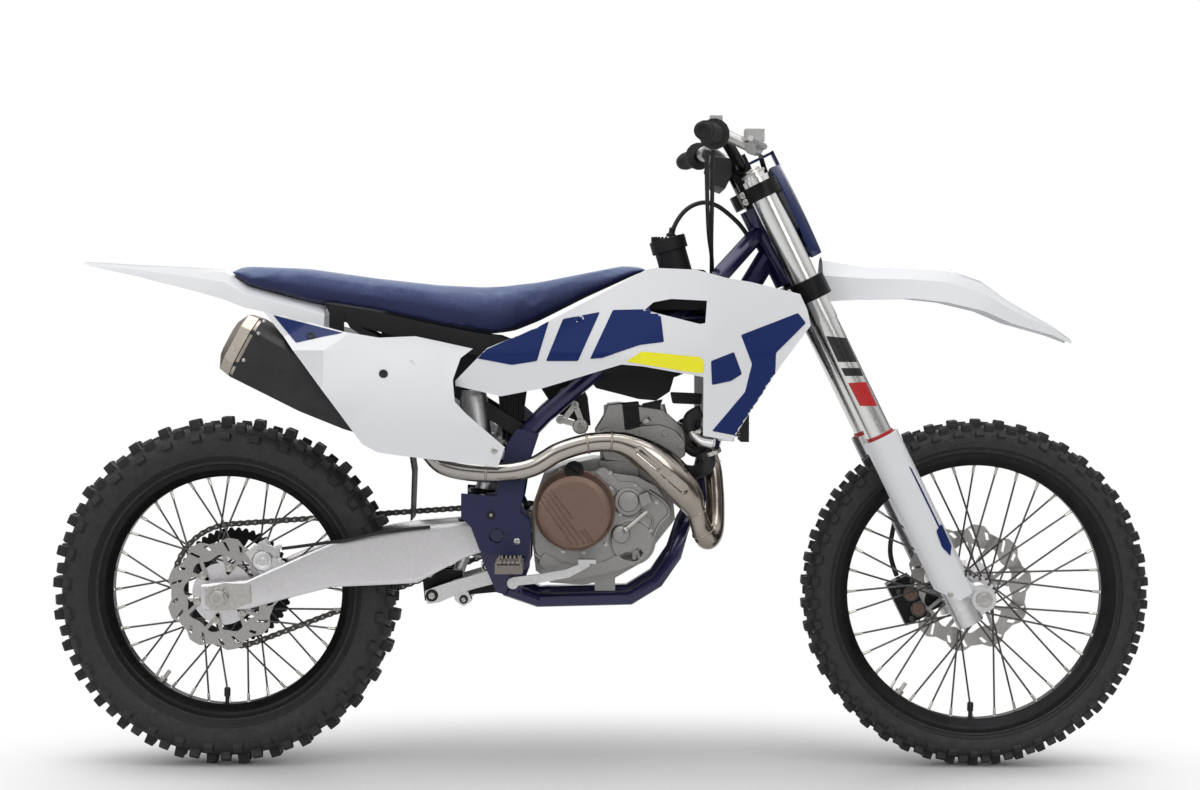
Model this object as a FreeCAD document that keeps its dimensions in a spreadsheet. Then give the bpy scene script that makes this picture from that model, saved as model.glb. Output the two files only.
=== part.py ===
import FreeCAD, Part
import math
import os

import Sketcher
from FreeCAD import Placement, Rotation, Vector

# Motocross bike. X is forward, Y to its left, Z up, and the origin is the low point of the seat.

SIZES = {
    # wheelbase, fork and axles
    "wheelbase": 1485.0,
    "rear_axle_back": 500.0,
    "axle_drop": 601.0,
    "rake_angle": 26.2,
    "leg_trail": 42.0,
    "stem_trail": 62.0,
    "leg_spread": 100.0,
    "overrun": 40.0,
    "seat_gap": 0.3,
    "turn_gap": 0.05,
    # front wheel
    "front_tyre_radius": 332.0,
    "front_tyre_half_width": 40.0,
    "front_lug_height": 14.0,
    "front_rim_inner": 253.0,
    "front_rim_outer": 279.0,
    "front_rim_half_width": 25.0,
    "rim_wall": 4.0,
    "front_hub_radius": 24.0,
    "front_flange_radius": 34.0,
    "front_hub_half_width": 42.0,
    "flange_width": 6.0,
    "front_axle_radius": 10.0,
    "front_disc_radius": 130.0,
    "front_disc_bore": 52.0,
    "front_disc_side": 62.0,
    "disc_thickness": 3.0,
    "spoke_width": 3.6,
    "spoke_gap": 0.5,
    "spoke_count": 36.0,
    "spoke_rim_side": 4.0,
    "spoke_sweep_angle": 52.0,
    "lug_root": 4.0,
    "lug_length": 22.0,
    "disc_seat": 6.0,
    "front_hub_end": 50.0,
    "rear_hub_end": 80.0,
    # rear wheel
    "rear_tyre_radius": 330.0,
    "rear_tyre_half_width": 54.0,
    "rear_lug_height": 16.0,
    "rear_rim_inner": 227.0,
    "rear_rim_outer": 252.0,
    "rear_rim_half_width": 30.0,
    "rear_hub_radius": 34.0,
    "rear_flange_radius": 46.0,
    "rear_hub_half_width": 52.0,
    "rear_axle_radius": 12.5,
    "rear_disc_radius": 111.0,
    "rear_disc_bore": 56.0,
    "rear_disc_side": 68.0,
    "sprocket_radius": 116.9,
    "sprocket_root": 110.0,
    "sprocket_bore": 60.0,
    "sprocket_thickness": 6.0,
    "sprocket_teeth": 48.0,
    "chain_side": 76.0,
    "chain_radius": 124.0,
    "chain_pitch": 15.875,
    "link_height": 12.5,
    "outer_link_width": 14.0,
    "inner_link_width": 9.0,
    "drive_sprocket_radius": 33.0,
    "drive_sprocket_x": 106.0,
    "drive_sprocket_drop": 466.0,
    # fork and clamps, along the fork from the front axle
    "fork_tube_start": 378.0,
    "fork_tube_step": 620.0,
    "fork_tube_end": 929.0,
    "fork_tube_radius": 27.0,
    "fork_sleeve_radius": 25.5,
    "fork_leg_radius": 24.0,
    "fork_leg_end": 500.0,
    "fork_cap_radius": 22.0,
    "fork_cap_height": 10.0,
    "seal_ring_radius": 28.0,
    "seal_ring_height": 8.0,
    "lug_width": 42.0,
    "lug_web_width": 21.0,
    "axle_lug_radius": 24.0,
    "axle_nut_radius": 16.0,
    "front_axle_end": 126.0,
    "lower_clamp_start": 668.0,
    "lower_clamp_end": 710.0,
    "upper_clamp_start": 887.0,
    "upper_clamp_end": 917.0,
    "clamp_leg_radius": 38.0,
    "clamp_stem_radius": 34.0,
    "stem_radius": 14.0,
    "stem_nut_radius": 17.0,
    "stem_nut_height": 14.0,
    "head_tube_start": 716.0,
    "head_tube_end": 880.0,
    "head_tube_radius": 29.0,
    "guard_radius": 36.0,
    "guard_wall": 4.0,
    "guard_start": 22.0,
    "guard_end": 372.0,
    "guard_peg_radius": 8.0,
    "guard_peg_height": 48.0,
    "pinch_depth": 14.0,
    "pinch_width": 30.0,
    "bar_mount_depth": 40.0,
    "bar_mount_width": 24.0,
    "bar_mount_side": 48.0,
    "bar_mount_cap": 20.0,
    "lug_socket_radius": 27.0,
    "lug_socket_start": -34.0,
    "lug_socket_end": 66.0,
    "spacer_radius": 15.0,
    "spacer_gap": 1.0,
    "front_caliper_trail": 122.0,
    "front_caliper_height": 34.0,
    "front_caliper_length": 92.0,
    "front_caliper_depth": 50.0,
    "front_caliper_width": 34.0,
    "caliper_slot": 13.0,
    "caliper_reach": 6.0,
    # handlebar
    "bar_radius": 14.3,
    "grip_bar_radius": 11.1,
    "bar_height": 962.0,
    "bar_trail": 56.0,
    "bar_flat": 90.0,
    "bar_bend_side": 178.0,
    "bar_bend_rise": 62.0,
    "bar_bend_back": 14.0,
    "bar_half_width": 398.0,
    "bar_end_rise": 78.0,
    "bar_end_back": 62.0,
    "grip_radius": 16.5,
    "grip_length": 118.0,
    "grip_flange_radius": 29.0,
    "grip_flange_width": 5.0,
    "grip_end_wall": 3.0,
    "housing_radius": 23.0,
    "housing_width": 34.0,
    "perch_radius": 16.0,
    "perch_width": 26.0,
    "perch_start": 160.0,
    "master_ahead": 66.0,
    "master_drop": 24.0,
    "master_radius": 13.0,
    "master_length": 62.0,
    "reservoir_depth": 36.0,
    "reservoir_width": 44.0,
    "reservoir_height": 22.0,
    "lever_radius": 5.5,
    "lever_ahead": 84.0,
    "plate_strap_width": 24.0,
    "plate_strap_wall": 8.0,
    "pad_height": 60.0,
    "pad_length": 50.0,
    "pad_half_width": 95.0,
    "plate_half_width": 112.0,
    "plate_start": 742.0,
    "plate_end": 934.0,
    "plate_front": 24.0,
    "plate_depth": 20.0,
    "plate_wall": 3.0,
    # front fender
    "fender_wall": 3.5,
    "fender_front_length": 183.0,
    "fender_rear_length": 310.0,
    "fender_half_width": 68.0,
    "fender_height": 648.0,
    "fender_depth": 68.0,
    "tongue_wall": 7.0,
    "tongue_back": 80.0,
    "tongue_front": 36.0,
    # frame
    "spar_radius": 17.0,
    "down_tube_radius": 21.0,
    "cradle_radius": 14.0,
    "cradle_spread": 62.0,
    "pivot_x": 38.0,
    "pivot_drop": 480.0,
    "pivot_bolt_radius": 8.5,
    "pivot_bolt_head": 14.0,
    "pivot_plate_wall": 12.0,
    "pivot_plate_side": 94.0,
    "pivot_tube_radius": 22.0,
    "pivot_tube_inner": 44.0,
    "cross_tube_radius": 13.0,
    "cross_tube_x": 110.0,
    "cross_tube_drop": 264.0,
    "shock_eye_x": 70.0,
    "shock_eye_drop": 232.0,
    "shock_eye_radius": 15.0,
    "shock_eye_half_width": 14.0,
    "shock_bolt_radius": 6.0,
    "shock_foot_x": -45.0,
    "shock_foot_drop": 572.0,
    "clevis_wall": 6.0,
    "radiator_arm_radius": 6.0,
    "subframe_side": 66.0,
    "subframe_wall": 16.0,
    "airbox_half_width": 57.7,
    "hanger_length": 28.0,
    "hanger_back": 290.0,
    "hanger_side": 76.6,
    "hanger_drop": 215.0,
    "hanger_height": 165.0,
    # engine
    "crankcase_half_width": 62.0,
    "right_cover_side": 100.0,
    "engine_lug_length": 40.0,
    "engine_lug_width": 20.0,
    "engine_lug_height": 24.0,
    "engine_lug_drop": 593.2,
    "clutch_x": 189.0,
    "clutch_drop": 430.0,
    "clutch_radius": 80.0,
    "clutch_cover_depth": 34.0,
    "clutch_cover_edge": 8.0,
    "clutch_rib_height": 3.0,
    "clutch_rib_width": 5.0,
    "clutch_rib_pitch": 17.0,
    "clutch_rib_angle": 28.0,
    "ignition_x": 268.0,
    "ignition_drop": 452.0,
    "ignition_radius": 60.0,
    "ignition_depth": 34.0,
    "cylinder_half_width": 56.0,
    "throttle_box_half_width": 40.0,
    "drive_shaft_radius": 25.2,
    "head_half_width": 62.0,
    # exhaust
    "header_radius": 20.0,
    "muffler_length": 300.0,
    "muffler_half_height": 63.0,
    "muffler_half_width": 52.0,
    "muffler_cap_length": 34.0,
    "muffler_angle": 28.4,
    "cone_length": 42.0,
    "header_side": 134.0,
    "muffler_back": 443.0,
    "muffler_drop": 115.0,
    "muffler_side": 130.0,
    # bodywork
    "panel_wall": 3.0,
    "shroud_length": 679.0,
    "shroud_height": 330.0,
    "shroud_back": 41.0,
    "shroud_low": 291.0,
    "side_panel_length": 459.0,
    "side_panel_height": 298.0,
    "side_panel_back": 403.0,
    "side_panel_low": 344.0,
    "tank_half_width": 104.0,
    "tank_gap": 2.0,
    "tank_lobe_inner": 30.0,
    "shroud_spread": 190.0,
    "side_panel_spread": 176.0,
    "panel_boss_radius": 8.0,
    "guard_plate_wall": 3.5,
    "guard_plate_side": 109.5,
    "guard_length": 150.0,
    "guard_height": 247.0,
    "guard_back": 31.0,
    "guard_low": 519.0,
    "seat_half_width": 74.0,
    "seat_length": 822.0,
    "seat_back": 491.0,
    "tail_length": 477.0,
    "tail_back": 776.0,
    "tail_half_width": 86.0,
    "tail_wall": 3.5,
    "tail_height": 50.0,
    "radiator_thickness": 30.0,
    "radiator_inner": 56.0,
    "radiator_outer": 150.0,
    "radiator_low": 292.0,
    "radiator_height": 250.0,
    "radiator_lean_angle": 3.0,
    "tank_cap_radius": 36.0,
    "tank_neck_radius": 31.0,
    "tank_neck_height": 60.0,
    "tank_shoulder": 33.0,
    "cable_channel_width": 32.0,
    "tank_cap_height": 26.0,
    # swingarm
    "arm_wall": 26.0,
    "arm_front_side": 64.0,
    "arm_rear_side": 105.0,
    "rear_axle_end": 134.0,
    "rear_nut_radius": 20.0,
    "rear_spacer_radius": 18.0,
    "rear_caliper_depth": 46.0,
    "rear_caliper_length": 84.0,
    "rear_caliper_width": 30.0,
    "rear_caliper_reach": 108.0,
    "rear_bracket_side": 83.5,
    "rear_caliper_turn_angle": 35.0,
    "flap_half_width": 52.0,
    # footpegs and controls
    "peg_side": 128.0,
    "peg_inner": 20.0,
    "peg_length": 90.0,
    "peg_width": 52.0,
    "peg_height": 16.0,
    "peg_rail": 5.0,
    "peg_tooth": 5.0,
    "peg_hub_radius": 9.5,
    "peg_hub_width": 24.0,
    "peg_ear_radius": 10.0,
    "peg_ear_wall": 6.0,
    "peg_gap": 0.5,
    "peg_pin_radius": 5.0,
    "peg_x": 66.0,
    "peg_drop": 532.0,
    "pedal_wall": 8.0,
    "pedal_side": 146.0,
    "pedal_hub_radius": 11.0,
    "toe_length": 34.0,
    "toe_width": 40.0,
    "shift_side": 112.0,
    "shift_hub_radius": 8.0,
    "hose_radius": 5.0,
    "vent_hose_radius": 4.5,
    "cable_radius": 4.0,
    "spring_radius": 36.0,
    "spring_wire": 5.5,
    "shock_radius": 23.0,
    "spring_turns": 7.0,
}

document = FreeCAD.newDocument("Motocross")
sheet = document.addObject("Spreadsheet::Sheet", "Sizes")
for row, (name, value) in enumerate(SIZES.items(), start=1):
    sheet.set(f"A{row}", str(value))
    sheet.setAlias(f"A{row}", name)
document.recompute()


class Sizes:
    """The numbers of the sheet, read by name."""

    def __getattr__(self, name):
        return float(sheet.get(name))


S = Sizes()
NODES = []

RAKE = math.radians(S.rake_angle)
FRONT_X = S.wheelbase - S.rear_axle_back
UP_FORK = Vector(-math.sin(RAKE), 0, math.cos(RAKE))
AHEAD_OF_FORK = Vector(math.cos(RAKE), 0, math.sin(RAKE))
FRONT_AXLE = Vector(FRONT_X, 0, -S.axle_drop)
REAR_AXLE = Vector(-S.rear_axle_back, 0, -S.axle_drop)
CROSSWISE = Rotation(Vector(1, 0, 0), -90)
ORIGIN = Vector(0, 0, 0)
X_AXIS = Vector(1, 0, 0)
Y_AXIS = Vector(0, 1, 0)
Z_AXIS = Vector(0, 0, 1)
# where the steering axis passes the height of the seat's low point
REACH = FRONT_X - S.axle_drop * math.tan(RAKE) - S.stem_trail / math.cos(RAKE)
REACH_TEXT = ("(Sizes.wheelbase - Sizes.rear_axle_back - Sizes.axle_drop * tan(Sizes.rake_angle)"
              " - Sizes.stem_trail / cos(Sizes.rake_angle))")


def on_fork(ahead, side, along):
    """A place on the fork, from the front axle: ahead of it, to the left, and up along the legs."""
    return FRONT_AXLE + AHEAD_OF_FORK * ahead + Y_AXIS * side + UP_FORK * along


def spot(x_share, side, z_share):
    """A place on the chassis: a share of the reach ahead, or of the rear centre behind, and of the drop."""
    span = REACH if x_share > 0 else S.rear_axle_back
    return Vector(x_share * span, side, z_share * S.axle_drop)


# Helpers for sketched bodies


def sketch_on(body, role, name):
    """A sketch on one of the origin planes of its own body."""
    sketch = body.newObject("Sketcher::SketchObject", name)
    plane = next(item for item in body.Origin.OriginFeatures if item.Role == role)
    sketch.AttachmentSupport = (plane, [""])
    sketch.MapMode = "FlatFace"
    return sketch


def bound_outline(sketch, corners):
    """A closed outline whose corners are bound to the sheet, each given by two expressions."""
    points = [Vector(sketch.evalExpression(x), sketch.evalExpression(y), 0) for x, y in corners]
    first = sketch.GeometryCount
    count = len(points)
    for index in range(count):
        sketch.addGeometry(Part.LineSegment(points[index], points[(index + 1) % count]))
    for index in range(count):
        ends = (first + index, 2, first + (index + 1) % count, 1)
        sketch.addConstraint(Sketcher.Constraint("Coincident", *ends))
    for index, (x, y) in enumerate(corners):
        for kind, text, value in (("DistanceX", x, points[index].x), ("DistanceY", y, points[index].y)):
            place = sketch.addConstraint(Sketcher.Constraint(kind, first + index, 1, value))
            sketch.setExpression(f"Constraints[{place}]", text)


def spot_text(x_share, z_share):
    """The expressions of a chassis place, as spot() works it out."""
    span = REACH_TEXT if x_share > 0 else "Sizes.rear_axle_back"
    return f"{x_share} * {span}", f"{z_share} * Sizes.axle_drop"


def side_body(name, shares, start, end):
    """A body padded outward between two side distances on the right, its outline in shares of the chassis."""
    body = document.addObject("PartDesign::Body", name)
    sketch = sketch_on(body, "XZ_Plane", name + "_outline")
    bound_outline(sketch, [spot_text(x_share, z_share) for x_share, z_share in shares])
    pad = body.newObject("PartDesign::Pad", name + "_pad")
    pad.Profile = sketch
    pad.setExpression("Length", f"({end}) - ({start})")
    body.setExpression("Placement.Base.y", f"-({start})")
    return body


def flats(name, radius, height, rotation=Rotation(), sides=16, **base):
    """A round bar drawn with flats, bound to the sheet."""
    made = primitive("Part::Prism", name, rotation, Circumradius=radius, Height=height, **base)
    made.Polygon = sides
    return made


def primitive(kind, name, rotation=Rotation(), **expressions):
    """A Part primitive whose sizes and place are bound to the sheet; x, y and z stand for its base."""
    made = document.addObject(kind, name)
    made.Placement = Placement(ORIGIN, rotation)
    for key, text in expressions.items():
        target = "Placement.Base." + key if key in ("x", "y", "z") else key
        made.setExpression(target, text)
    return made


def joined(name, pieces):
    made = document.addObject("Part::MultiFuse", name)
    made.Shapes = pieces
    return made


def pierced(name, base, tool):
    made = document.addObject("Part::Cut", name)
    made.Base = base
    made.Tool = tool
    return made


def reflected(name, source):
    """The same piece on the other side of the bike."""
    made = document.addObject("Part::Mirroring", name)
    made.Source = source
    made.Normal = Y_AXIS
    return made


def paired(name, source):
    """A piece and its copy on the other side."""
    return grouped(name, [source, reflected(name + "_mirrored", source)])


def grouped(name, pieces):
    made = document.addObject("Part::Compound", name)
    made.Links = pieces
    return made


def node(made, label):
    """Marks an object as a sub-part of the bike under its own label."""
    made.Label = label
    NODES.append(made)
    return made


def shaped(label, shape, placement=None):
    """A sub-part whose shape is worked out here from the sheet."""
    made = document.addObject("Part::Feature", label)
    made.Shape = shape
    if placement is not None:
        made.Placement = placement
    return node(made, label)


def stand_at_front_axle(made, leaning=False):
    if leaning:
        made.Placement = Placement(ORIGIN, Rotation(-Y_AXIS, S.rake_angle))
        made.setExpression("Placement.Rotation.Angle", "Sizes.rake_angle")
    made.setExpression("Placement.Base.x", "Sizes.wheelbase - Sizes.rear_axle_back")
    made.setExpression("Placement.Base.z", "-Sizes.axle_drop")
    return made


def stand_at_rear_axle(made):
    made.setExpression("Placement.Base.x", "-Sizes.rear_axle_back")
    made.setExpression("Placement.Base.z", "-Sizes.axle_drop")
    return made


FORK_PLACE = Placement(FRONT_AXLE, Rotation(Y_AXIS, -S.rake_angle))

# Helpers for shapes worked out from points


def face_of(points):
    return Part.Face(Part.makePolygon(list(points) + [points[0]]))


def side_plate(points, start, end):
    """A plate with a side-view outline, from one side distance to another."""
    flat = [Vector(point.x, start, point.z) for point in points]
    return face_of(flat).extrude(Y_AXIS * (end - start))


def mirrored(shape):
    return shape.mirror(ORIGIN, Y_AXIS)


def both_sides(shape):
    return Part.makeCompound([shape, mirrored(shape)])


ROUND_SIDES = 16
FINE_SIDES = 28
HOSE_SIDES = 8


def bar(radius, length, base=ORIGIN, direction=Z_AXIS, sides=ROUND_SIDES):
    """A round bar drawn with flats, its corners on the radius."""
    turn = 360.0 / sides
    points = [Rotation(Z_AXIS, turn * index).multVec(X_AXIS) * radius for index in range(sides)]
    made = face_of(points).extrude(Z_AXIS * length)
    made.Placement = Placement(base, Rotation(Z_AXIS, direction))
    return made


def bore(radius, length, base=ORIGIN, direction=Z_AXIS, sides=ROUND_SIDES):
    """The same bar as a tool for a hole, its flats on the radius."""
    return bar(radius / math.cos(math.pi / sides), length, base, direction, sides)


def rod(start, end, radius, sides=ROUND_SIDES):
    return bar(radius, (end - start).Length, start, end - start, sides)


def bent_wire(points, bend_share=0.45):
    """Straight runs joined by tangent arcs, each as large as its two runs allow."""
    edges = []
    last = points[0]
    for before, corner, after in zip(points, points[1:], points[2:]):
        into = (corner - before).normalize()
        out = (after - corner).normalize()
        turn = into.getAngle(out)
        cut = bend_share * min((corner - before).Length, (after - corner).Length)
        start = corner - into * cut
        end = corner + out * cut
        radius = cut / math.tan(turn / 2)
        inward = (out - into).normalize()
        middle = corner + inward * (radius / math.cos(turn / 2) - radius)
        if (start - last).Length > S.turn_gap:
            edges.append(Part.LineSegment(last, start).toShape())
        edges.append(Part.Arc(start, middle, end).toShape())
        last = end
    edges.append(Part.LineSegment(last, points[-1]).toShape())
    return Part.Wire(edges)


def tube(points, radius, sides=HOSE_SIDES, bend_share=0.45):
    """A tube drawn with flats along a bent wire."""
    path = bent_wire(points, bend_share)
    first = path.OrderedEdges[0]
    direction = first.tangentAt(first.FirstParameter)
    turn = Rotation(Z_AXIS, direction)
    corners = []
    for index in range(sides):
        corner = Rotation(Z_AXIS, 360.0 * index / sides).multVec(X_AXIS) * radius
        corners.append(points[0] + turn.multVec(corner))
    section = Part.makePolygon(corners + [corners[0]])
    made = path.makePipeShell([section], True, False)
    area = sides / 2 * radius * radius * math.sin(2 * math.pi / sides)
    expected = area * path.Length
    if abs(made.Volume - expected) > expected * VOLUME_SLACK_SHARE:
        raise ValueError("a tube's volume differs from its section times its length")
    return made


VOLUME_SLACK_SHARE = 0.02


def ring_section(centre, half_y, half_z, corner_share=0.3):
    """An eight-cornered section across the bike."""
    cut_y = half_y * corner_share
    cut_z = half_z * corner_share
    corners = [
        (half_y, half_z - cut_z), (half_y - cut_y, half_z), (cut_y - half_y, half_z),
        (-half_y, half_z - cut_z), (-half_y, cut_z - half_z), (cut_y - half_y, -half_z),
        (half_y - cut_y, -half_z), (half_y, cut_z - half_z),
    ]
    return [centre + Vector(0, y, z) for y, z in corners]


def skin(sections):
    """A closed solid of flat facets through sections with equal numbers of corners."""
    faces = [face_of(sections[0]), face_of(sections[-1])]
    for lower, upper in zip(sections, sections[1:]):
        for index in range(len(lower)):
            following = (index + 1) % len(lower)
            faces.append(face_of([lower[index], lower[following], upper[following]]))
            faces.append(face_of([lower[index], upper[following], upper[index]]))
    shell = Part.Shell(faces)
    made = Part.Solid(shell)
    if made.Volume < 0:
        made.reverse()
    return made.removeSplitter()


def fused(shapes):
    return shapes[0].fuse(shapes[1:]).removeSplitter()

# Wheels, each about its own axle

WHEEL_FACETS = 52
HUB_FACETS = 20
SHOULDER_TILT = 45.0
DISC_WAVES = 10
SPROCKET_WINDOWS = 6


def wheel_point(radius, side, turn):
    angle = math.radians(turn)
    return Vector(radius * math.sin(angle), side, radius * math.cos(angle))


def facet_ring(profile, facets):
    """A closed ring of flat facets from corners of radius and side; radii are those of the flats."""
    pitch = 360.0 / facets
    grow = 1 / math.cos(math.radians(pitch / 2))
    faces = []
    for index in range(facets):
        turns = (index * pitch, (index + 1) * pitch)
        for (radius, side), (next_radius, next_side) in zip(profile, profile[1:] + profile[:1]):
            faces.append(face_of([
                wheel_point(radius * grow, side, turns[0]), wheel_point(next_radius * grow, next_side,
                                                                        turns[0]),
                wheel_point(next_radius * grow, next_side, turns[1]),
                wheel_point(radius * grow, side, turns[1]),
            ]))
    ring = Part.Solid(Part.Shell(faces))
    if ring.Volume < 0:
        ring.reverse()
    return ring


def turned(corners):
    """A solid turned about the Y axis from corners of radius and side."""
    return face_of([Vector(radius, side, 0) for radius, side in corners]).revolve(ORIGIN, Y_AXIS, 360)


def lugs(radius, side, tilt, width, depth, height, first):
    """Square rubber lugs on every second facet of the tread."""
    block = Part.makeBox(depth, width, height + S.lug_root)
    block.translate(Vector(-depth / 2, -width / 2, -S.lug_root))
    block.rotate(ORIGIN, X_AXIS, -tilt)
    block.translate(Vector(0, side, radius))
    made = []
    for index in range(first, WHEEL_FACETS, 2):
        placed = block.copy()
        placed.rotate(ORIGIN, Y_AXIS, 360.0 * (index + 1 / 2) / WHEEL_FACETS)
        made.append(placed)
    return made


def tyre(radius, half_width, rim_radius, rim_half_width, lug_height):
    """A knobbly tyre: straight sidewalls, sloped shoulders and a flat crown under its lugs."""
    crown = half_width / 2
    shoulder = radius - (half_width - crown)
    seat = rim_radius + S.seat_gap
    right = [(seat, -rim_half_width), (shoulder, -half_width), (radius, -crown)]
    left = [(radius, crown), (shoulder, half_width), (seat, rim_half_width)]
    carcass = facet_ring(right + left, WHEEL_FACETS)
    middle_radius = (radius + shoulder) / 2
    middle_side = (half_width + crown) / 2
    blocks = lugs(radius, 0, 0, crown * CROWN_LUG_SHARE, S.lug_length, lug_height, 0)
    for side, tilt in ((middle_side, SHOULDER_TILT), (-middle_side, -SHOULDER_TILT)):
        width = crown * SHOULDER_LUG_SHARE
        blocks += lugs(middle_radius, side, tilt, width, S.lug_length, lug_height, 1)
    return carcass.fuse(blocks)


CROWN_LUG_SHARE = 1.6
SHOULDER_LUG_SHARE = 0.8
RIM_WELL_SHARE = 0.45
RIM_BEAD_SHARE = 0.94
HUB_CORE_SHARE = 0.72


def rim(inner, outer, half_width):
    """An alloy rim: a band under the tyre and a narrower well that the spokes pull on."""
    bead = outer - S.rim_wall * 2
    well = half_width * RIM_WELL_SHARE
    lip = half_width * RIM_BEAD_SHARE
    profile = [(outer, -half_width), (outer, half_width), (bead, lip), (inner, well), (inner, -well),
               (bead, -lip)]
    return facet_ring(profile[::-1], WHEEL_FACETS)


def spokes(flange_radius, flange_side, rim_radius, rim_side):
    """Laced spokes: each flange carries half of them, leading and trailing in turn."""
    made = []
    per_flange = int(S.spoke_count) // 2
    pitch = 360.0 / per_flange
    thick = S.spoke_width
    for flange, start_turn in ((1, 0.0), (-1, pitch / 2)):
        for index in range(per_flange):
            lean = 1 if index % 2 else -1
            hub_turn = start_turn + index * pitch
            start = wheel_point(flange_radius, flange * flange_side + lean * thick, hub_turn)
            end = wheel_point(rim_radius, flange * rim_side, hub_turn + lean * S.spoke_sweep_angle)
            bar = Part.makeBox(thick, thick, (end - start).Length)
            bar.translate(Vector(-thick / 2, -thick / 2, 0))
            bar.Placement = Placement(start, Rotation(Z_AXIS, end - start)).multiply(bar.Placement)
            made.append(bar)
    return made


def stepped_ring(bore, steps):
    """A turned piece with one bore, from steps of radius and the side distance where each ends."""
    profile = [(bore, steps[0][1])]
    for (radius, end), (_, start) in zip(steps[1:], steps):
        profile += [(radius, start), (radius, end)]
    profile.append((bore, steps[-1][1]))
    return facet_ring(profile[::-1], HUB_FACETS)


def flat_ring(outline, holes, thickness, side):
    """A flat plate across the axle, with a middle plane at one side distance."""
    start = side - thickness / 2
    plates = [face_of([wheel_point(radius, start, turn) for radius,
                       turn in loop]) for loop in [outline] + holes]
    plate = plates[0].cut(plates[1:])
    return plate.extrude(Y_AXIS * thickness)


def regular_loop(radius, count):
    return [(radius, 360.0 * index / count) for index in range(count)]


def brake_disc(radius, bore, side):
    """A wave disc: a wavy rim and a ring of slanted slots."""
    pitch = 360.0 / DISC_WAVES
    wave = []
    holes = [regular_loop(bore, HUB_FACETS)]
    for index in range(DISC_WAVES):
        start = index * pitch
        for turn_share, radius_share in WAVE_SHARES:
            wave.append((radius * radius_share, start + pitch * turn_share))
        holes.append([(radius * radius_share, start + pitch * turn_share) for turn_share,
                      radius_share in SLOT_SHARES])
    return flat_ring(wave, holes, S.disc_thickness, side)


WAVE_SHARES = [(0.0, 1.0), (0.3, 0.99), (0.5, 0.95), (0.7, 0.99)]
SLOT_SHARES = [(0.1, 0.66), (0.28, 0.66), (0.5, 0.87), (0.32, 0.87)]
WINDOW_SHARES = [(0.2, 0.66), (0.8, 0.66), (0.72, 0.88), (0.28, 0.88)]
TOOTH_SHARES = [(0.0, 0.0), (0.36, 1.0), (0.64, 1.0)]


def driven_sprocket():
    """The rear sprocket: pointed teeth, and windows between its arms."""
    count = int(S.sprocket_teeth)
    pitch = 360.0 / count
    depth = S.sprocket_radius - S.sprocket_root
    teeth = []
    for index in range(count):
        for turn_share, height_share in TOOTH_SHARES:
            teeth.append((S.sprocket_root + depth * height_share, pitch * (index + turn_share)))
    holes = [regular_loop(S.sprocket_bore, HUB_FACETS)]
    wide = 360.0 / SPROCKET_WINDOWS
    for index in range(SPROCKET_WINDOWS):
        holes.append([(S.sprocket_root * radius_share, wide * (index + turn_share))
                      for turn_share, radius_share in WINDOW_SHARES])
    return flat_ring(teeth, holes, S.sprocket_thickness, S.chain_side)


def front_wheel():
    place = Placement(FRONT_AXLE, Rotation())
    shaped("front_tyre", tyre(S.front_tyre_radius, S.front_tyre_half_width, S.front_rim_outer,
                              S.front_rim_half_width, S.front_lug_height), place)
    shaped("front_rim", rim(S.front_rim_inner, S.front_rim_outer, S.front_rim_half_width), place)
    face = S.front_disc_side - S.disc_thickness / 2
    half = S.front_hub_half_width
    core = S.front_hub_radius * HUB_CORE_SHARE
    barrel = stepped_ring(S.front_axle_radius + S.turn_gap, [
        (core, -S.front_hub_end), (core, -half), (S.front_flange_radius, S.flange_width - half),
        (S.front_hub_radius, half - S.flange_width), (S.front_flange_radius, half),
        (S.front_disc_bore + S.disc_seat, face), (core, S.front_disc_side),
    ])
    laced = spokes(S.front_flange_radius + S.spoke_gap, S.front_hub_half_width - S.flange_width / 2,
                   S.front_rim_inner - S.spoke_gap, S.spoke_rim_side)
    shaped("front_hub", Part.makeCompound([barrel] + laced), place)
    shaped("front_disc", brake_disc(S.front_disc_radius, S.front_disc_bore, S.front_disc_side), place)


def rear_wheel():
    place = Placement(REAR_AXLE, Rotation())
    shaped("rear_tyre", tyre(S.rear_tyre_radius, S.rear_tyre_half_width, S.rear_rim_outer,
                             S.rear_rim_half_width, S.rear_lug_height), place)
    shaped("rear_rim", rim(S.rear_rim_inner, S.rear_rim_outer, S.rear_rim_half_width), place)
    disc_face = S.rear_disc_side - S.disc_thickness / 2
    sprocket_face = S.chain_side - S.sprocket_thickness / 2
    half = S.rear_hub_half_width
    core = S.rear_hub_radius * HUB_CORE_SHARE
    barrel = stepped_ring(S.rear_axle_radius + S.turn_gap, [
        (core, -S.rear_disc_side), (core, -disc_face), (S.rear_disc_bore + S.disc_seat,
                                                        S.flange_width - disc_face),
        (core, -half), (S.rear_flange_radius, S.flange_width - half),
        (S.rear_hub_radius, half - S.flange_width), (S.rear_flange_radius, half),
        (S.sprocket_bore + S.disc_seat, sprocket_face), (core, S.rear_hub_end),
    ])
    laced = spokes(S.rear_flange_radius + S.spoke_gap, S.rear_hub_half_width - S.flange_width / 2,
                   S.rear_rim_inner - S.spoke_gap, S.spoke_rim_side)
    shaped("rear_hub", Part.makeCompound([barrel] + laced), place)
    shaped("rear_disc", brake_disc(S.rear_disc_radius, S.rear_disc_bore, -S.rear_disc_side), place)
    shaped("rear_sprocket", driven_sprocket(), place)


front_wheel()
rear_wheel()

# Steering: clamps, fork, handlebar, plate and front fender, all on the fork's own axes


def leg_pair(pieces):
    """Both legs' copies of pieces made about the right leg's side."""
    return Part.makeCompound(pieces + [mirrored(piece) for piece in pieces])


def on_leg(along):
    return Vector(-S.leg_trail, -S.leg_spread, along)


def steering(label, shape):
    return shaped(label, shape, FORK_PLACE)


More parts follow.
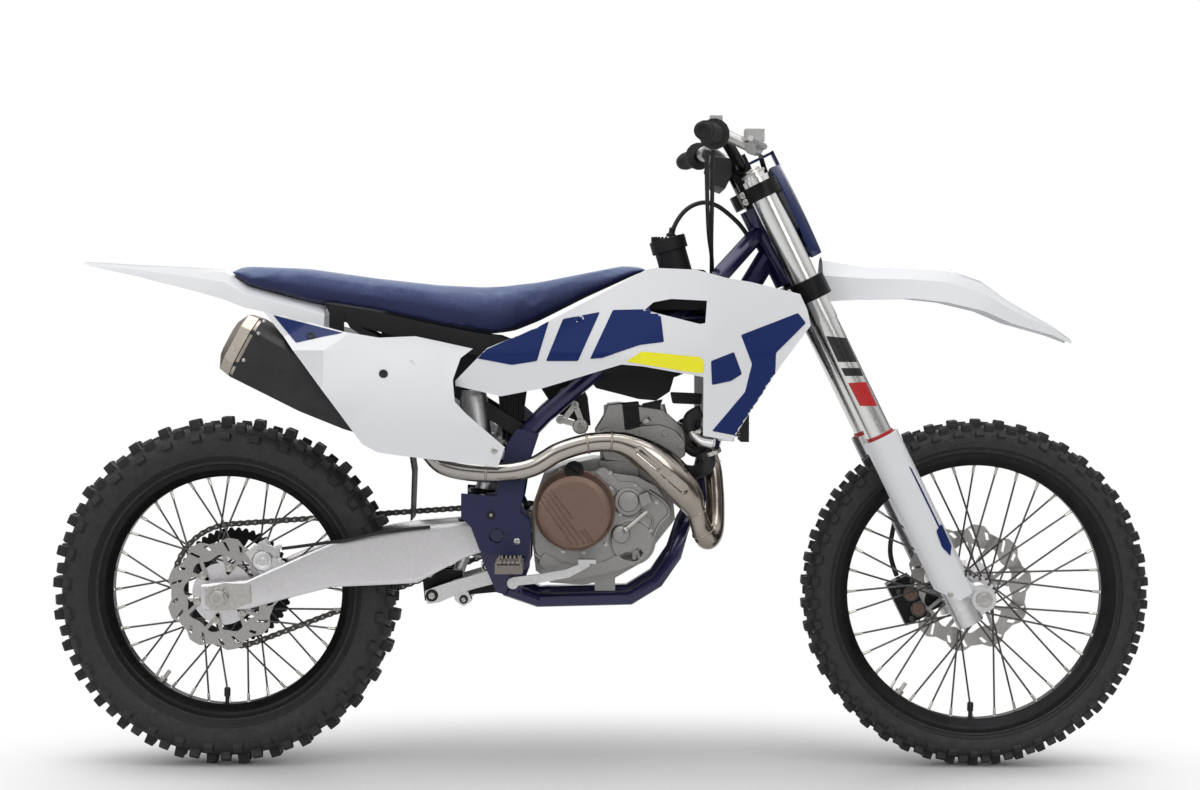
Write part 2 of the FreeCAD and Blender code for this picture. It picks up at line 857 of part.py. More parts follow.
def clamp(start, end, tube_radius):
    """One fork clamp, bored for the legs."""
    height = end - start
    right = Vector(-S.leg_trail, -S.leg_spread, start)
    left = Vector(-S.leg_trail, S.leg_spread, start)
    stem = Vector(-S.stem_trail, 0, start)
    rings = [bar(S.clamp_leg_radius, height, right), bar(S.clamp_leg_radius, height, left),
             bar(S.clamp_stem_radius, height, stem)]
    front = S.clamp_leg_radius * CLAMP_WEB_SHARE
    web = []
    for x, y in ((front - S.leg_trail, -S.leg_spread), (front - S.stem_trail, 0),
                 (front - S.leg_trail, S.leg_spread),
                 (-front - S.leg_trail, S.leg_spread), (-front - S.stem_trail, 0),
                 (-front - S.leg_trail, -S.leg_spread)):
        web.append(Vector(x, y, start))
    body = fused(rings + [face_of(web).extrude(Z_AXIS * height)])
    lug = Part.makeBox(S.pinch_depth, S.pinch_width, height,
                       Vector(-S.leg_trail - S.clamp_leg_radius - S.pinch_depth / 2,
                              -S.leg_spread - S.pinch_width / 2, start))
    body = body.fuse([lug, mirrored(lug)])
    bores = [bore(tube_radius, height, right, Z_AXIS, FINE_SIDES),
             bore(tube_radius, height, left, Z_AXIS, FINE_SIDES)]
    return body.cut(bores)


CLAMP_WEB_SHARE = 0.72


def triple_clamps():
    """Both clamps on one steering stem, with the nut on top and the bar mounts."""
    hole = S.fork_tube_radius + S.turn_gap
    stem = bar(S.stem_radius, S.upper_clamp_end - S.lower_clamp_start,
                             Vector(-S.stem_trail, 0, S.lower_clamp_start))
    nut = bar(S.stem_nut_radius, S.stem_nut_height, Vector(-S.stem_trail, 0, S.upper_clamp_end))
    pieces = [clamp(S.lower_clamp_start, S.lower_clamp_end, hole),
              clamp(S.upper_clamp_start, S.upper_clamp_end, hole),
              stem, nut]
    for side in (-1, 1):
        block = Part.makeBox(S.bar_mount_depth, S.bar_mount_width,
                             S.bar_height + S.bar_mount_cap - S.upper_clamp_end,
                             Vector(-S.bar_trail - S.bar_mount_depth / 2,
                                    side * S.bar_mount_side - S.bar_mount_width / 2, S.upper_clamp_end))
        pieces.append(block)
    made = fused(pieces)
    channel = bore(S.bar_radius + S.turn_gap, S.bar_flat * 2,
                   Vector(-S.bar_trail, -S.bar_flat, S.bar_height), Y_AXIS)
    return made.cut(channel)


def leg_bar(name, radius, start, end, sides=16):
    """A bar along the right leg between two places, each an expression."""
    return flats(name, radius, f"({end}) - ({start})", Rotation(), sides,
                 x="-Sizes.leg_trail", y="-Sizes.leg_spread", z=start)


def fork_tubes():
    """The outer tubes: thick where the clamps grip, slimmer below, bored for the legs."""
    lower = leg_bar("fork_sleeve", "Sizes.fork_sleeve_radius", "Sizes.fork_tube_start",
                    "Sizes.fork_tube_step",
                    FINE_SIDES)
    upper = leg_bar("fork_barrel", "Sizes.fork_tube_radius", "Sizes.fork_tube_step", "Sizes.fork_tube_end",
                    FINE_SIDES)
    cap = leg_bar("fork_cap", "Sizes.fork_cap_radius", "Sizes.fork_tube_end",
                  "Sizes.fork_tube_end + Sizes.fork_cap_height")
    hole = leg_bar("fork_tube_bore", f"(Sizes.fork_leg_radius + Sizes.turn_gap) / cos(180 / {ROUND_SIDES})",
                   "Sizes.fork_tube_start", "Sizes.fork_leg_end + Sizes.seat_gap")
    return paired("fork_tube_pair", pierced("fork_tube", joined("fork_tube_blank", [lower, upper, cap]),
                                            hole))


def axle_lug():
    """The foot of one leg: a socket for the tube, running forward to the axle's eye."""
    half = S.lug_width / 2
    eye = bar(S.axle_lug_radius, S.lug_width, Vector(0, -S.leg_spread - half, 0), Y_AXIS)
    socket = bar(S.lug_socket_radius, S.lug_socket_end - S.lug_socket_start, on_leg(S.lug_socket_start))
    low = S.lug_socket_start
    web = side_plate([
        Vector(-S.leg_trail, 0, low), Vector(0, 0, -S.axle_lug_radius), Vector(0, 0, S.axle_lug_radius),
        Vector(-S.leg_trail + S.fork_leg_radius, 0, S.lug_socket_end),
        Vector(-S.leg_trail, 0, S.lug_socket_end),
    ], -S.leg_spread - S.lug_web_width / 2, -S.leg_spread + S.lug_web_width / 2)
    inside = (S.guard_radius - S.guard_wall) * math.cos(math.pi / ROUND_SIDES)
    peg = bar(S.guard_peg_radius, math.sqrt(inside ** 2 - S.guard_peg_radius ** 2) - S.seat_gap,
                            on_leg(S.guard_peg_height), -Y_AXIS)
    body = fused([eye, socket, web, peg])
    hole = bore(S.front_axle_radius + S.turn_gap, S.lug_width + S.overrun,
                Vector(0, -S.leg_spread - S.lug_width, 0), Y_AXIS)
    return body.cut(hole)


def fork_legs():
    """The inner legs with their feet."""
    leg = bar(S.fork_leg_radius, S.fork_leg_end - S.lug_socket_end, on_leg(S.lug_socket_end))
    return leg_pair([axle_lug().fuse(leg)])


def seal_rings():
    """The rings at the mouth of the outer tubes."""
    start = "Sizes.fork_tube_start - Sizes.seal_ring_height"
    ring = leg_bar("seal_ring_blank", "Sizes.seal_ring_radius", start, "Sizes.fork_tube_start")
    hole = leg_bar("seal_ring_bore", f"(Sizes.fork_leg_radius + Sizes.turn_gap) / cos(180 / {ROUND_SIDES})",
                   start,
                   "Sizes.fork_tube_start")
    return paired("seal_ring_pair", pierced("seal_ring", ring, hole))


def fork_guards():
    """Half-round shields in front and outside of the legs, their feet cut on a slant."""
    outer = bar(S.guard_radius, S.guard_end - S.guard_start, on_leg(S.guard_start))
    inner = bar(S.guard_radius - S.guard_wall, S.guard_end - S.guard_start, on_leg(S.guard_start))
    half = Part.makeBox(S.guard_radius * 2, S.guard_radius, S.guard_end - S.guard_start,
                        Vector(-S.leg_trail - S.guard_radius, -S.leg_spread - S.guard_radius - S.seat_gap,
                               S.guard_start))
    front = Part.makeBox(S.guard_radius, S.guard_radius, S.guard_end - S.guard_start,
                         Vector(-S.leg_trail, -S.leg_spread - S.guard_radius / 2, S.guard_start))
    shell = outer.cut(inner).common(half.fuse(front))
    slant = side_plate([
        Vector(-S.leg_trail - S.guard_radius * 2, 0, S.guard_start - S.overrun),
        Vector(-S.leg_trail + S.guard_radius, 0, S.guard_start - S.overrun),
        Vector(-S.leg_trail - S.guard_radius * 2, 0, S.guard_start + S.guard_radius * 2),
    ], -S.leg_spread - S.guard_radius * 2, 0)
    width = S.lug_width + S.seat_gap * 2
    foot_room = Part.makeBox(S.guard_radius, width, S.lug_socket_end + S.seat_gap - S.guard_start,
                             Vector(-S.leg_trail + S.guard_radius / 2, -S.leg_spread - width / 2,
                                    S.guard_start))
    return leg_pair([shell.cut([slant, foot_room])])


def bar_route():
    """The right half of the handlebar, from its middle to its end."""
    return [
        Vector(-S.bar_trail, 0, S.bar_height),
        Vector(-S.bar_trail, -S.bar_flat, S.bar_height),
        Vector(-S.bar_trail - S.bar_bend_back, -S.bar_bend_side, S.bar_height + S.bar_bend_rise),
        Vector(-S.bar_trail - S.bar_end_back, -S.bar_half_width, S.bar_height + S.bar_end_rise),
    ]


def handlebar():
    """A tapered bar: thick between the bends, thinner where the grips go."""
    route = bar_route()
    half = tube(route, S.grip_bar_radius, ROUND_SIDES, BAR_BEND_SHARE)
    middle = bar(S.bar_radius, S.bar_flat * 2 * BAR_THICK_SHARE,
                               Vector(-S.bar_trail, -S.bar_flat * BAR_THICK_SHARE, S.bar_height), Y_AXIS)
    return half.fuse([middle, mirrored(half)]).removeSplitter()


BAR_THICK_SHARE = 0.8
BAR_BEND_SHARE = 0.3


def bar_place(distance):
    """A place on the right grip's line and the line's direction, measured inward from the bar's end."""
    route = bar_route()
    inward = (route[2] - route[3]).normalize()
    return route[3] + inward * distance, inward


def sleeve(outer, hole, start, length):
    """A round sleeve on the right grip's line."""
    place, inward = bar_place(start)
    return bar(outer, length, place, inward).cut(bore(hole, length, place, inward))


def grips():
    """Rubber grips with a flange inside and a closed end."""
    place, inward = bar_place(-S.grip_end_wall)
    whole = Part.makeCylinder(S.grip_radius, S.grip_end_wall + S.grip_length, place, inward)
    start, inward = bar_place(0)
    hole = bore(S.grip_bar_radius + S.turn_gap, S.grip_length + S.grip_flange_width, start, inward)
    flange = sleeve(S.grip_flange_radius, S.grip_bar_radius + S.turn_gap, S.grip_length, S.grip_flange_width)
    return leg_pair([whole.cut(hole).fuse(flange)])


# on the fork's own axes, level ahead and straight up
LEVEL_AHEAD = Vector(math.cos(RAKE), 0, -math.sin(RAKE))
STRAIGHT_UP = Vector(math.sin(RAKE), 0, math.cos(RAKE))


def block_at(centre, length, width, height):
    """A block with level faces, its centre given on the fork's axes."""
    block = Part.makeBox(length, width, height, Vector(-length / 2, -width / 2, -height / 2))
    block.Placement = Placement(centre, Rotation(Y_AXIS, S.rake_angle)).multiply(block.Placement)
    return block


def throttle_housing():
    """The twist-grip housing, with its cable box on top."""
    start = S.grip_length + S.grip_flange_width + S.seat_gap
    body = sleeve(S.housing_radius, S.grip_bar_radius + S.turn_gap, start, S.housing_width)
    place, _ = bar_place(start + S.housing_width / 2)
    box = block_at(place + STRAIGHT_UP * S.housing_radius, S.housing_radius,
                   S.housing_width * BOX_WIDTH_SHARE,
                   S.housing_radius)
    return body.fuse(box).removeSplitter()


BOX_WIDTH_SHARE = 0.7


def master_place():
    """The middle of the right master cylinder and its direction inward."""
    place, inward = bar_place(S.perch_start + S.perch_width / 2)
    return place + LEVEL_AHEAD * S.master_ahead - STRAIGHT_UP * S.master_drop, inward


def perch(side):
    """A lever perch on one side: clamp ring, arm, cylinder, and the lever in front of the grip."""
    ring = sleeve(S.perch_radius, S.grip_bar_radius + S.turn_gap, S.perch_start, S.perch_width)
    place, _ = bar_place(S.perch_start + S.perch_width / 2)
    middle, inward = master_place()
    arm_start = place + LEVEL_AHEAD * (S.perch_radius * RING_SHARE)
    arm = rod(arm_start, middle, S.master_radius * ARM_START_SHARE)
    cylinder = bar(S.master_radius, S.master_length, middle - inward * (S.master_length / 2), inward)
    pivot = middle - inward * (S.master_length / 2) + LEVEL_AHEAD * S.master_radius
    tip, _ = bar_place(S.lever_radius * 2)
    lever = tube([
        pivot, pivot - inward * (S.master_length / 2) + LEVEL_AHEAD * (S.lever_ahead - S.master_ahead),
        tip + LEVEL_AHEAD * S.lever_ahead - STRAIGHT_UP * S.master_radius,
    ], S.lever_radius)
    pieces = [ring, arm, cylinder, lever]
    if side < 0:
        reservoir = block_at(middle + STRAIGHT_UP * (S.master_radius + S.reservoir_height / 2),
                             S.reservoir_depth, S.reservoir_width, S.reservoir_height)
        pieces.append(reservoir)
        return fused(pieces)
    return mirrored(fused(pieces))


ARM_START_SHARE = 0.85
RING_SHARE = 0.95


def number_plate():
    """A plate bowed across the bike, wider at the top, with a strap back to the bar."""
    bow = (S.plate_half_width ** 2 + S.plate_depth ** 2) / (S.plate_depth * 2)
    height = S.plate_end - S.plate_start
    centre = Vector(S.plate_front - bow, 0, S.plate_start)
    shell = bar(bow, height, centre).cut(bar(bow - S.plate_wall, height, centre))
    outline = []
    for width_share, height_share in PLATE_SHARES:
        outline.append(Vector(0, S.plate_half_width * width_share, S.plate_start + height * height_share))
    front = face_of(outline).extrude(X_AXIS * (S.plate_front + S.overrun))
    plate = shell.common(front)
    hook = Part.makeBox(S.plate_strap_wall, S.plate_strap_width,
                        S.bar_height + S.plate_strap_wall - S.plate_end + S.overrun / 4,
                        Vector(S.plate_front - S.plate_strap_wall, -S.plate_strap_width / 2,
                               S.plate_end - S.overrun / 4))
    strap_start = -S.bar_trail + S.bar_radius + S.seat_gap
    strap = Part.makeBox(S.plate_front - strap_start, S.plate_strap_width, S.plate_strap_wall,
                         Vector(strap_start, -S.plate_strap_width / 2, S.bar_height))
    return fused([plate, hook, strap])


PLATE_SHARES = [(-0.62, 0.0), (0.62, 0.0), (0.74, 0.1), (1.0, 0.72), (1.0, 0.88), (0.86, 1.0),
                (-0.86, 1.0), (-1.0, 0.88), (-1.0, 0.72), (-0.74, 0.1)]


def bar_pad():
    """The padded block behind the bar, cut on a slant below."""
    length = S.pad_length
    height = S.pad_height
    start = -S.bar_trail - S.bar_radius - S.seat_gap
    outline = []
    for x_share, z_share in PAD_SHARES:
        level = LEVEL_AHEAD * (-length * x_share) + STRAIGHT_UP * (height * z_share)
        outline.append(Vector(start, 0, S.bar_height) + level)
    pad = side_plate(outline, -S.pad_half_width, S.pad_half_width)
    width = S.bar_mount_width + S.seat_gap * 2
    room = Part.makeBox(S.bar_mount_depth, width, S.pad_height * 2,
                        Vector(-S.bar_trail - S.bar_mount_depth / 2 - S.seat_gap,
                               S.bar_mount_side - width / 2,
                               S.bar_height - S.pad_height))
    return pad.cut([room, mirrored(room)])


PAD_SHARES = [(0.06, 0.35), (0.9, 0.45), (1.0, 0.1), (0.75, -0.5), (0.35, -0.62), (0.1, -0.2)]


def fender_shell(stations, wall):
    """A thin inverted trough through stations of place, top, depth and half width."""
    sections = []
    for x, top, depth, half in stations:
        outer = []
        inner = []
        for side_share, drop_share in TROUGH_SHARES:
            side = half * side_share
            drop = depth * drop_share
            outer.append(Vector(x, side, top - drop))
            inset = wall * (1 if side > 0 else -1)
            inner.append(Vector(x, side - inset, top - max(drop, 0) - (wall if drop_share < 1 else 0)))
        sections.append(outer + inner[::-1])
    return skin(sections)


TROUGH_SHARES = [(-1.0, 1.0), (-0.9, 0.42), (-0.55, 0.08), (-0.18, 0.0), (0.18, 0.0), (0.55, 0.08),
                 (0.9, 0.42),
                 (1.0, 1.0)]
FENDER_SHARES = [
    (-1.0, 1.027, 1.3, 0.84), (-0.73, 1.006, 1.03, 0.96), (-0.44, 1.0, 0.95, 1.0), (-0.22, 0.994, 1.0, 1.0),
    (0.03, 0.955, 0.88, 1.0), (0.33, 0.895, 0.66, 0.92), (0.8, 0.82, 0.3, 0.72), (1.0, 0.78, 0.14, 0.5),
]


def front_fender():
    """The front fender, with the tongue that bolts under the lower clamp."""
    stations = []
    for x_share, top_share, depth_share, width_share in FENDER_SHARES:
        span = S.fender_front_length if x_share > 0 else S.fender_rear_length
        stations.append((x_share * span, S.fender_height * top_share, S.fender_depth * depth_share,
                         S.fender_half_width * width_share))
    shell = fender_shell(stations, S.fender_wall)
    tongue = Part.makeBox(S.tongue_front + S.tongue_back,
                          S.fender_half_width * FENDER_SHARES[0][3] * 2 - S.fender_wall,
                          S.tongue_wall, Vector(-S.tongue_back, -S.fender_half_width * FENDER_SHARES[0][3]
                                                + S.fender_wall / 2, -S.tongue_wall))
    tongue.translate(Vector(0, 0, S.lower_clamp_start - S.seat_gap))
    tongue.rotate(ORIGIN, Y_AXIS, -S.rake_angle)
    return shell.fuse(tongue)


def axle_piece(name, radius, start, end, side, sides=16):
    """A bar on a wheel's axle between two side distances, to the left where side is 1."""
    turn = CROSSWISE if side > 0 else Rotation(X_AXIS, 90)
    return flats(name, radius, f"({end}) - ({start})", turn, sides, y=f"{side} * ({start})")


def front_axle():
    """The axle with its spacers and nut."""
    lug_in = "Sizes.leg_spread - Sizes.lug_width / 2 - Sizes.seat_gap"
    lug_out = "Sizes.leg_spread + Sizes.lug_width / 2"
    pieces = [axle_piece("front_shaft", "Sizes.front_axle_radius", "-Sizes.front_axle_end",
                         "Sizes.front_axle_end", 1)]
    for side, inner, name in ((-1, "Sizes.front_hub_end", "right"), (1, "Sizes.front_disc_side", "left")):
        pieces.append(axle_piece(f"front_spacer_{name}", "Sizes.spacer_radius",
                                 f"{inner} + Sizes.spacer_gap", lug_in, side))
        pieces.append(axle_piece(f"front_nut_{name}", "Sizes.axle_nut_radius", lug_out,
                                 "Sizes.front_axle_end", side))
    return stand_at_front_axle(joined("front_axle_body", pieces))


def block(name, centre, length, width, height, **base):
    """A block bound to the sheet; x and z give its middle where centre says so, y its right face."""
    shift = {"x": length, "z": height}
    for key in centre:
        base[key] = f"{base[key]} - ({shift[key]}) / 2"
    return primitive("Part::Box", name, Length=length, Width=width, Height=height, **base)


def front_caliper():
    """The front caliper: a block over the disc's edge and the plate that bolts it to the left foot."""
    whole = block("front_caliper_block", "xz", "Sizes.front_caliper_depth", "Sizes.front_caliper_width",
                  "Sizes.front_caliper_length", x="-Sizes.front_caliper_trail",
                  y="Sizes.front_disc_side - Sizes.front_caliper_width / 2", z="Sizes.front_caliper_height")
    slot = flats("front_caliper_slot",
                 f"(Sizes.front_disc_radius + Sizes.caliper_reach) / cos(180 / {SLOT_SIDES})",
                 "Sizes.caliper_slot", CROSSWISE, SLOT_SIDES,
                 y="Sizes.front_disc_side - Sizes.caliper_slot / 2")
    outer = "(Sizes.front_disc_side + Sizes.front_caliper_width / 2)"
    end = (f"(-Sizes.leg_trail - sqrt(Sizes.lug_socket_radius ^ 2 - (Sizes.leg_spread - {outer}) ^ 2)"
           " - Sizes.seat_gap)")
    plate = block("front_caliper_plate", "", f"{end} + Sizes.front_caliper_trail",
                  f"{outer} - Sizes.front_disc_side - Sizes.caliper_slot / 2",
                  f"Sizes.front_caliper_length * {PLATE_HEIGHT_SHARE}", x="-Sizes.front_caliper_trail",
                  y="Sizes.front_disc_side + Sizes.caliper_slot / 2",
                  z="Sizes.front_caliper_height - Sizes.front_caliper_length / 2")
    made = joined("front_caliper_body", [pierced("front_caliper_slotted", whole, slot), plate])
    return stand_at_front_axle(made, True)


SLOT_SIDES = 32


PLATE_HEIGHT_SHARE = 0.6


def build_steering():
    steering("triple_clamps", triple_clamps())
    node(stand_at_front_axle(fork_tubes(), True), "fork_tubes")
    steering("fork_legs", fork_legs())
    node(stand_at_front_axle(seal_rings(), True), "seal_rings")
    steering("fork_guards", fork_guards())
    steering("handlebar", handlebar())
    steering("grips", grips())
    steering("brake_control", Part.makeCompound([perch(-1), throttle_housing()]))
    steering("clutch_control", perch(1))
    steering("number_plate", number_plate())
    steering("bar_pad", bar_pad())
    node(front_axle(), "front_axle")
    node(front_caliper(), "front_caliper")
    shaped("front_fender", front_fender(), Placement(FRONT_AXLE, Rotation()))


build_steering()


# Frame and swingarm


PIVOT = Vector(S.pivot_x, 0, -S.pivot_drop)
SHOCK_EYE = Vector(S.shock_eye_x, 0, -S.shock_eye_drop)
SHOCK_FOOT = Vector(S.shock_foot_x, 0, -S.shock_foot_drop)
CROSS_TUBE = Vector(S.cross_tube_x, 0, -S.cross_tube_drop)
HEAD_TOP = on_fork(-S.stem_trail, 0, S.head_tube_end)
HEAD_FOOT = on_fork(-S.stem_trail, 0, S.head_tube_start)


def spar_route():
    """The right main tube, from behind the head tube to the pivot plate."""
    start = on_fork(-S.stem_trail, 0, S.head_tube_end - S.head_tube_radius * SPAR_TOP_SHARE)
    route = [start - Vector(0, S.head_tube_radius * SPAR_START_SHARE, 0)]
    for x_share, side_share, z_share in SPAR_SHARES:
        route.append(spot(x_share, -S.pivot_plate_side * side_share, z_share))
    return route


SPAR_TOP_SHARE = 1.5
SPAR_START_SHARE = 0.33
SPAR_SHARES = [(0.70, 0.596, -0.03), (0.37, 0.894, -0.268), (0.21, 0.94, -0.411), (0.16, 0.957, -0.465),
               (0.105, 0.979, -0.60), (0.075, 0.979, -0.69)]


def down_tube_route():
    """Back from the head tube first, clear of the turning clamp, and then down."""
    high = HEAD_FOOT + UP_FORK * (S.head_tube_radius * DOWN_TUBE_RISE_SHARE)
    back = AHEAD_OF_FORK * (S.head_tube_radius * DOWN_TUBE_BACK_SHARE)
    drop = UP_FORK * (S.head_tube_radius * DOWN_TUBE_DROP_SHARE)
    return [high, high - back - drop, spot(*DOWN_TUBE_FOOT_SHARES)]


DOWN_TUBE_RISE_SHARE = 2.6
DOWN_TUBE_BACK_SHARE = 2.8
DOWN_TUBE_DROP_SHARE = 1.8
DOWN_TUBE_FOOT_SHARES = (0.69, 0, -0.715)


def cradle_route():
    """The right cradle rail, from the foot of the down tube to the pivot plate."""
    route = []
    for x_share, side_share, z_share in CRADLE_SHARES:
        route.append(spot(x_share, -S.cradle_spread * side_share, z_share))
    x_share, z_share = CRADLE_END_SHARES
    return route + [spot(x_share, -S.pivot_plate_side, z_share)]


CRADLE_SHARES = [(0.69, 0.13, -0.69), (0.652, 0.72, -0.77), (0.622, 1.0, -0.87), (0.566, 1.0, -0.955),
                 (0.48, 1.0, -1.01), (0.19, 1.0, -1.018)]
CRADLE_END_SHARES = (0.09, -0.975)
LOW_CROSS_SHARES = (0.12, 0, -0.985)
CLEVIS_EDGE_SHARE = 0.9


def mitred(points, radii, sides=ROUND_SIDES):
    """A tube with flats, mitred at each corner, of one radius or with a radius for each point."""
    if isinstance(radii, float):
        radii = [radii] * len(points)
    sections = []
    for index, point in enumerate(points):
        into = (point - points[max(index - 1, 0)])
        out = (points[min(index + 1, len(points) - 1)] - point)
        if index == 0:
            into = out
        if index == len(points) - 1:
            out = into
        along = (into.normalize() + out.normalize()).normalize()
        stretch = 1 / math.cos(into.getAngle(out) / 2)
        level = Vector(0, 0, 1).cross(along)
        if level.Length < MITRE_LEAN_SHARE:
            level = Y_AXIS.cross(along)
        level = level.normalize()
        upright = along.cross(level).normalize()
        bend = out - into
        radius = radii[index]
        ring = []
        for step in range(sides):
            angle = 2 * math.pi * step / sides
            offset = level * (radius * math.cos(angle)) + upright * (radius * math.sin(angle))
            if bend.Length > MITRE_LEAN_SHARE:
                normal = (bend - along * bend.dot(along)).normalize()
                offset = offset + normal * (offset.dot(normal) * (stretch - 1))
            ring.append(point + offset)
        sections.append(ring)
    return skin(sections)


MITRE_LEAN_SHARE = 0.02
FRAME_SIDES = 12


def pivot_plate():
    """The right side plate that carries the swingarm and the footpeg."""
    outline = [spot(x_share, 0, z_share) for x_share, z_share in PIVOT_PLATE_SHARES]
    start = -S.pivot_plate_side - S.pivot_plate_wall / 2
    plate = side_plate(outline, start, start + S.pivot_plate_wall)
    return plate


PIVOT_PLATE_SHARES = [(0.03, -0.665), (0.12, -0.655), (0.17, -0.76), (0.165, -0.90), (0.145, -0.955),
                      (0.11, -1.0),
                      (0.06, -0.985), (0.012, -0.87), (0.008, -0.74)]


def frame():
    """The dark frame: head tube, two main tubes, down tube, cradle, pivot plates and cross tubes."""
    half = [
        mitred(spar_route(), S.spar_radius, FRAME_SIDES),
        mitred(cradle_route(), S.cradle_radius, FRAME_SIDES),
        pivot_plate(),
    ]
    clevis_start = S.shock_eye_half_width + S.seat_gap
    clevis = side_plate([
        CROSS_TUBE + Z_AXIS * (S.cross_tube_radius * CLEVIS_EDGE_SHARE),
        CROSS_TUBE - Z_AXIS * (S.cross_tube_radius * CLEVIS_EDGE_SHARE),
        SHOCK_EYE - Vector(0, 0, S.shock_eye_radius), SHOCK_EYE - Vector(S.shock_eye_radius, 0, 0),
        SHOCK_EYE + Vector(0, 0, S.shock_eye_radius),
    ], clevis_start, clevis_start + S.clevis_wall)
    half.append(mirrored(clevis))
    side = -S.radiator_inner - S.radiator_arm_radius * 2
    for z_share in RADIATOR_ARM_SHARES:
        height = Vector(0, 0, z_share * S.axle_drop).z
        end = Vector(radiator_back(height), side, height)
        half.append(rod(Vector(spar_x(height), side, height), end - X_AXIS * S.seat_gap,
                        S.radiator_arm_radius, 8))
    pieces = half + [mirrored(piece) for piece in half]
    pieces.append(mitred(down_tube_route(), S.down_tube_radius, FRAME_SIDES))
    pieces.append(rod(HEAD_FOOT, HEAD_TOP, S.head_tube_radius, 20))
    wide = S.pivot_plate_side
    pieces.append(rod(CROSS_TUBE - Y_AXIS * wide, CROSS_TUBE + Y_AXIS * wide, S.cross_tube_radius,
                      FRAME_SIDES))
    low = spot(*LOW_CROSS_SHARES)
    pieces.append(rod(low - Y_AXIS * wide, low + Y_AXIS * wide, S.cross_tube_radius, FRAME_SIDES))
    eye = S.shock_eye_half_width + S.clevis_wall
    pieces.append(rod(SHOCK_EYE - Y_AXIS * eye, SHOCK_EYE + Y_AXIS * eye, S.shock_bolt_radius, 8))
    bolt = S.pivot_plate_side + S.pivot_plate_wall / 2
    pieces.append(rod(PIVOT - Y_AXIS * bolt, PIVOT + Y_AXIS * bolt, S.pivot_bolt_radius))
    for side_sign in (-1, 1):
        head = PIVOT + Y_AXIS * (side_sign * bolt)
        pieces.append(bar(S.pivot_bolt_head, S.clevis_wall, head, Y_AXIS * side_sign, 6))
    made = fused(pieces)
    hole = bore(S.stem_radius + S.turn_gap, S.head_tube_end - S.head_tube_start + S.overrun * 2,
                HEAD_FOOT - UP_FORK * S.overrun, UP_FORK)
    return made.cut(hole).removeSplitter()


RADIATOR_ARM_SHARES = [-0.09, -0.2]


def spar_x(height):
    """Where the right main tube passes a height."""
    route = spar_route()
    for upper, lower in zip(route, route[1:]):
        if lower.z <= height <= upper.z:
            share = (upper.z - height) / (upper.z - lower.z)
            return upper.x + (lower.x - upper.x) * share
    return route[0].x


RADIATOR_SHARE = 0.775


def radiator_back(height):
    lean = math.tan(math.radians(S.radiator_lean_angle))
    return RADIATOR_SHARE * REACH - S.radiator_thickness / 2 + (height + S.radiator_low) * lean


ARM_SHARES = [
    # place behind the pivot, top, bottom, side, as shares of the pivot's drop and of the rear centre
    (0.0, -0.945, -1.055), (-0.12, -0.955, -1.10), (-0.29, -0.972, -1.20), (-0.37, -0.985, -1.205),
    (-0.60, -1.035, -1.215), (-0.76, -1.115, -1.26), (-0.90, -1.185, -1.302), (-1.065, -1.20, -1.305),
]
ARM_SIDE_SHARES = [0.0, 0.02, 0.22, 0.38, 0.60, 0.80, 1.0, 1.0]


def swingarm():
    """The bare alloy swingarm: two tapering arms, a pivot tube and a bridge ahead of the wheel."""
    sections = []
    for (x_share, top, low), side_share in zip(ARM_SHARES, ARM_SIDE_SHARES):
        x = S.pivot_x + (S.pivot_x + S.rear_axle_back) * x_share if x_share else S.pivot_x
        side = S.arm_front_side + (S.arm_rear_side - S.arm_front_side) * side_share
        top_z = top * S.pivot_drop
        low_z = low * S.pivot_drop
        centre = Vector(x, -side, (top_z + low_z) / 2)
        sections.append(ring_section(centre, S.arm_wall / 2, (top_z - low_z) / 2, ARM_CORNER_SHARE))
    arm = skin(sections)
    tube_half = S.pivot_plate_side - S.pivot_plate_wall / 2 - S.seat_gap
    pivot_tube = rod(PIVOT - Y_AXIS * tube_half, PIVOT - Y_AXIS * S.pivot_tube_inner, S.pivot_tube_radius)
    bridge_side = S.arm_rear_side * BRIDGE_SIDE_SHARE
    bridge = side_plate([Vector(-S.rear_axle_back * x_share, 0, -S.pivot_drop * z_share)
                         for x_share, z_share in BRIDGE_SHARES], -bridge_side, bridge_side)
    made = fused([arm, mirrored(arm), pivot_tube, mirrored(pivot_tube), bridge])
    pivot_hole = bore(S.pivot_bolt_radius + S.seat_gap, tube_half * 2, PIVOT - Y_AXIS * tube_half, Y_AXIS)
    wide = S.arm_rear_side + S.arm_wall
    axle_hole = bore(S.rear_axle_radius + S.turn_gap, wide * 2, REAR_AXLE - Y_AXIS * wide, Y_AXIS)
    return made.cut([pivot_hole, axle_hole])


ARM_CORNER_SHARE = 0.22
BRIDGE_SIDE_SHARE = 0.7
BRIDGE_SHARES = [(0.2, 1.02), (0.285, 1.04), (0.285, 1.151), (0.2, 1.151)]


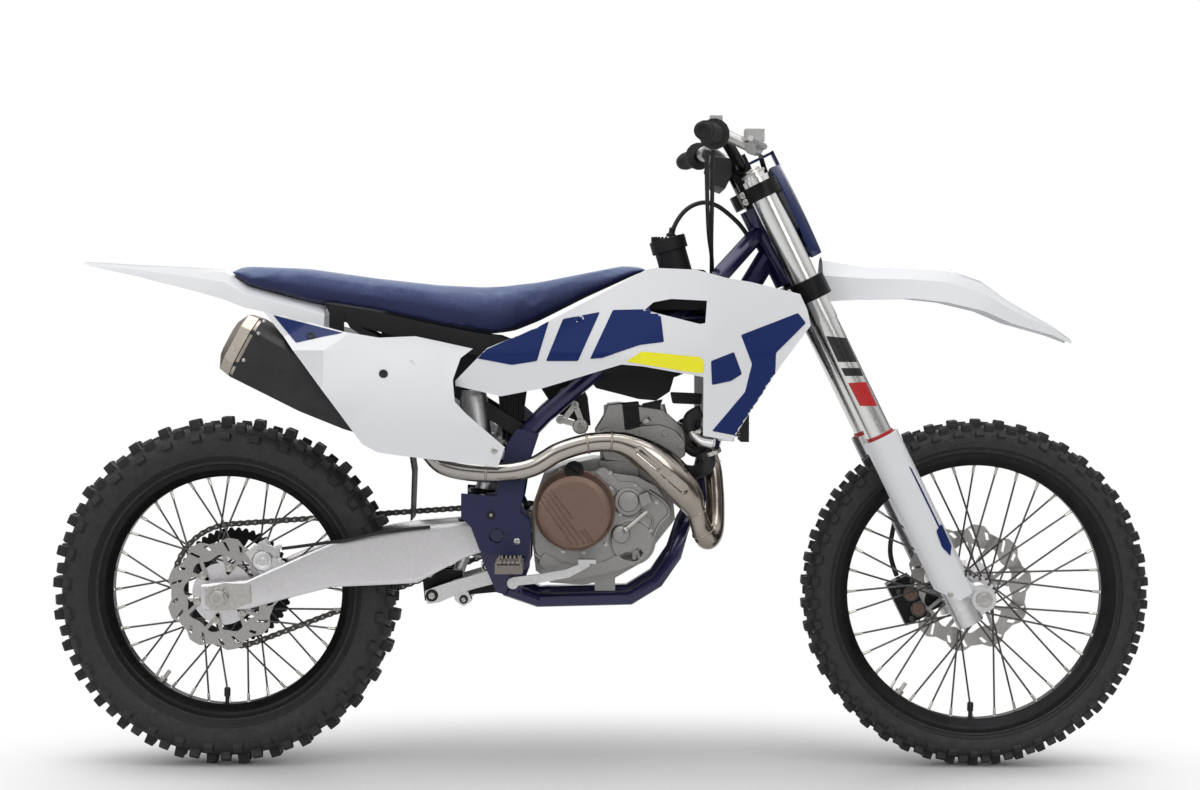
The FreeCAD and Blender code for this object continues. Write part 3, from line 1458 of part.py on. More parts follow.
def shock_linkage():
    """The rocker under the swingarm and the pull rods from the frame."""
    joint = Vector(-S.rear_axle_back * ROCKER_JOINT_SHARES[0], 0, S.axle_drop * ROCKER_JOINT_SHARES[1])
    hang = Vector(-S.rear_axle_back * ROCKER_HANG_SHARES[0], 0, S.axle_drop * ROCKER_HANG_SHARES[1])
    wide = S.shock_eye_half_width + S.seat_gap
    eye = S.shock_eye_radius
    foot = eye * ROCKER_FOOT_SHARE
    pieces = []
    for side in (-1, 1):
        start = side * wide
        pieces.append(side_plate([
            joint + Vector(-eye, 0, -eye), hang + Vector(-eye, 0, eye),
            SHOCK_FOOT + Vector(foot, 0, foot), SHOCK_FOOT + Vector(foot, 0, -foot),
        ], start, start + side * S.clevis_wall))
    for place, walls in ((joint, LINK_BOLT_WALLS), (SHOCK_FOOT, 1), (hang, 1)):
        reach = Y_AXIS * (wide + S.clevis_wall * walls)
        pieces.append(rod(place - reach, place + reach, S.shock_bolt_radius, 8))
    frame_end = spot(*LOW_CROSS_SHARES) - Vector(S.cross_tube_radius + S.seat_gap, 0, 0)
    for side in (-1, 1):
        middle = side * (wide + S.clevis_wall * PULL_ROD_WALLS)
        pieces.append(side_plate([
            joint + Vector(-eye, 0, -eye * PULL_ROD_SHARES[0]),
            joint + Vector(-eye, 0, eye * PULL_ROD_SHARES[0]),
            frame_end + Vector(0, 0, eye * PULL_ROD_SHARES[1]),
            frame_end - Vector(0, 0, eye * PULL_ROD_SHARES[2]),
        ], middle - S.clevis_wall / 2, middle + S.clevis_wall / 2))
    return fused(pieces)


ROCKER_JOINT_SHARES = (0.186, -1.007)
ROCKER_HANG_SHARES = (0.2, -0.945)
ROCKER_FOOT_SHARE = 0.8
LINK_BOLT_WALLS = 4
PULL_ROD_WALLS = 2.5
PULL_ROD_SHARES = (0.6, 0.7, 0.4)


def rear_shock():
    """The damper with its eyes, spring seats and reservoir."""
    along = (SHOCK_EYE - SHOCK_FOOT).normalize()
    length = (SHOCK_EYE - SHOCK_FOOT).Length
    half = S.shock_eye_half_width
    pieces = [
        rod(SHOCK_FOOT - Y_AXIS * half, SHOCK_FOOT + Y_AXIS * half, S.shock_eye_radius),
        rod(SHOCK_EYE - Y_AXIS * half, SHOCK_EYE + Y_AXIS * half, S.shock_eye_radius),
        bar(S.shock_radius * SHOCK_ROD_SHARE, length, SHOCK_FOOT, along),
        bar(S.shock_radius, length * SHOCK_BODY_SHARE,
            SHOCK_FOOT + along * (length * SHOCK_BODY_START_SHARE), along),
        bar(S.spring_radius, S.spring_wire, SHOCK_FOOT + along * (length * SPRING_FOOT_SHARE), along),
        bar(S.spring_radius, S.spring_wire, SHOCK_FOOT + along * (length * SPRING_TOP_SHARE), along),
    ]
    made = fused(pieces)
    hole = S.shock_bolt_radius + S.turn_gap
    return made.cut([bore(hole, half * 2, SHOCK_FOOT - Y_AXIS * half, Y_AXIS, 8),
                     bore(hole, half * 2, SHOCK_EYE - Y_AXIS * half, Y_AXIS, 8)])


SHOCK_ROD_SHARE = 0.5
SHOCK_BODY_SHARE = 0.45
SHOCK_BODY_START_SHARE = 0.48
SPRING_FOOT_SHARE = 0.14
SPRING_TOP_SHARE = 0.80


def shock_spring():
    """The coil spring between the two seats, drawn as coils of straight chords."""
    along = (SHOCK_EYE - SHOCK_FOOT).normalize()
    length = (SHOCK_EYE - SHOCK_FOOT).Length
    start = length * SPRING_FOOT_SHARE + S.spring_wire * 2 + S.seat_gap
    travel = length * (SPRING_TOP_SHARE - SPRING_FOOT_SHARE) - S.spring_wire * 3 - S.seat_gap * 2
    turns = int(S.spring_turns)
    coil = S.spring_radius - S.spring_wire
    points = []
    for step in range(turns * SPRING_CHORDS + 1):
        angle = 2 * math.pi * step / SPRING_CHORDS
        points.append(Vector(coil * math.cos(angle), coil * math.sin(angle),
                             travel * step / turns / SPRING_CHORDS))
    return mitred_coil(points, S.spring_wire), Placement(SHOCK_FOOT + along * start, Rotation(Z_AXIS, along))


SPRING_CHORDS = 10


def mitred_coil(points, radius):
    """A square wire wound along points, kept upright to the coil's axis."""
    sections = []
    for point in points:
        out = Vector(point.x, point.y, 0).normalize()
        sections.append([point + out * radius, point + Z_AXIS * radius, point - out * radius,
                         point - Z_AXIS * radius])
    return skin(sections)


def rear_axle():
    """The rear axle with its nuts and spacers."""
    arm_in = "Sizes.arm_rear_side - Sizes.arm_wall / 2 - Sizes.seat_gap"
    arm_out = "Sizes.arm_rear_side + Sizes.arm_wall / 2 + Sizes.seat_gap"
    pieces = [axle_piece("rear_shaft", "Sizes.rear_axle_radius", "-Sizes.rear_axle_end",
                         "Sizes.rear_axle_end", 1)]
    for side, inner, name in ((-1, "Sizes.rear_disc_side", "right"), (1, "Sizes.rear_hub_end", "left")):
        pieces.append(axle_piece(f"rear_spacer_{name}", "Sizes.rear_spacer_radius",
                                 f"{inner} + Sizes.spacer_gap", arm_in,
                                 side))
        pieces.append(axle_piece(f"rear_nut_{name}", "Sizes.rear_nut_radius", arm_out, "Sizes.rear_axle_end",
                                 side, 6))
    return stand_at_rear_axle(joined("rear_axle_body", pieces))


def rear_caliper():
    """The rear caliper over the disc's upper front edge, on a bracket from the swingarm."""
    whole = block("rear_caliper_block", "xz", "Sizes.rear_caliper_depth", "Sizes.rear_caliper_width",
                  "Sizes.rear_caliper_length", x="Sizes.rear_caliper_reach",
                  y="-Sizes.rear_disc_side - Sizes.rear_caliper_width / 2", z="0")
    slot = flats("rear_caliper_slot",
                 f"(Sizes.rear_disc_radius + Sizes.caliper_reach) / cos(180 / {SLOT_SIDES})",
                 "Sizes.caliper_slot", CROSSWISE, SLOT_SIDES,
                 y="-Sizes.rear_disc_side - Sizes.caliper_slot / 2")
    outer = "Sizes.rear_disc_side + Sizes.caliper_slot / 2"
    bracket = block("rear_caliper_bracket", "x", "Sizes.rear_caliper_depth",
                    f"Sizes.rear_bracket_side - ({outer})",
                    "Sizes.rear_caliper_length / 2", x="Sizes.rear_caliper_reach",
                    y="-Sizes.rear_bracket_side",
                    z="-Sizes.rear_caliper_length / 2")
    made = joined("rear_caliper_body", [pierced("rear_caliper_slotted", whole, slot), bracket])
    made.Placement = Placement(ORIGIN, Rotation(-Y_AXIS, S.rear_caliper_turn_angle))
    made.setExpression("Placement.Rotation.Angle", "Sizes.rear_caliper_turn_angle")
    return stand_at_rear_axle(made)


def chain_points():
    """The pitch points of the chain, round both sprockets."""
    front = Vector(S.drive_sprocket_x, 0, -S.drive_sprocket_drop)
    gap = front - REAR_AXLE
    distance = gap.Length
    tilt = math.atan2(gap.z, gap.x)
    lean = math.acos((S.chain_radius - S.drive_sprocket_radius) / distance)
    wrap_rear = 2 * math.pi - 2 * lean
    wrap_front = 2 * lean
    run = distance * math.sin(lean)
    total = S.chain_radius * wrap_rear + S.drive_sprocket_radius * wrap_front + 2 * run
    count = 2 * round(total / S.chain_pitch / 2)
    points = []
    for index in range(count):
        travelled = total * index / count
        points.append(chain_place(travelled, front, tilt, lean, run, wrap_rear, wrap_front))
    return points


def chain_place(travelled, front, tilt, lean, run, wrap_rear, wrap_front):
    """One place on the chain's loop and its outward direction: rear wrap, top run, front wrap, low run."""
    rear_arc = S.chain_radius * wrap_rear
    front_arc = S.drive_sprocket_radius * wrap_front
    if travelled < rear_arc:
        angle = tilt - lean - travelled / S.chain_radius
        out = Vector(math.cos(angle), 0, math.sin(angle))
        return REAR_AXLE + out * S.chain_radius, out
    travelled -= rear_arc
    if travelled < run:
        angle = tilt + lean
        out = Vector(math.cos(angle), 0, math.sin(angle))
        start = REAR_AXLE + out * S.chain_radius
        return start + Vector(out.z, 0, -out.x) * travelled, out
    travelled -= run
    if travelled < front_arc:
        angle = tilt + lean - travelled / S.drive_sprocket_radius
        out = Vector(math.cos(angle), 0, math.sin(angle))
        return front + out * S.drive_sprocket_radius, out
    travelled -= front_arc
    angle = tilt - lean
    out = Vector(math.cos(angle), 0, math.sin(angle))
    start = front + out * S.drive_sprocket_radius
    return start + Vector(out.z, 0, -out.x) * travelled, out


def drive_chain():
    """A closed chain of narrow and wide links in turn."""
    places = chain_points()
    half = S.link_height / 2
    outer = [point + out * half for point, out in places]
    inner = [point - out * half for point, out in places]
    core = S.inner_link_width / 2
    wide = S.outer_link_width / 2
    start = Y_AXIS * (S.chain_side - core)
    band = face_of([point + start for point in outer]).cut(face_of([point + start for point in inner]))
    pieces = [band.extrude(Y_AXIS * S.inner_link_width)]
    for index in range(0, len(places), 2):
        corners = [outer[index], outer[index + 1], inner[index + 1], inner[index]]
        pieces.append(face_of([corner + Y_AXIS * (S.chain_side - wide) for corner in corners])
                      .extrude(Y_AXIS * S.outer_link_width))
    return fused(pieces)


def mud_flap():
    """The thin flap ahead of the rear wheel."""
    outline = [Vector(-S.rear_axle_back * x_share, 0, -S.axle_drop * z_share) for x_share,
               z_share in FLAP_SHARES]
    return side_plate(outline, -S.flap_half_width, S.flap_half_width)


FLAP_SHARES = [(0.31, 0.24), (0.29, 0.40), (0.255, 0.60), (0.262, 0.76), (0.268, 0.76), (0.262, 0.60),
               (0.298, 0.40),
               (0.32, 0.24)]


def build_chassis():
    shaped("frame", frame())
    shaped("swingarm", swingarm())
    shaped("shock_linkage", shock_linkage())
    shaped("rear_shock", rear_shock())
    spring, spring_place = shock_spring()
    shaped("shock_spring", spring, spring_place)
    node(rear_axle(), "rear_axle")
    node(rear_caliper(), "rear_caliper")
    shaped("drive_chain", drive_chain())


build_chassis()


# Engine and exhaust


def outline_of(shares, back, length, low, height):
    """Side-view points from shares of a length and a height, from a back and a low edge."""
    return [Vector(x_share * length - back, 0, z_share * height - low) for x_share, z_share in shares]


def chassis_outline(shares):
    return [spot(x_share, 0, z_share) for x_share, z_share in shares]


CRANKCASE_SHARES = [(0.168, -0.72), (0.172, -0.83), (0.182, -0.921), (0.229, -0.961), (0.333, -0.968),
                    (0.43, -0.947), (0.52, -0.893), (0.572, -0.819), (0.623, -0.752), (0.616, -0.679),
                    (0.577, -0.626), (0.525, -0.57), (0.365, -0.555), (0.27, -0.575), (0.205, -0.61)]
RIGHT_COVER_SHARES = [(0.178, -0.72), (0.182, -0.84), (0.20, -0.90), (0.25, -0.935), (0.333, -0.942),
                      (0.42, -0.922),
                      (0.505, -0.872), (0.555, -0.80), (0.60, -0.745), (0.595, -0.69), (0.56, -0.64),
                      (0.50, -0.607),
                      (0.38, -0.59), (0.28, -0.595), (0.215, -0.63)]


def drop_point(x, drop, side=0):
    return Vector(x, side, -drop)


def crankcase(case):
    """The crankcase with the right cover's step, the drive sprocket's shaft and the engine's rear lugs."""
    cover = side_body("right_cover", RIGHT_COVER_SHARES, "Sizes.crankcase_half_width",
                      "Sizes.right_cover_side")
    shaft = flats("drive_shaft", "Sizes.drive_shaft_radius", "Sizes.chain_side - Sizes.crankcase_half_width",
                  CROSSWISE,
                  x="Sizes.drive_sprocket_x", y="Sizes.crankcase_half_width", z="-Sizes.drive_sprocket_drop")
    foot = block("engine_foot", "", "Sizes.engine_lug_length", "Sizes.engine_lug_width",
                 "Sizes.engine_lug_height",
                 x="Sizes.clutch_x + Sizes.engine_lug_length",
                 y="Sizes.crankcase_half_width - Sizes.engine_lug_width", z="-Sizes.engine_lug_drop")
    return joined("crankcase_body", [case, cover, shaft, foot, reflected("engine_foot_right", foot)])


def clutch_cover():
    """The round clutch cover: a rim, a bevel and a flat face with raised slanting ribs."""
    place = drop_point(S.clutch_x, S.clutch_drop, -S.right_cover_side)
    edge = bar(S.clutch_radius, S.clutch_cover_edge, place, -Y_AXIS, COVER_SIDES)
    top = place - Y_AXIS * S.clutch_cover_edge
    rise = S.clutch_cover_depth - S.clutch_cover_edge - S.clutch_rib_height
    inner = S.clutch_radius * CLUTCH_FACE_SHARE
    sections = []
    for radius, depth in ((S.clutch_radius * 0.97, 0), (inner, rise)):
        ring = []
        for index in range(COVER_SIDES):
            angle = 2 * math.pi * index / COVER_SIDES
            ring.append(top + Vector(radius * math.cos(angle), -depth, radius * math.sin(angle)))
        sections.append(ring)
    dome = skin(sections)
    face = top - Y_AXIS * rise
    ribs = []
    for index in range(CLUTCH_RIBS):
        offset = (index - (CLUTCH_RIBS - 1) / 2) * S.clutch_rib_pitch
        half = math.sqrt(max((inner * 0.94) ** 2 - offset ** 2, 0))
        rib = Part.makeBox(half * 2, S.clutch_rib_height, S.clutch_rib_width,
                           Vector(-half, -S.clutch_rib_height, offset - S.clutch_rib_width / 2))
        rib.rotate(ORIGIN, Y_AXIS, -S.clutch_rib_angle)
        rib.translate(face)
        ribs.append(rib)
    return fused([edge, dome] + ribs)


COVER_SIDES = 36
CLUTCH_FACE_SHARE = 0.78
CLUTCH_RIBS = 5


def ignition_cover():
    """The round cover on the engine's left side."""
    place = {"x": "Sizes.ignition_x", "y": "Sizes.crankcase_half_width", "z": "-Sizes.ignition_drop"}
    edge = flats("ignition_edge", "Sizes.ignition_radius", f"Sizes.ignition_depth * {IGNITION_EDGE_SHARE}",
                 CROSSWISE,
                 FINE_SIDES, **place)
    face = flats("ignition_face", f"Sizes.ignition_radius * {IGNITION_FACE_SHARE}", "Sizes.ignition_depth",
                 CROSSWISE,
                 FINE_SIDES, **place)
    return joined("ignition_cover_body", [edge, face])


IGNITION_EDGE_SHARE = 0.6
IGNITION_FACE_SHARE = 0.86


BARREL_SHARES = [(0.385, -0.553), (0.385, -0.45), (0.62, -0.45), (0.577, -0.60), (0.55, -0.59)]
HEAD_SHARES = [(0.372, -0.50), (0.368, -0.466), (0.396, -0.419), (0.409, -0.379), (0.447, -0.375),
               (0.583, -0.395),
               (0.648, -0.455), (0.655, -0.50)]
THROTTLE_SHARES = [(0.18, -0.30), (0.305, -0.27), (0.345, -0.36), (0.355, -0.45), (0.25, -0.41)]


def cylinder(case):
    """The cylinder on the crankcase and the wider head with its cam cover."""
    barrel = side_body("barrel", BARREL_SHARES, "-Sizes.cylinder_half_width", "Sizes.cylinder_half_width")
    head = side_body("cylinder_head", HEAD_SHARES, "-Sizes.head_half_width", "Sizes.head_half_width")
    return pierced("cylinder_body", joined("cylinder_blank", [head, barrel]), case)


def throttle_body():
    """The black intake behind the head."""
    return side_body("intake", THROTTLE_SHARES, "-Sizes.throttle_box_half_width",
                     "Sizes.throttle_box_half_width")


def header_route():
    """The exhaust's centre line with its radius: down from the head, a tight bend up, back along the side."""
    return [(spot(x_share, -S.header_side * side_share, z_share), S.header_radius * radius_share)
            for x_share, side_share, z_share, radius_share in HEADER_SHARES]


HEADER_SHARES = [
    # place forward, to the side and down, and the pipe's radius
    (0.635, 0.12, -0.455, 1.0), (0.70, 0.30, -0.50, 0.95), (0.737, 0.40, -0.57, 0.9),
    (0.748, 0.46, -0.66, 0.9),
    (0.748, 0.52, -0.745, 0.95), (0.740, 0.60, -0.79, 1.05), (0.724, 0.70, -0.808, 1.1),
    (0.709, 0.78, -0.79, 1.05),
    (0.697, 0.82, -0.755, 0.95), (0.685, 0.85, -0.72, 0.95), (0.664, 0.87, -0.677, 1.4),
    (0.628, 0.89, -0.625, 1.75),
    (0.58, 0.92, -0.575, 1.8), (0.526, 0.95, -0.532, 1.55), (0.478, 0.97, -0.506, 1.2),
    (0.424, 0.98, -0.493, 1.0),
    (0.345, 0.99, -0.497, 0.95), (0.256, 1.0, -0.526, 0.95), (0.167, 1.0, -0.575, 0.95),
    (0.05, 1.0, -0.592, 0.95),
    (-0.12, 1.0, -0.57, 0.95),
]


def exhaust_pipe():
    """The header with its fat resonance chamber, and the middle pipe to the muffler."""
    route = header_route()
    for cones in (2, 1):
        route.append((muffler_place(S.muffler_length + S.cone_length * cones, 0), S.header_radius))
    pipe = mitred([place for place, _ in route], [radius for _, radius in route], PIPE_SIDES)
    port = spot(PORT_SHARES[0], -S.head_half_width, PORT_SHARES[1]) + Vector(S.seat_gap, 0,
                                                                             -S.head_half_width)
    head_room = Part.makeBox(S.head_half_width, S.head_half_width * 2, S.head_half_width * 2,
                             port - X_AXIS * S.head_half_width)
    return pipe.cut(head_room).removeSplitter()


# the front of the cylinder head
PORT_SHARES = (0.655, -0.50)


PIPE_SIDES = 14


MUFFLER_PLACE = Placement(Vector(-S.muffler_back, -S.muffler_side, -S.muffler_drop),
                          Rotation(Y_AXIS, S.muffler_angle))
# place along the can, its height, its width and how far its middle moves inward
MUFFLER_SHARES = [(0.0, 1.0, 1.0, 0.0), (0.5, 0.93, 0.94, 0.08), (0.8, 0.78, 0.82, 0.2),
                  (1.0, 0.6, 0.66, 0.3)]


def muffler_place(along, rise):
    inward = S.muffler_half_width * MUFFLER_SHARES[-1][3]
    return MUFFLER_PLACE.multVec(Vector(along, inward, rise))


def muffler():
    """The silencer can, tapering towards the engine, with its cone."""
    sections = []
    for along, height_share, width_share, inward_share in MUFFLER_SHARES:
        centre = Vector(S.muffler_length * along, S.muffler_half_width * inward_share, 0)
        sections.append(ring_section(centre, S.muffler_half_width * width_share,
                                     S.muffler_half_height * height_share, MUFFLER_CORNER_SHARE))
    inward = S.muffler_half_width * MUFFLER_SHARES[-1][3]
    sections.append(ring_section(Vector(S.muffler_length + S.cone_length - S.seat_gap, inward, 0),
                                 S.header_radius,
                                 S.header_radius, MUFFLER_CORNER_SHARE))
    return skin(sections)


MUFFLER_CORNER_SHARE = 0.42
END_CAP_SHARES = [(0.0, 0.99), (-0.62, 0.93), (-1.0, 0.55)]


def muffler_end_cap():
    """The steel end cap with its outlet."""
    sections = []
    for back_share, size_share in END_CAP_SHARES:
        sections.append(ring_section(Vector(S.muffler_cap_length * back_share - S.seat_gap, 0, 0),
                                     S.muffler_half_width * size_share, S.muffler_half_height * size_share,
                                     MUFFLER_CORNER_SHARE))
    body = skin(sections)
    outlet = bore(S.header_radius, S.muffler_cap_length * 0.8,
                  Vector(-S.muffler_cap_length * 1.2, 0, 0), X_AXIS, 20)
    return body.cut(outlet)


def build_engine():
    case = side_body("crankcase_case", CRANKCASE_SHARES, "-Sizes.crankcase_half_width",
                     "Sizes.crankcase_half_width")
    node(crankcase(case), "crankcase")
    shaped("clutch_cover", clutch_cover())
    node(ignition_cover(), "ignition_cover")
    node(cylinder(case), "cylinder")
    node(throttle_body(), "throttle_body")
    shaped("exhaust_pipe", exhaust_pipe())
    shaped("muffler", muffler(), MUFFLER_PLACE)
    shaped("muffler_end_cap", muffler_end_cap(), MUFFLER_PLACE)


build_engine()

# Bodywork


def curved_panel(outline, side_shares, spread, low, height, back, length, wall):
    """A thin panel on a curved surface: side distances by shares, cut to a side-view outline."""
    rows = []
    for row_index, row in enumerate(side_shares):
        z = height * row_index / (len(side_shares) - 1) - low
        rows.append([Vector(length * column / (len(row) - 1) - back, -spread * share, z)
                     for column, share in enumerate(row)])
    slab = []
    for lower_row, upper_row in zip(rows, rows[1:]):
        for a, b, c, d in zip(lower_row, lower_row[1:], upper_row[1:], upper_row):
            for triangle in ((a, b, c), (a, c, d)):
                slab.append(face_of(triangle).extrude(Y_AXIS * wall))
    sheet_body = fused(slab)
    prism = side_plate(outline, -spread * 1.2, 0)
    return sheet_body.common(prism)


def panel_side(side_shares, spread, low, height, back, length, x, z):
    """How far out a curved panel's outer face lies at one place."""
    across = (x + back) / length * (len(side_shares[0]) - 1)
    up = (z + low) / height * (len(side_shares) - 1)
    column = int(across)
    row = int(up)
    share = 0
    for row_step, row_weight in ((0, 1 - up + row), (1, up - row)):
        for column_step, column_weight in ((0, 1 - across + column), (1, across - column)):
            share += side_shares[row + row_step][column + column_step] * row_weight * column_weight
    return spread * share


def panel_boss(table, place, inner_side):
    """A round boss from a seat's side distance out into a curved panel's wall."""
    outer_side = panel_side(*table, place.x, place.z) - S.panel_wall
    start = Vector(place.x, -inner_side - S.seat_gap, place.z)
    return bar(S.panel_boss_radius, outer_side - inner_side + S.panel_wall / 3, start, -Y_AXIS, 10)


SHROUD_SHARES = [(0.09, 0.53), (0.0, 0.34), (0.0, 0.31), (0.13, 0.25), (0.25, 0.30), (0.47, 0.44),
                 (0.53, 0.43),
                 (0.70, 0.37), (0.70, 0.03), (0.78, 0.0), (0.92, 0.45), (1.0, 0.67), (0.99, 0.76),
                 (0.97, 0.85),
                 (0.83, 0.92), (0.77, 0.94), (0.68, 0.99), (0.57, 1.0), (0.54, 0.99), (0.44, 0.88),
                 (0.23, 0.65)]
SHROUD_SIDE_SHARES = [
    [0.66, 0.78, 0.88, 0.94, 0.98],
    [0.68, 0.82, 0.94, 1.0, 1.0],
    [0.58, 0.66, 0.70, 0.82, 0.92],
]
VENT_SHARES = [(0.535, 0.755), (0.56, 0.80), (0.61, 0.82), (0.71, 0.81), (0.705, 0.68), (0.69, 0.675)]


def shroud():
    """The right radiator shroud with its vent and the bosses that seat it on the tank."""
    box = (S.shroud_back, S.shroud_length, S.shroud_low, S.shroud_height)
    outline = outline_of(SHROUD_SHARES, *box)
    panel = curved_panel(outline, SHROUD_SIDE_SHARES, S.shroud_spread, S.shroud_low, S.shroud_height,
                         S.shroud_back, S.shroud_length, S.panel_wall)
    vent = side_plate(outline_of(VENT_SHARES, *box), -S.shroud_spread * 1.2, 0)
    table = (SHROUD_SIDE_SHARES, S.shroud_spread, S.shroud_low, S.shroud_height, S.shroud_back,
             S.shroud_length)
    tank_boss = panel_boss(table, spot(0.32, 0, -0.10), S.tank_half_width)
    radiator_boss = panel_boss(table, spot(0.80, 0, -0.24), S.radiator_outer)
    return fused([panel.cut(vent), tank_boss, radiator_boss])


SIDE_PANEL_SHARES = [(0.0, 1.0), (0.13, 0.74), (0.41, 0.15), (0.47, 0.10), (0.55, 0.08), (0.97, 0.0),
                     (1.0, 0.13),
                     (0.84, 0.34), (0.79, 0.42), (0.78, 0.56), (0.81, 0.70), (0.86, 0.76), (0.62, 0.84),
                     (0.47, 0.83), (0.32, 0.87)]
SIDE_PANEL_SIDE_SHARES = [
    [1.12, 1.08, 1.02, 0.96, 0.93],
    [1.12, 1.08, 1.00, 0.95, 0.92],
    [1.12, 1.08, 0.96, 0.88, 0.83],
    [1.12, 1.04, 0.80, 0.67, 0.65],
    [1.02, 0.68, 0.61, 0.59, 0.59],
]


def side_panel():
    """The right number panel, from under the seat down over the muffler's front."""
    outline = outline_of(SIDE_PANEL_SHARES, S.side_panel_back, S.side_panel_length, S.side_panel_low,
                         S.side_panel_height)
    table = (SIDE_PANEL_SIDE_SHARES, S.side_panel_spread, S.side_panel_low, S.side_panel_height,
             S.side_panel_back,
             S.side_panel_length)
    panel = curved_panel(outline, *table, S.panel_wall)
    rail_side = S.subframe_side + S.subframe_wall / 2
    return fused([panel, panel_boss(table, spot(-0.25, 0, -0.245), rail_side)])


GUARD_SHARES = [(0.73, 1.0), (1.0, 0.96), (0.87, 0.72), (0.77, 0.34), (0.89, 0.28), (0.91, 0.18), (0.85, 0.0),
                (0.45, 0.0), (0.24, 0.04), (0.13, 0.22), (0.0, 0.3), (0.0, 0.49), (0.46, 0.47), (0.58, 0.87)]


def frame_guards():
    """The plastic guards over the pivot plates and the foot of the main tubes."""
    outline = outline_of(GUARD_SHARES, S.guard_back, S.guard_length, S.guard_low, S.guard_height)
    start = -S.guard_plate_side - S.guard_plate_wall
    plate = side_plate(outline, start, start + S.guard_plate_wall)
    seat = S.pivot_plate_side + S.pivot_plate_wall / 2 + S.seat_gap
    boss = bar(S.panel_boss_radius, S.guard_plate_side - seat,
               Vector(S.pivot_x + S.guard_length * 0.3, -seat, -S.guard_low + S.guard_height * 0.14),
               -Y_AXIS, 10)
    body = plate.fuse(boss)
    hole = bore(S.pivot_bolt_head + S.seat_gap, S.guard_plate_wall + S.overrun,
                PIVOT - Y_AXIS * (S.guard_plate_side
                + S.overrun), Y_AXIS, 12)
    return both_sides(body.cut(hole))


SEAT_STATIONS = [
    # place along the seat, top and bottom above its low point, half width, all as shares
    (0.0, 0.047, 0.040, 0.62), (0.045, 0.0475, 0.010, 0.86), (0.19, 0.042, -0.030, 0.98),
    (0.35, 0.020, -0.055, 1.0), (0.50, 0.004, -0.088, 0.98), (0.60, -0.0005, -0.107, 0.92),
    (0.647, 0.001, -0.112, 0.86),
    (0.74, 0.012, -0.074, 0.74), (0.85, 0.034, -0.018, 0.66), (0.98, 0.060, 0.042, 0.56),
    (1.0, 0.056, 0.047, 0.48),
]


def seat():
    """The long seat: rounded shoulders, deepest where the rider sits, thin at both ends."""
    sections = []
    for x_share, top_share, low_share, width_share in SEAT_STATIONS:
        x = x_share * S.seat_length - S.seat_back
        top = top_share * S.seat_length
        low = low_share * S.seat_length
        half = S.seat_half_width * width_share
        depth = top - low
        sections.append([Vector(x, half * side_share, low + depth * height_share)
                         for side_share, height_share in SEAT_SECTION_SHARES])
    return skin(sections)


SEAT_SECTION_SHARES = [(-1.0, 0.0), (-1.02, 0.45), (-0.88, 0.84), (-0.5, 1.0), (0.5, 1.0), (0.88, 0.84),
                       (1.02, 0.45),
                       (1.0, 0.0)]
TAIL_STATIONS = [
    # place along the tail from its tip, top, depth and half width, as shares
    (0.0, 1.0, 0.12, 0.50), (0.21, 0.88, 0.42, 0.72), (0.45, 0.78, 0.88, 0.88), (0.585, 0.70, 1.15, 0.95),
    (0.68, 0.105, 0.90, 1.0), (0.85, -0.345, 0.78, 1.0), (0.9985, -0.655, 0.98, 0.98),
]


def rear_fender():
    """The tail: a trough from under the seat to its upswept tip."""
    stations = []
    for x_share, top_share, depth_share, width_share in TAIL_STATIONS:
        stations.append((x_share * S.tail_length - S.tail_back, S.tail_height * top_share,
                         S.tail_height * depth_share, S.tail_half_width * width_share))
    return fender_shell(stations, S.tail_wall)


TANK_SHARES = [(0.155, -0.15), (0.20, -0.195), (0.34, -0.25), (0.40, -0.275), (0.65, -0.25), (0.76, -0.10),
               (0.78, -0.02), (0.74, 0.035), (0.71, 0.062), (0.56, 0.068), (0.53, 0.043), (0.34, -0.045)]


def fuel_tank():
    """The tank astride the main tubes, below the seat's nose, with its filler neck."""
    body = side_plate(chassis_outline(TANK_SHARES), -S.tank_half_width, S.tank_half_width)
    lobe = side_plate(chassis_outline(TANK_LOBE_SHARES), -S.tank_half_width / 2, -S.tank_lobe_inner)
    body = body.fuse([lobe, mirrored(lobe)])
    shoulder = Part.makeBox(REACH * 2, S.tank_half_width, S.tank_half_width)
    shoulder.rotate(ORIGIN, X_AXIS, TANK_SHOULDER_LEAN)
    shoulder.translate(Vector(0, S.tank_half_width * TANK_FLAT_SHARE, S.tank_shoulder))
    body = body.cut([shoulder, mirrored(shoulder)])
    body = body.fuse(bar(S.tank_neck_radius, S.tank_neck_height, CAP_FOOT, CAP_AXIS, 20))
    right = mitred(spar_route(), S.spar_radius + S.tank_gap, FRAME_SIDES)
    head = rod(HEAD_FOOT, HEAD_TOP, S.head_tube_radius + S.tank_gap, 20)
    corner = spot(TANK_CORNER_SHARES[0], -S.tank_half_width, TANK_CORNER_SHARES[1])
    low_corner = Part.makeBox(REACH, S.tank_half_width / 2, S.axle_drop, corner - Z_AXIS * S.axle_drop)
    channel = Part.makeBox(REACH, S.cable_channel_width, S.axle_drop,
                           spot(CHANNEL_SHARE, -S.cable_channel_width, -0.5))
    return body.cut([right, mirrored(right), head, low_corner, mirrored(low_corner), channel])


TANK_LOBE_SHARES = [(0.372, -0.24), (0.36, -0.31), (0.372, -0.325), (0.45, -0.345), (0.505, -0.36),
                    (0.562, -0.365),
                    (0.605, -0.335), (0.622, -0.275), (0.63, -0.23)]
TANK_CORNER_SHARES = (0.50, -0.068)
CHANNEL_SHARE = 0.715


TANK_SHOULDER_LEAN = -40.0
TANK_FLAT_SHARE = 0.62
CAP_AXIS = Vector(-0.28, 0, 0.96)
CAP_FOOT = spot(0.635, 0, 0.03)


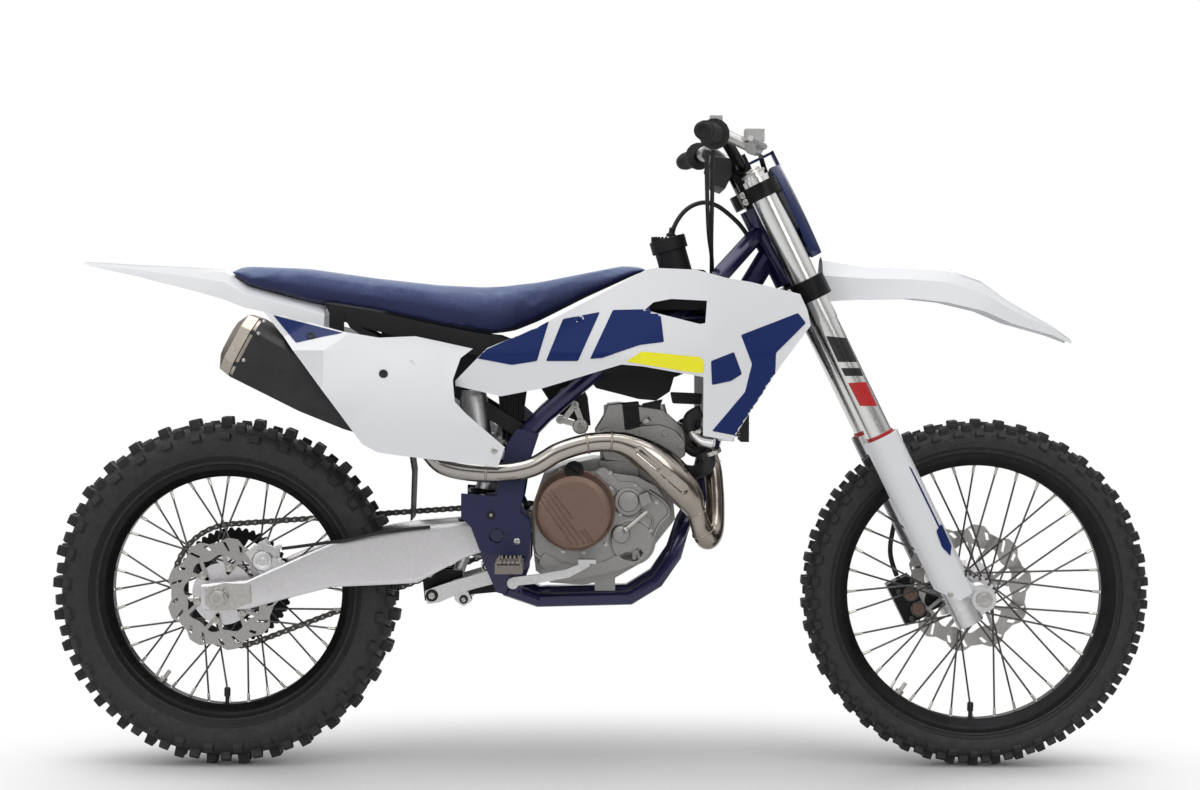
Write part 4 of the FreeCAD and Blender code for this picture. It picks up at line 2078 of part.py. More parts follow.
def tank_cap():
    """The screw cap, with a knurled edge of flats."""
    return bar(S.tank_cap_radius, S.tank_cap_height, CAP_FOOT + CAP_AXIS * S.tank_neck_height, CAP_AXIS, 20)


def radiator():
    """The right radiator: a core with a tank above and below."""
    width = S.radiator_outer - S.radiator_inner
    back = RADIATOR_SHARE * REACH - S.radiator_thickness / 2
    tank = S.radiator_thickness
    core = Part.makeBox(S.radiator_thickness * 0.8, width, S.radiator_height,
                        Vector(S.radiator_thickness * 0.1, 0, 0))
    low = Part.makeBox(S.radiator_thickness, width, tank)
    high = Part.makeBox(S.radiator_thickness, width, tank, Vector(0, 0, S.radiator_height - tank))
    made = fused([core, low, high])
    made.rotate(ORIGIN, Y_AXIS, S.radiator_lean_angle)
    made.translate(Vector(back, -S.radiator_outer, -S.radiator_low))
    return made


def subframe():
    """The composite subframe: a rail under each seat edge and the airbox between them."""
    rail = side_plate(chassis_outline(RAIL_SHARES), -S.subframe_side - S.subframe_wall / 2,
                      -S.subframe_side + S.subframe_wall / 2)
    strut = side_plate(chassis_outline(STRUT_SHARES), -S.subframe_side - S.subframe_wall / 2,
                       -S.subframe_side + S.subframe_wall / 2)
    box = side_plate(chassis_outline(AIRBOX_SHARES), -S.airbox_half_width - S.subframe_wall / 4,
                     S.airbox_half_width + S.subframe_wall / 4)
    hanger = Part.makeBox(S.hanger_length, S.hanger_side - S.subframe_side, S.hanger_height,
                          Vector(-S.hanger_back, -S.hanger_side, -S.hanger_drop))
    made = fused([rail, mirrored(rail), strut, mirrored(strut), box, hanger, mud_flap()])
    tubes = [mitred(spar_route(), S.spar_radius + S.seat_gap, FRAME_SIDES)]
    tubes.append(mirrored(tubes[0]))
    return made.cut(tubes)


RAIL_SHARES = [(-0.5988, -0.0512), (-0.406, -0.0759), (-0.16, -0.1209), (0.0032, -0.147), (0.0663, -0.1538),
               (0.20, -0.21), (0.33, -0.26), (0.33, -0.31), (0.18, -0.28), (0.05, -0.235), (-0.20, -0.18),
               (-0.40, -0.14), (-0.57, -0.10)]
STRUT_SHARES = [(0.17, -0.46), (0.13, -0.49), (-0.25, -0.27), (-0.50, -0.13), (-0.52, -0.10), (-0.25, -0.22)]
AIRBOX_SHARES = [(-0.38, -0.100), (-0.20, -0.122), (0.06, -0.162), (0.17, -0.24), (0.17, -0.295),
                 (0.05, -0.33),
                 (-0.20, -0.34), (-0.38, -0.20)]


def build_body():
    shaped("subframe", subframe())
    shaped("fuel_tank", fuel_tank())
    shaped("tank_cap", tank_cap())
    shaped("radiators", both_sides(radiator()))
    shaped("shrouds", both_sides(shroud()))
    shaped("side_panels", both_sides(side_panel()))
    shaped("frame_guards", frame_guards())
    shaped("seat", seat())
    shaped("rear_fender", rear_fender())


build_body()

# Footpegs, pedals and cables


def peg_point(x=0, side=0, rise=0):
    """A place measured from the middle of the right peg's hinge pin; side counts outward."""
    return Vector(S.peg_x + x, -S.peg_side - side, rise - S.peg_drop)


def footpeg_mounts():
    """On each side a bracket with two ears, and the hinge pin between them."""
    inner = S.pivot_plate_side + S.pivot_plate_wall / 2 + S.seat_gap
    ear = S.peg_ear_radius
    reach = S.peg_hub_width / 2 + S.peg_gap
    plate = Part.makeBox(reach * 2 + S.peg_ear_wall * 2, S.peg_ear_wall, ear * 3,
                         Vector(S.peg_x - reach - S.peg_ear_wall, -inner - S.peg_ear_wall, -S.peg_drop - ear))
    pieces = [plate]
    for start in (-reach - S.peg_ear_wall, reach):
        arm = Part.makeBox(S.peg_ear_wall, S.peg_side - inner, ear * 2,
                           Vector(S.peg_x + start, -S.peg_side, -S.peg_drop - ear))
        eye = bar(ear, S.peg_ear_wall, peg_point(start), X_AXIS)
        pieces += [arm, eye]
    pin = bar(S.peg_pin_radius, (reach + S.peg_ear_wall) * 2, peg_point(-reach - S.peg_ear_wall), X_AXIS)
    pieces.append(pin)
    return both_sides(fused(pieces))


def footpeg():
    """The right footpeg: a hub on the pin and an open, toothed platform outside of it."""
    half = S.peg_width / 2
    hub = bar(S.peg_hub_radius, S.peg_hub_width, peg_point(-S.peg_hub_width / 2), X_AXIS)
    neck = Part.makeBox(S.peg_hub_width, S.peg_inner, S.peg_height,
                        peg_point(-S.peg_hub_width / 2, S.peg_inner, -S.peg_height / 2))
    platform = Part.makeBox(S.peg_width, S.peg_length, S.peg_height,
                            peg_point(-half, S.peg_inner + S.peg_length,
                                                                               -S.peg_height / 2))
    cell = (S.peg_length - S.peg_rail * (PEG_CELLS + 1)) / PEG_CELLS
    cells = []
    for index in range(PEG_CELLS):
        outer = S.peg_inner + S.peg_rail + (cell + S.peg_rail) * index + cell
        for start in (S.peg_rail - half, S.peg_rail / 2):
            cells.append(Part.makeBox(half - S.peg_rail * PEG_MIDDLE_SHARE, cell, S.peg_height + S.overrun,
                                      peg_point(start, outer, -S.peg_height / 2 - S.overrun / 2)))
    teeth = []
    tooth = S.peg_rail
    for index in range(PEG_TEETH):
        place = S.peg_inner + (S.peg_length - tooth) * index / (PEG_TEETH - 1) + tooth
        for start in (-half, half - tooth):
            teeth.append(Part.makeBox(tooth, tooth, S.peg_tooth, peg_point(start, place, S.peg_height / 2)))
    made = fused([hub, neck, platform.cut(cells)] + teeth)
    return made.cut(bore(S.peg_pin_radius + S.turn_gap, S.peg_hub_width, peg_point(-S.peg_hub_width / 2),
                         X_AXIS))


PEG_CELLS = 2
PEG_TEETH = 4
PEG_MIDDLE_SHARE = 1.5


def brake_pedal():
    """The rear brake pedal: from its pivot on the frame forward to the toe plate."""
    outline = chassis_outline(PEDAL_SHARES)
    arm = side_plate(outline, -S.pedal_side - S.pedal_wall, -S.pedal_side)
    pivot = spot(PEDAL_PIVOT_SHARES[0], 0, PEDAL_PIVOT_SHARES[1])
    hub_start = S.pivot_plate_side + S.pivot_plate_wall / 2 + S.seat_gap
    hub = bar(S.pedal_hub_radius, S.pedal_side + S.pedal_wall - hub_start, pivot - Y_AXIS * hub_start,
              -Y_AXIS)
    toe = spot(TOE_SHARES[0], -S.pedal_side - S.pedal_wall / 2, TOE_SHARES[1])
    plate = Part.makeBox(S.toe_length, S.toe_width, S.pedal_wall,
                         toe - Vector(S.toe_length / 2, S.toe_width / 2, S.pedal_wall / 2))
    return fused([arm, hub, plate])


PEDAL_PIVOT_SHARES = (0.115, -0.945)
PEDAL_SHARES = [(0.10, -0.955), (0.115, -0.925), (0.20, -0.915), (0.28, -0.90), (0.345, -0.872),
                (0.355, -0.888),
                (0.29, -0.925), (0.19, -0.945)]
TOE_SHARES = (0.345, -0.872)


def shift_lever():
    """The gear lever on its shaft from the left of the crankcase."""
    shaft_place = spot(SHIFT_SHAFT_SHARES[0], 0, SHIFT_SHAFT_SHARES[1])
    shaft = rod(shaft_place + Y_AXIS * (S.crankcase_half_width + S.seat_gap),
                shaft_place + Y_AXIS * (S.shift_side + S.pedal_wall), S.shift_hub_radius)
    arm = side_plate(chassis_outline(SHIFT_SHARES), S.shift_side, S.shift_side + S.pedal_wall)
    toe = spot(SHIFT_TOE_SHARES[0], S.shift_side, SHIFT_TOE_SHARES[1])
    peg = bar(S.shift_hub_radius, S.toe_width, toe, Y_AXIS)
    return fused([shaft, arm, peg])


SHIFT_SHAFT_SHARES = (0.215, -0.90)
SHIFT_SHARES = [(0.20, -0.905), (0.205, -0.88), (0.225, -0.88), (0.39, -0.845), (0.40, -0.855), (0.39, -0.87),
                (0.235, -0.91)]
SHIFT_TOE_SHARES = (0.39, -0.857)


def cord(label, points, radius):
    """A hose or cable along points; its length and tightest bend are printed."""
    tightest = min(
        BEND_SHARE * min((corner - before).Length, (after - corner).Length)
        / math.tan((corner - before).getAngle(after - corner) / 2)
        for before, corner, after in zip(points, points[1:], points[2:])
    )
    print(f"{label}: length {bent_wire(points).Length:.0f} mm, tightest bend {tightest:.0f} mm")
    return tube(points, radius)


BEND_SHARE = 0.45


def throttle_cables():
    """Two cables from the throttle's cable box, down between the main tubes and under the tank."""
    return [cord(f"throttle_cable_{index}", [Vector(*point) for point in route], S.cable_radius)
            for index, route in enumerate(CABLE_ROUTES, start=1)]


CABLE_ROUTES = [
    [(446, -256, 254), (447, -236, 226), (448, -202, 180), (450, -156, 132), (452, -108, 92), (455, -66, 66),
     (457, -34, 47), (458, -12, 14), (457, -10, -44), (452, -9, -96), (434, -10, -140), (399, -10, -168),
     (350, -10, -179), (297, -10, -181), (246, -10, -180), (201, -10, -185)],
    [(434, -262, 254), (435, -242, 222), (438, -210, 176), (442, -166, 130), (447, -120, 96), (453, -82, 74),
     (457, -48, 56), (459, -21, 27), (458, -19, -24), (453, -21, -84), (434, -22, -134), (398, -22, -166),
     (350, -22, -180), (299, -22, -181), (248, -22, -180), (201, -22, -185)],
]


def vent_hose():
    """The tank's vent hose, from the cap over to the frame behind the head tube."""
    return cord("vent_hose", [Vector(*point) for point in VENT_ROUTE], S.vent_hose_radius)


VENT_ROUTE = [(383, 0, 122), (396, 2, 146), (416, 5, 165), (443, 7, 174), (467, 6, 168), (486, 5, 155),
              (503, 3, 140), (517, 1, 126), (528, 0, 110)]


def front_brake_hose():
    """The front brake hose, on the fork's own axes, from the master cylinder down to the caliper."""
    middle, inward = master_place()
    end = middle + inward * (S.master_length / 2 + S.seat_gap)
    points = [end, end + inward * S.master_length / 2] + [Vector(*point) for point in BRAKE_ROUTE]
    return cord("front_brake_hose", points, S.hose_radius)


BRAKE_ROUTE = [(-14, -98, 962), (-14, -45, 940), (-10, 0, 900), (-6, 42, 850), (-4, 82, 795), (-3, 112, 740),
               (-4, 128, 680), (-8, 132.5, 620), (-11, 134, 560), (-12.5, 132.6, 500), (-14, 134, 440),
               (-13, 132.8, 380), (-15, 134.5, 320), (-20, 137, 268), (-34, 142, 222), (-56, 142, 190),
               (-80, 131, 162), (-102, 112, 137), (-114, 94, 112), (-118, 76, 83.4)]


def build_controls():
    shaped("footpeg_mounts", footpeg_mounts())
    right = footpeg()
    shaped("footpeg_right", right)
    shaped("footpeg_left", mirrored(right))
    shaped("brake_pedal", brake_pedal())
    shaped("shift_lever", shift_lever())
    shaped("control_cables", Part.makeCompound(throttle_cables()))
    shaped("vent_hose", vent_hose())
    steering("front_brake_hose", front_brake_hose())


build_controls()

document.recompute()
for made in document.Objects:
    if "Invalid" in made.State or "Error" in made.State:
        raise ValueError(f"{made.Label} did not build")
for made in NODES:
    if made.Shape.isNull() or not made.Shape.isValid():
        raise ValueError(f"{made.Label} has no valid shape")
os.makedirs("parts", exist_ok=True)
for made in NODES:
    made.Shape.exportStep(f"parts/{made.Label}.step")
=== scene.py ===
import math
from functools import cache

import bmesh
import bpy
from mathutils import Matrix, Vector
from mathutils.bvhtree import BVHTree


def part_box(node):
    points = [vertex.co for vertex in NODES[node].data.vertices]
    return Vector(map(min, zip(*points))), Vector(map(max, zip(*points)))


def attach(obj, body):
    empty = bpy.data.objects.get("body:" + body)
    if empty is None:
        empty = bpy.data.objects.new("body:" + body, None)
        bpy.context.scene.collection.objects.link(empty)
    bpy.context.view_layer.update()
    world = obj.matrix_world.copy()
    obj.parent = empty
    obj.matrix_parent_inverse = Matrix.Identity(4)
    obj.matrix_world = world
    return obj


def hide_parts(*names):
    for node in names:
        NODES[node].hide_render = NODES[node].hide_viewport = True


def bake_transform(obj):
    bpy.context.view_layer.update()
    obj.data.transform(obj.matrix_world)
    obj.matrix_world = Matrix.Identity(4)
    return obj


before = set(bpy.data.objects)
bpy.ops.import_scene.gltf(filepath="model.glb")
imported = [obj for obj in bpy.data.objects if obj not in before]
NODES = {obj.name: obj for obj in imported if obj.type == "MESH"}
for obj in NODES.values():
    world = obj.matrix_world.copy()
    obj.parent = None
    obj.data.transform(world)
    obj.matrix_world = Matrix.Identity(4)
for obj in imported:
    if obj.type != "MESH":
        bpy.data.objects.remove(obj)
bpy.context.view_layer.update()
MM = 0.001
TURN = 2 * math.pi

# Places and directions on the bike, as in the part's source
RAKE = math.radians(26.2)
UP_FORK = Vector((-math.sin(RAKE), 0, math.cos(RAKE)))
AHEAD = Vector((math.cos(RAKE), 0, math.sin(RAKE)))
FRONT_AXLE = Vector((0.985, 0, -0.601))
REAR_AXLE = Vector((-0.5, 0, -0.601))
AXLES = {"front": FRONT_AXLE, "rear": REAR_AXLE}
GROUND = -0.947
X, Z = Vector((1, 0, 0)), Vector((0, 0, 1))
RIGHT = Vector((0, -1, 0))
LEFT = Vector((0, 1, 0))


def mm(x, y, z):
    return Vector((x, y, z)) * MM


def on_fork(n, y, s):
    return FRONT_AXLE + AHEAD * n * MM + LEFT * y * MM + UP_FORK * s * MM


def around(angle):
    """The direction at an angle in the bike's middle plane, from +X towards +Z."""
    return Vector((math.cos(angle), 0, math.sin(angle)))


def circle(n):
    """The cosines and sines of n equal turns."""
    return [(math.cos(TURN * k / n), math.sin(TURN * k / n)) for k in range(n)]


# The camera, from the photograph's own perspective, in its pixels
MIDDLE, VANISHING = (600, 395), (590, 315)
WIDTH, SENSOR, FOCAL = 1200, 36.0, 2150
ROLL = math.radians(0.19)
EYE = Vector((0.218526, -4.27119, -0.051638))
yaw, tilt = (math.atan((m - v) / FOCAL) for m, v in zip(MIDDLE, VANISHING))
forward = Vector((math.sin(yaw) * math.cos(tilt), math.cos(yaw) * math.cos(tilt), -math.sin(tilt)))
level = Vector((math.cos(yaw), -math.sin(yaw), 0))
upright = level.cross(forward)
right = level * math.cos(ROLL) + upright * math.sin(ROLL)
above = upright * math.cos(ROLL) - level * math.sin(ROLL)


def place_in_scene(name, data):
    obj = bpy.data.objects.new(name, data)
    bpy.context.scene.collection.objects.link(obj)
    return obj


camera_data = bpy.data.cameras.new("camera")
camera_data.sensor_width = SENSOR
camera_data.lens = FOCAL / WIDTH * SENSOR
camera_data.clip_end = 60
camera = place_in_scene("camera", camera_data)
camera.matrix_world = Matrix.Translation(EYE) @ Matrix((right, above, -forward)).transposed().to_4x4()
bpy.context.scene.camera = camera


def sight(px, py):
    """The direction in which a pixel of the photograph looks."""
    return (forward + right * (px - MIDDLE[0]) / FOCAL + above * (MIDDLE[1] - py) / FOCAL).normalized()


def seen(px, py, side):
    """The place at a distance to the right of the middle, in mm, seen at a pixel."""
    way = sight(px, py)
    return EYE + way * ((-side * MM - EYE.y) / way.y)


CROPS = {"engine": (420, 350, 4.9), "panel": (180, 250, 4.612), "rear": (40, 390, 4.021), "front": (790, 250, 2.959)}


def at(crop, x, y):
    """A pixel of the photograph from a place in one of its enlarged crops."""
    x0, y0, scale = CROPS[crop]
    return x0 + x / scale, y0 + y / scale


def engine(x, y, side):
    """What seen gives, from a place in the engine's crop."""
    return seen(*at("engine", x, y), side)


@cache
def surface_of(node):
    """A search tree over a CAD node's faces."""
    mesh = NODES[node].data
    return BVHTree.FromPolygons([v.co for v in mesh.vertices], [tuple(p.vertices) for p in mesh.polygons])


def touch(px, py, nodes):
    """Where the sight line of a pixel meets the nearest of some nodes, or passes near it, and the way out."""
    way = sight(px, py)
    found = []
    for node in nodes:
        hit, normal, _, far = surface_of(node).ray_cast(EYE, way)
        if hit is not None:
            found.append((far, hit, normal if normal.dot(way) < 0 else -normal))
    if found:
        return min(found, key=lambda f: f[0])[1:]
    near = [surface_of(node).find_nearest(seen(px, py, side)) for node in nodes for side in (60, 100, 140, 180)]
    return min(near, key=lambda n: n[3])[0], RIGHT


# Materials
def rgb(r, g, b):
    def lin(c):
        c /= 255
        return c / 12.92 if c <= 0.04045 else ((c + 0.055) / 1.055) ** 2.4

    return (lin(r), lin(g), lin(b), 1)


def add_node(tree, kind, links=(), **values):
    """A node whose inputs and settings get values, and whose other inputs get links."""
    node = tree.nodes.new(kind)
    for key, value in values.items():
        if key in node.inputs:
            node.inputs[key].default_value = value
        else:
            setattr(node, key, value)
    for key, source in dict(links).items():
        tree.links.new(source, node.inputs[key])
    return node


def calc(tree, operation, *values, vector=False):
    """The result of an operation on values or sockets."""
    node = tree.nodes.new("ShaderNodeVectorMath" if vector else "ShaderNodeMath")
    node.operation = operation
    for socket, value in zip(node.inputs, values):
        if isinstance(value, bpy.types.NodeSocket):
            tree.links.new(value, socket)
        else:
            socket.default_value = value
    return node.outputs["Vector" if vector and operation != "LENGTH" else "Value"]


MAT = {}


class Shade:
    """A Principled material with its noise, bump and colour nodes, all read in object coordinates."""

    def __init__(self, name, color, rough, metallic=0.0, **sockets):
        self.mat = bpy.data.materials.new(name)
        self.mat.use_nodes = True
        self.tree = self.mat.node_tree
        self.shader = self.tree.nodes["Principled BSDF"]
        self.color = color
        sockets |= {"Base_Color": color, "Roughness": rough, "Metallic": metallic}
        for key, value in sockets.items():
            self.shader.inputs[key.replace("_", " ")].default_value = value
        self.where = self.add("ShaderNodeTexCoord").outputs["Object"]
        self.last_bump = None
        MAT[name] = self

    def add(self, kind, links=(), **values):
        return add_node(self.tree, kind, links, **values)

    def calc(self, operation, *values, vector=False):
        return calc(self.tree, operation, *values, vector=vector)

    def drive(self, socket, value):
        self.tree.links.new(value, self.shader.inputs[socket])
        return self

    def texture(self, kind, scale, stretch, where=None, **values):
        space = self.add("ShaderNodeMapping", {"Vector": where or self.where}, Scale=[scale * s for s in stretch])
        return self.add(kind, {"Vector": space.outputs["Vector"]}, Scale=1.0, **values).outputs

    def noise(self, scale, detail=3.0, stretch=(1, 1, 1), where=None):
        return self.texture("ShaderNodeTexNoise", scale, stretch, where, Detail=detail)["Fac"]

    def cells(self, scale, stretch=(1, 1, 1)):
        return self.texture("ShaderNodeTexVoronoi", scale, stretch, feature="F1")["Distance"]

    def ramp(self, value, *stops):
        node = self.add("ShaderNodeValToRGB", {"Fac": value})
        while len(node.color_ramp.elements) < len(stops):
            node.color_ramp.elements.new(0.5)
        for element, (place, color) in zip(node.color_ramp.elements, stops):
            element.position = place
            element.color = color
        return node.outputs["Color"]

    def spread(self, value, low=0.0, high=1.0, start=0.3, end=0.7, **more):
        more |= {"From Min": start, "From Max": end, "To Min": low, "To Max": high}
        return self.add("ShaderNodeMapRange", {"Value": value}, **more).outputs["Result"]

    def tint(self, noise, dark=0.85, light=1.08):
        """The colour varied by a noise, between two shades of it."""
        shades = [tuple(min(1.0, c * k) for c in self.color[:3]) + (1,) for k in (dark, light)]
        return self.drive("Base Color", self.ramp(self.noise(*noise), (0.35, shades[0]), (0.65, shades[1])))

    def gloss(self, noise, low, high):
        return self.drive("Roughness", self.spread(self.noise(*noise), low, high))

    def bump(self, height, depth, strength=1.0):
        """A bump by a noise or a socket, on top of the last one."""
        links = {"Height": self.noise(*height) if isinstance(height, tuple) else height}
        if self.last_bump:
            links["Normal"] = self.last_bump
        self.last_bump = self.add("ShaderNodeBump", links, Strength=strength, Distance=depth).outputs["Normal"]
        return self.drive("Normal", self.last_bump)

    def distance(self, centre, scale=(1, 0, 1)):
        """Distance from a place in metres, each direction to its own scale; by default, from a wheel's axle."""
        off = self.calc("SUBTRACT", self.where, centre, vector=True)
        return self.calc("LENGTH", self.calc("MULTIPLY", off, scale, vector=True), vector=True)

    def rings(self, axle, pitch):
        """Waves around a wheel's axle."""
        return self.calc("SINE", self.calc("MULTIPLY", self.distance(axle), TURN / pitch))


def plastic(name, color, rough=0.3, coat=0.25, grain=0.00006, scale=900, shine=0.4):
    s = Shade(name, rgb(*color), rough, Coat_Weight=coat, Coat_Roughness=0.12, Specular_IOR_Level=shine)
    return s.tint((1500, 2), 0.985, 1.0).gloss((70, 4), rough * 0.95, rough * 1.06).bump((scale, 2), grain)


def metal(name, color, rough, grain=0.00008, scale=700, stretch=(1, 1, 1), tints=(0.93, 1.04), patch=140):
    s = Shade(name, rgb(*color), rough, 1.0)
    s.tint((patch, 4), *tints).gloss((patch * 1.5, 4, stretch), rough * 0.86, rough * 1.16)
    return s.bump((scale, 3, stretch), grain)


plastic("white_plastic", (231, 232, 235), grain=0.00002, scale=500)
plastic("navy_film", (16, 38, 96), 0.34, 0.06, 0.00002, shine=0.2)
plastic("black_film", (22, 22, 24), coat=0.3, grain=0.00003)
plastic("yellow_film", (252, 245, 32), coat=0.35, grain=0.00003)
plastic("plate_plastic", (20, 36, 88), coat=0.1, shine=0.25)
plastic("black_plastic", (27, 26, 28), 0.52, 0.0, 0.00018, 1400, 0.3)
blue = plastic("blue_plastic", (44, 48, 80), 0.5, 0.0, 0.00012, 1300, 0.25)
blue.bump(blue.cells(260), 0.0005, 0.5)
plastic("seal_red", (186, 26, 28), coat=0.3)
metal("bare_alloy", (222, 221, 222), 0.34, 0.00014, 900)
metal("satin_alloy", (222, 220, 222), 0.36, 0.0001, 1200, tints=(0.96, 1.02))
metal("cast_grey", (158, 157, 155), 0.42, 0.0006, 620, tints=(0.86, 1.06), patch=420)
metal("cast_light", (184, 183, 182), 0.34, 0.0003, 700, tints=(0.92, 1.04), patch=300)
metal("cast_dark", (112, 111, 110), 0.46, 0.0006, 620, tints=(0.84, 1.08), patch=420)
metal("polished_tube", (224, 224, 222), 0.22, 0.000004, 260, (1, 6, 1), (0.985, 1.01))
metal("steel", (186, 184, 181), 0.3, 0.00006, 400, (1, 1, 8), (0.9, 1.06))
metal("dark_steel", (92, 90, 88), 0.4, 0.0001, 800)
metal("zinc", (196, 194, 188), 0.3, 0.00004, 900, tints=(0.9, 1.05))
metal("peg_steel", (142, 136, 130), 0.38, 0.0002, 900)
metal("titanium", (176, 168, 158), 0.34, 0.00008, 700, (1, 1, 6))
metal("weld_bead", (170, 160, 148), 0.3, 0.0003, 900, tints=(0.85, 1.08))
paint = Shade("frame_paint", rgb(20, 18, 66), 0.28, 0.4, Coat_Weight=0.6, Coat_Roughness=0.05)
paint.tint((2600, 1), 0.7, 1.5).bump((90, 4), 0.0002)
black = Shade("black_metal", rgb(30, 30, 32), 0.34, 0.75)
black.tint((40, 4), 0.8, 1.15).gloss((160, 4), 0.28, 0.42).bump((1200, 2), 0.00008)
Shade("bronze_cover", rgb(124, 101, 89), 0.44, 0.5).tint((300, 4), 0.93, 1.06).bump((1100, 3), 0.00022)
satin = Shade("satin_black_metal", rgb(46, 46, 48), 0.46, 0.35)
satin.tint((30, 5), 0.85, 1.15).gloss((200, 4), 0.4, 0.54).bump((1500, 2), 0.0001)
Shade("black_rubber", rgb(26, 26, 27), 0.62).tint((40, 4), 0.8, 1.25).bump((900, 3), 0.00015)

header = Shade("header_steel", rgb(172, 167, 161), 0.16, 1.0)
along = header.add("ShaderNodeSeparateXYZ", {"Vector": header.where}).outputs["X"]
mottle = header.calc("ADD", header.spread(along, start=-0.1, end=0.46), header.spread(header.noise(30, 4), -0.06, 0.06))
heat = (0.0, rgb(166, 162, 157)), (0.4, rgb(178, 173, 167)), (0.75, rgb(172, 166, 158)), (1.0, rgb(156, 147, 137))
header.drive("Base Color", header.ramp(mottle, *heat)).gloss((120, 4), 0.14, 0.2).bump((400, 3), 0.00002)

for name, axle in AXLES.items():
    rubber = Shade(f"{name}_tyre_rubber", rgb(42, 41, 41), 0.56, Specular_IOR_Level=0.45)
    rubber.tint((180, 4), 0.85, 1.12).gloss((70, 5), 0.52, 0.74)
    rubber.bump(rubber.rings(axle, 0.0042), 0.00016).bump((420, 4), 0.0005)
    disc = Shade(f"{name}_disc_steel", rgb(176, 174, 172), 0.3, 1.0)
    turned = disc.add("ShaderNodeCombineXYZ", {"X": disc.rings(axle, 0.0011)}).outputs["Vector"]
    disc.tint((240, 4), 0.93, 1.03).gloss((200, 4), 0.26, 0.36).bump(disc.noise(1, 2, where=turned), 0.00006)

cover = Shade("seat_cover", rgb(58, 72, 114), 0.5, Sheen_Weight=0.2, Sheen_Roughness=0.4, Specular_IOR_Level=0.35)
# The seat cover's colour is painted light: a painted highlight where it faces up and painted shade on its sides and
# underside, with a little random tone.
painted_light_by_facing = cover.add("ShaderNodeSeparateXYZ", {"Vector": cover.add("ShaderNodeTexCoord").outputs["Normal"]}).outputs["Z"]
painted_light_by_facing = cover.calc("ADD", painted_light_by_facing, cover.spread(cover.noise(420, 3), -0.08, 0.08))
painted_light_blues = (0.0, rgb(32, 38, 80)), (0.3, rgb(46, 56, 100)), (0.62, rgb(78, 92, 132)), (1.0, rgb(120, 134, 166))
cover.drive("Base Color", cover.ramp(painted_light_by_facing, *painted_light_blues)).bump(cover.cells(330, (1, 0.8, 1)), 0.0007, 0.55)
cover.bump((80, 3), 0.0004)


# Building pieces: places are in metres; radii, sizes and profiles in mm
def round_over(sharp):
    """A node tree that joins split vertices' faces smoothly and keeps edges over an angle sharp."""
    tree = bpy.data.node_groups.new("smooth_by_angle", "GeometryNodeTree")
    for way in ("INPUT", "OUTPUT"):
        tree.interface.new_socket("Geometry", in_out=way, socket_type="NodeSocketGeometry")
    start, end = tree.nodes.new("NodeGroupInput"), tree.nodes.new("NodeGroupOutput")
    drop = add_node(tree, "GeometryNodeRemoveAttribute", {"Geometry": start.outputs[0]}, Name="custom_normal")
    faces = add_node(tree, "GeometryNodeSetShadeSmooth", {"Geometry": drop.outputs["Geometry"]})
    angle = add_node(tree, "GeometryNodeInputMeshEdgeAngle").outputs["Unsigned Angle"]
    less = add_node(tree, "FunctionNodeCompare", {"A": angle}, operation="LESS_THAN", B=sharp)
    links = {"Geometry": faces.outputs["Geometry"], "Shade Smooth": less.outputs["Result"]}
    edges = add_node(tree, "GeometryNodeSetShadeSmooth", links, domain="EDGE")
    tree.links.new(edges.outputs["Geometry"], end.inputs[0])
    return tree


SMOOTH = round_over(math.radians(34))
BEVEL_OVER = math.radians(28)


def finish_edges(obj, bevel, segments=2):
    """Small round-overs on sharp edges, and smooth shading between them."""
    if bevel:
        mod = obj.modifiers.new("edges", "BEVEL")
        mod.width = bevel * MM
        mod.segments = segments
        mod.limit_method = "ANGLE"
        mod.angle_limit = BEVEL_OVER
        mod.use_clamp_overlap = True
    obj.modifiers.new("shade", "NODES").node_group = SMOOTH
    obj.modifiers.new("normals", "WEIGHTED_NORMAL").keep_sharp = True


def dress(node, material, bevel):
    """A carried-over CAD node gets its material and soft edges."""
    obj = NODES[node]
    for place in obj.material_slots:
        place.material = MAT[material].mat
    obj.modifiers.new("join", "WELD").merge_threshold = 0.00003
    finish_edges(obj, bevel)


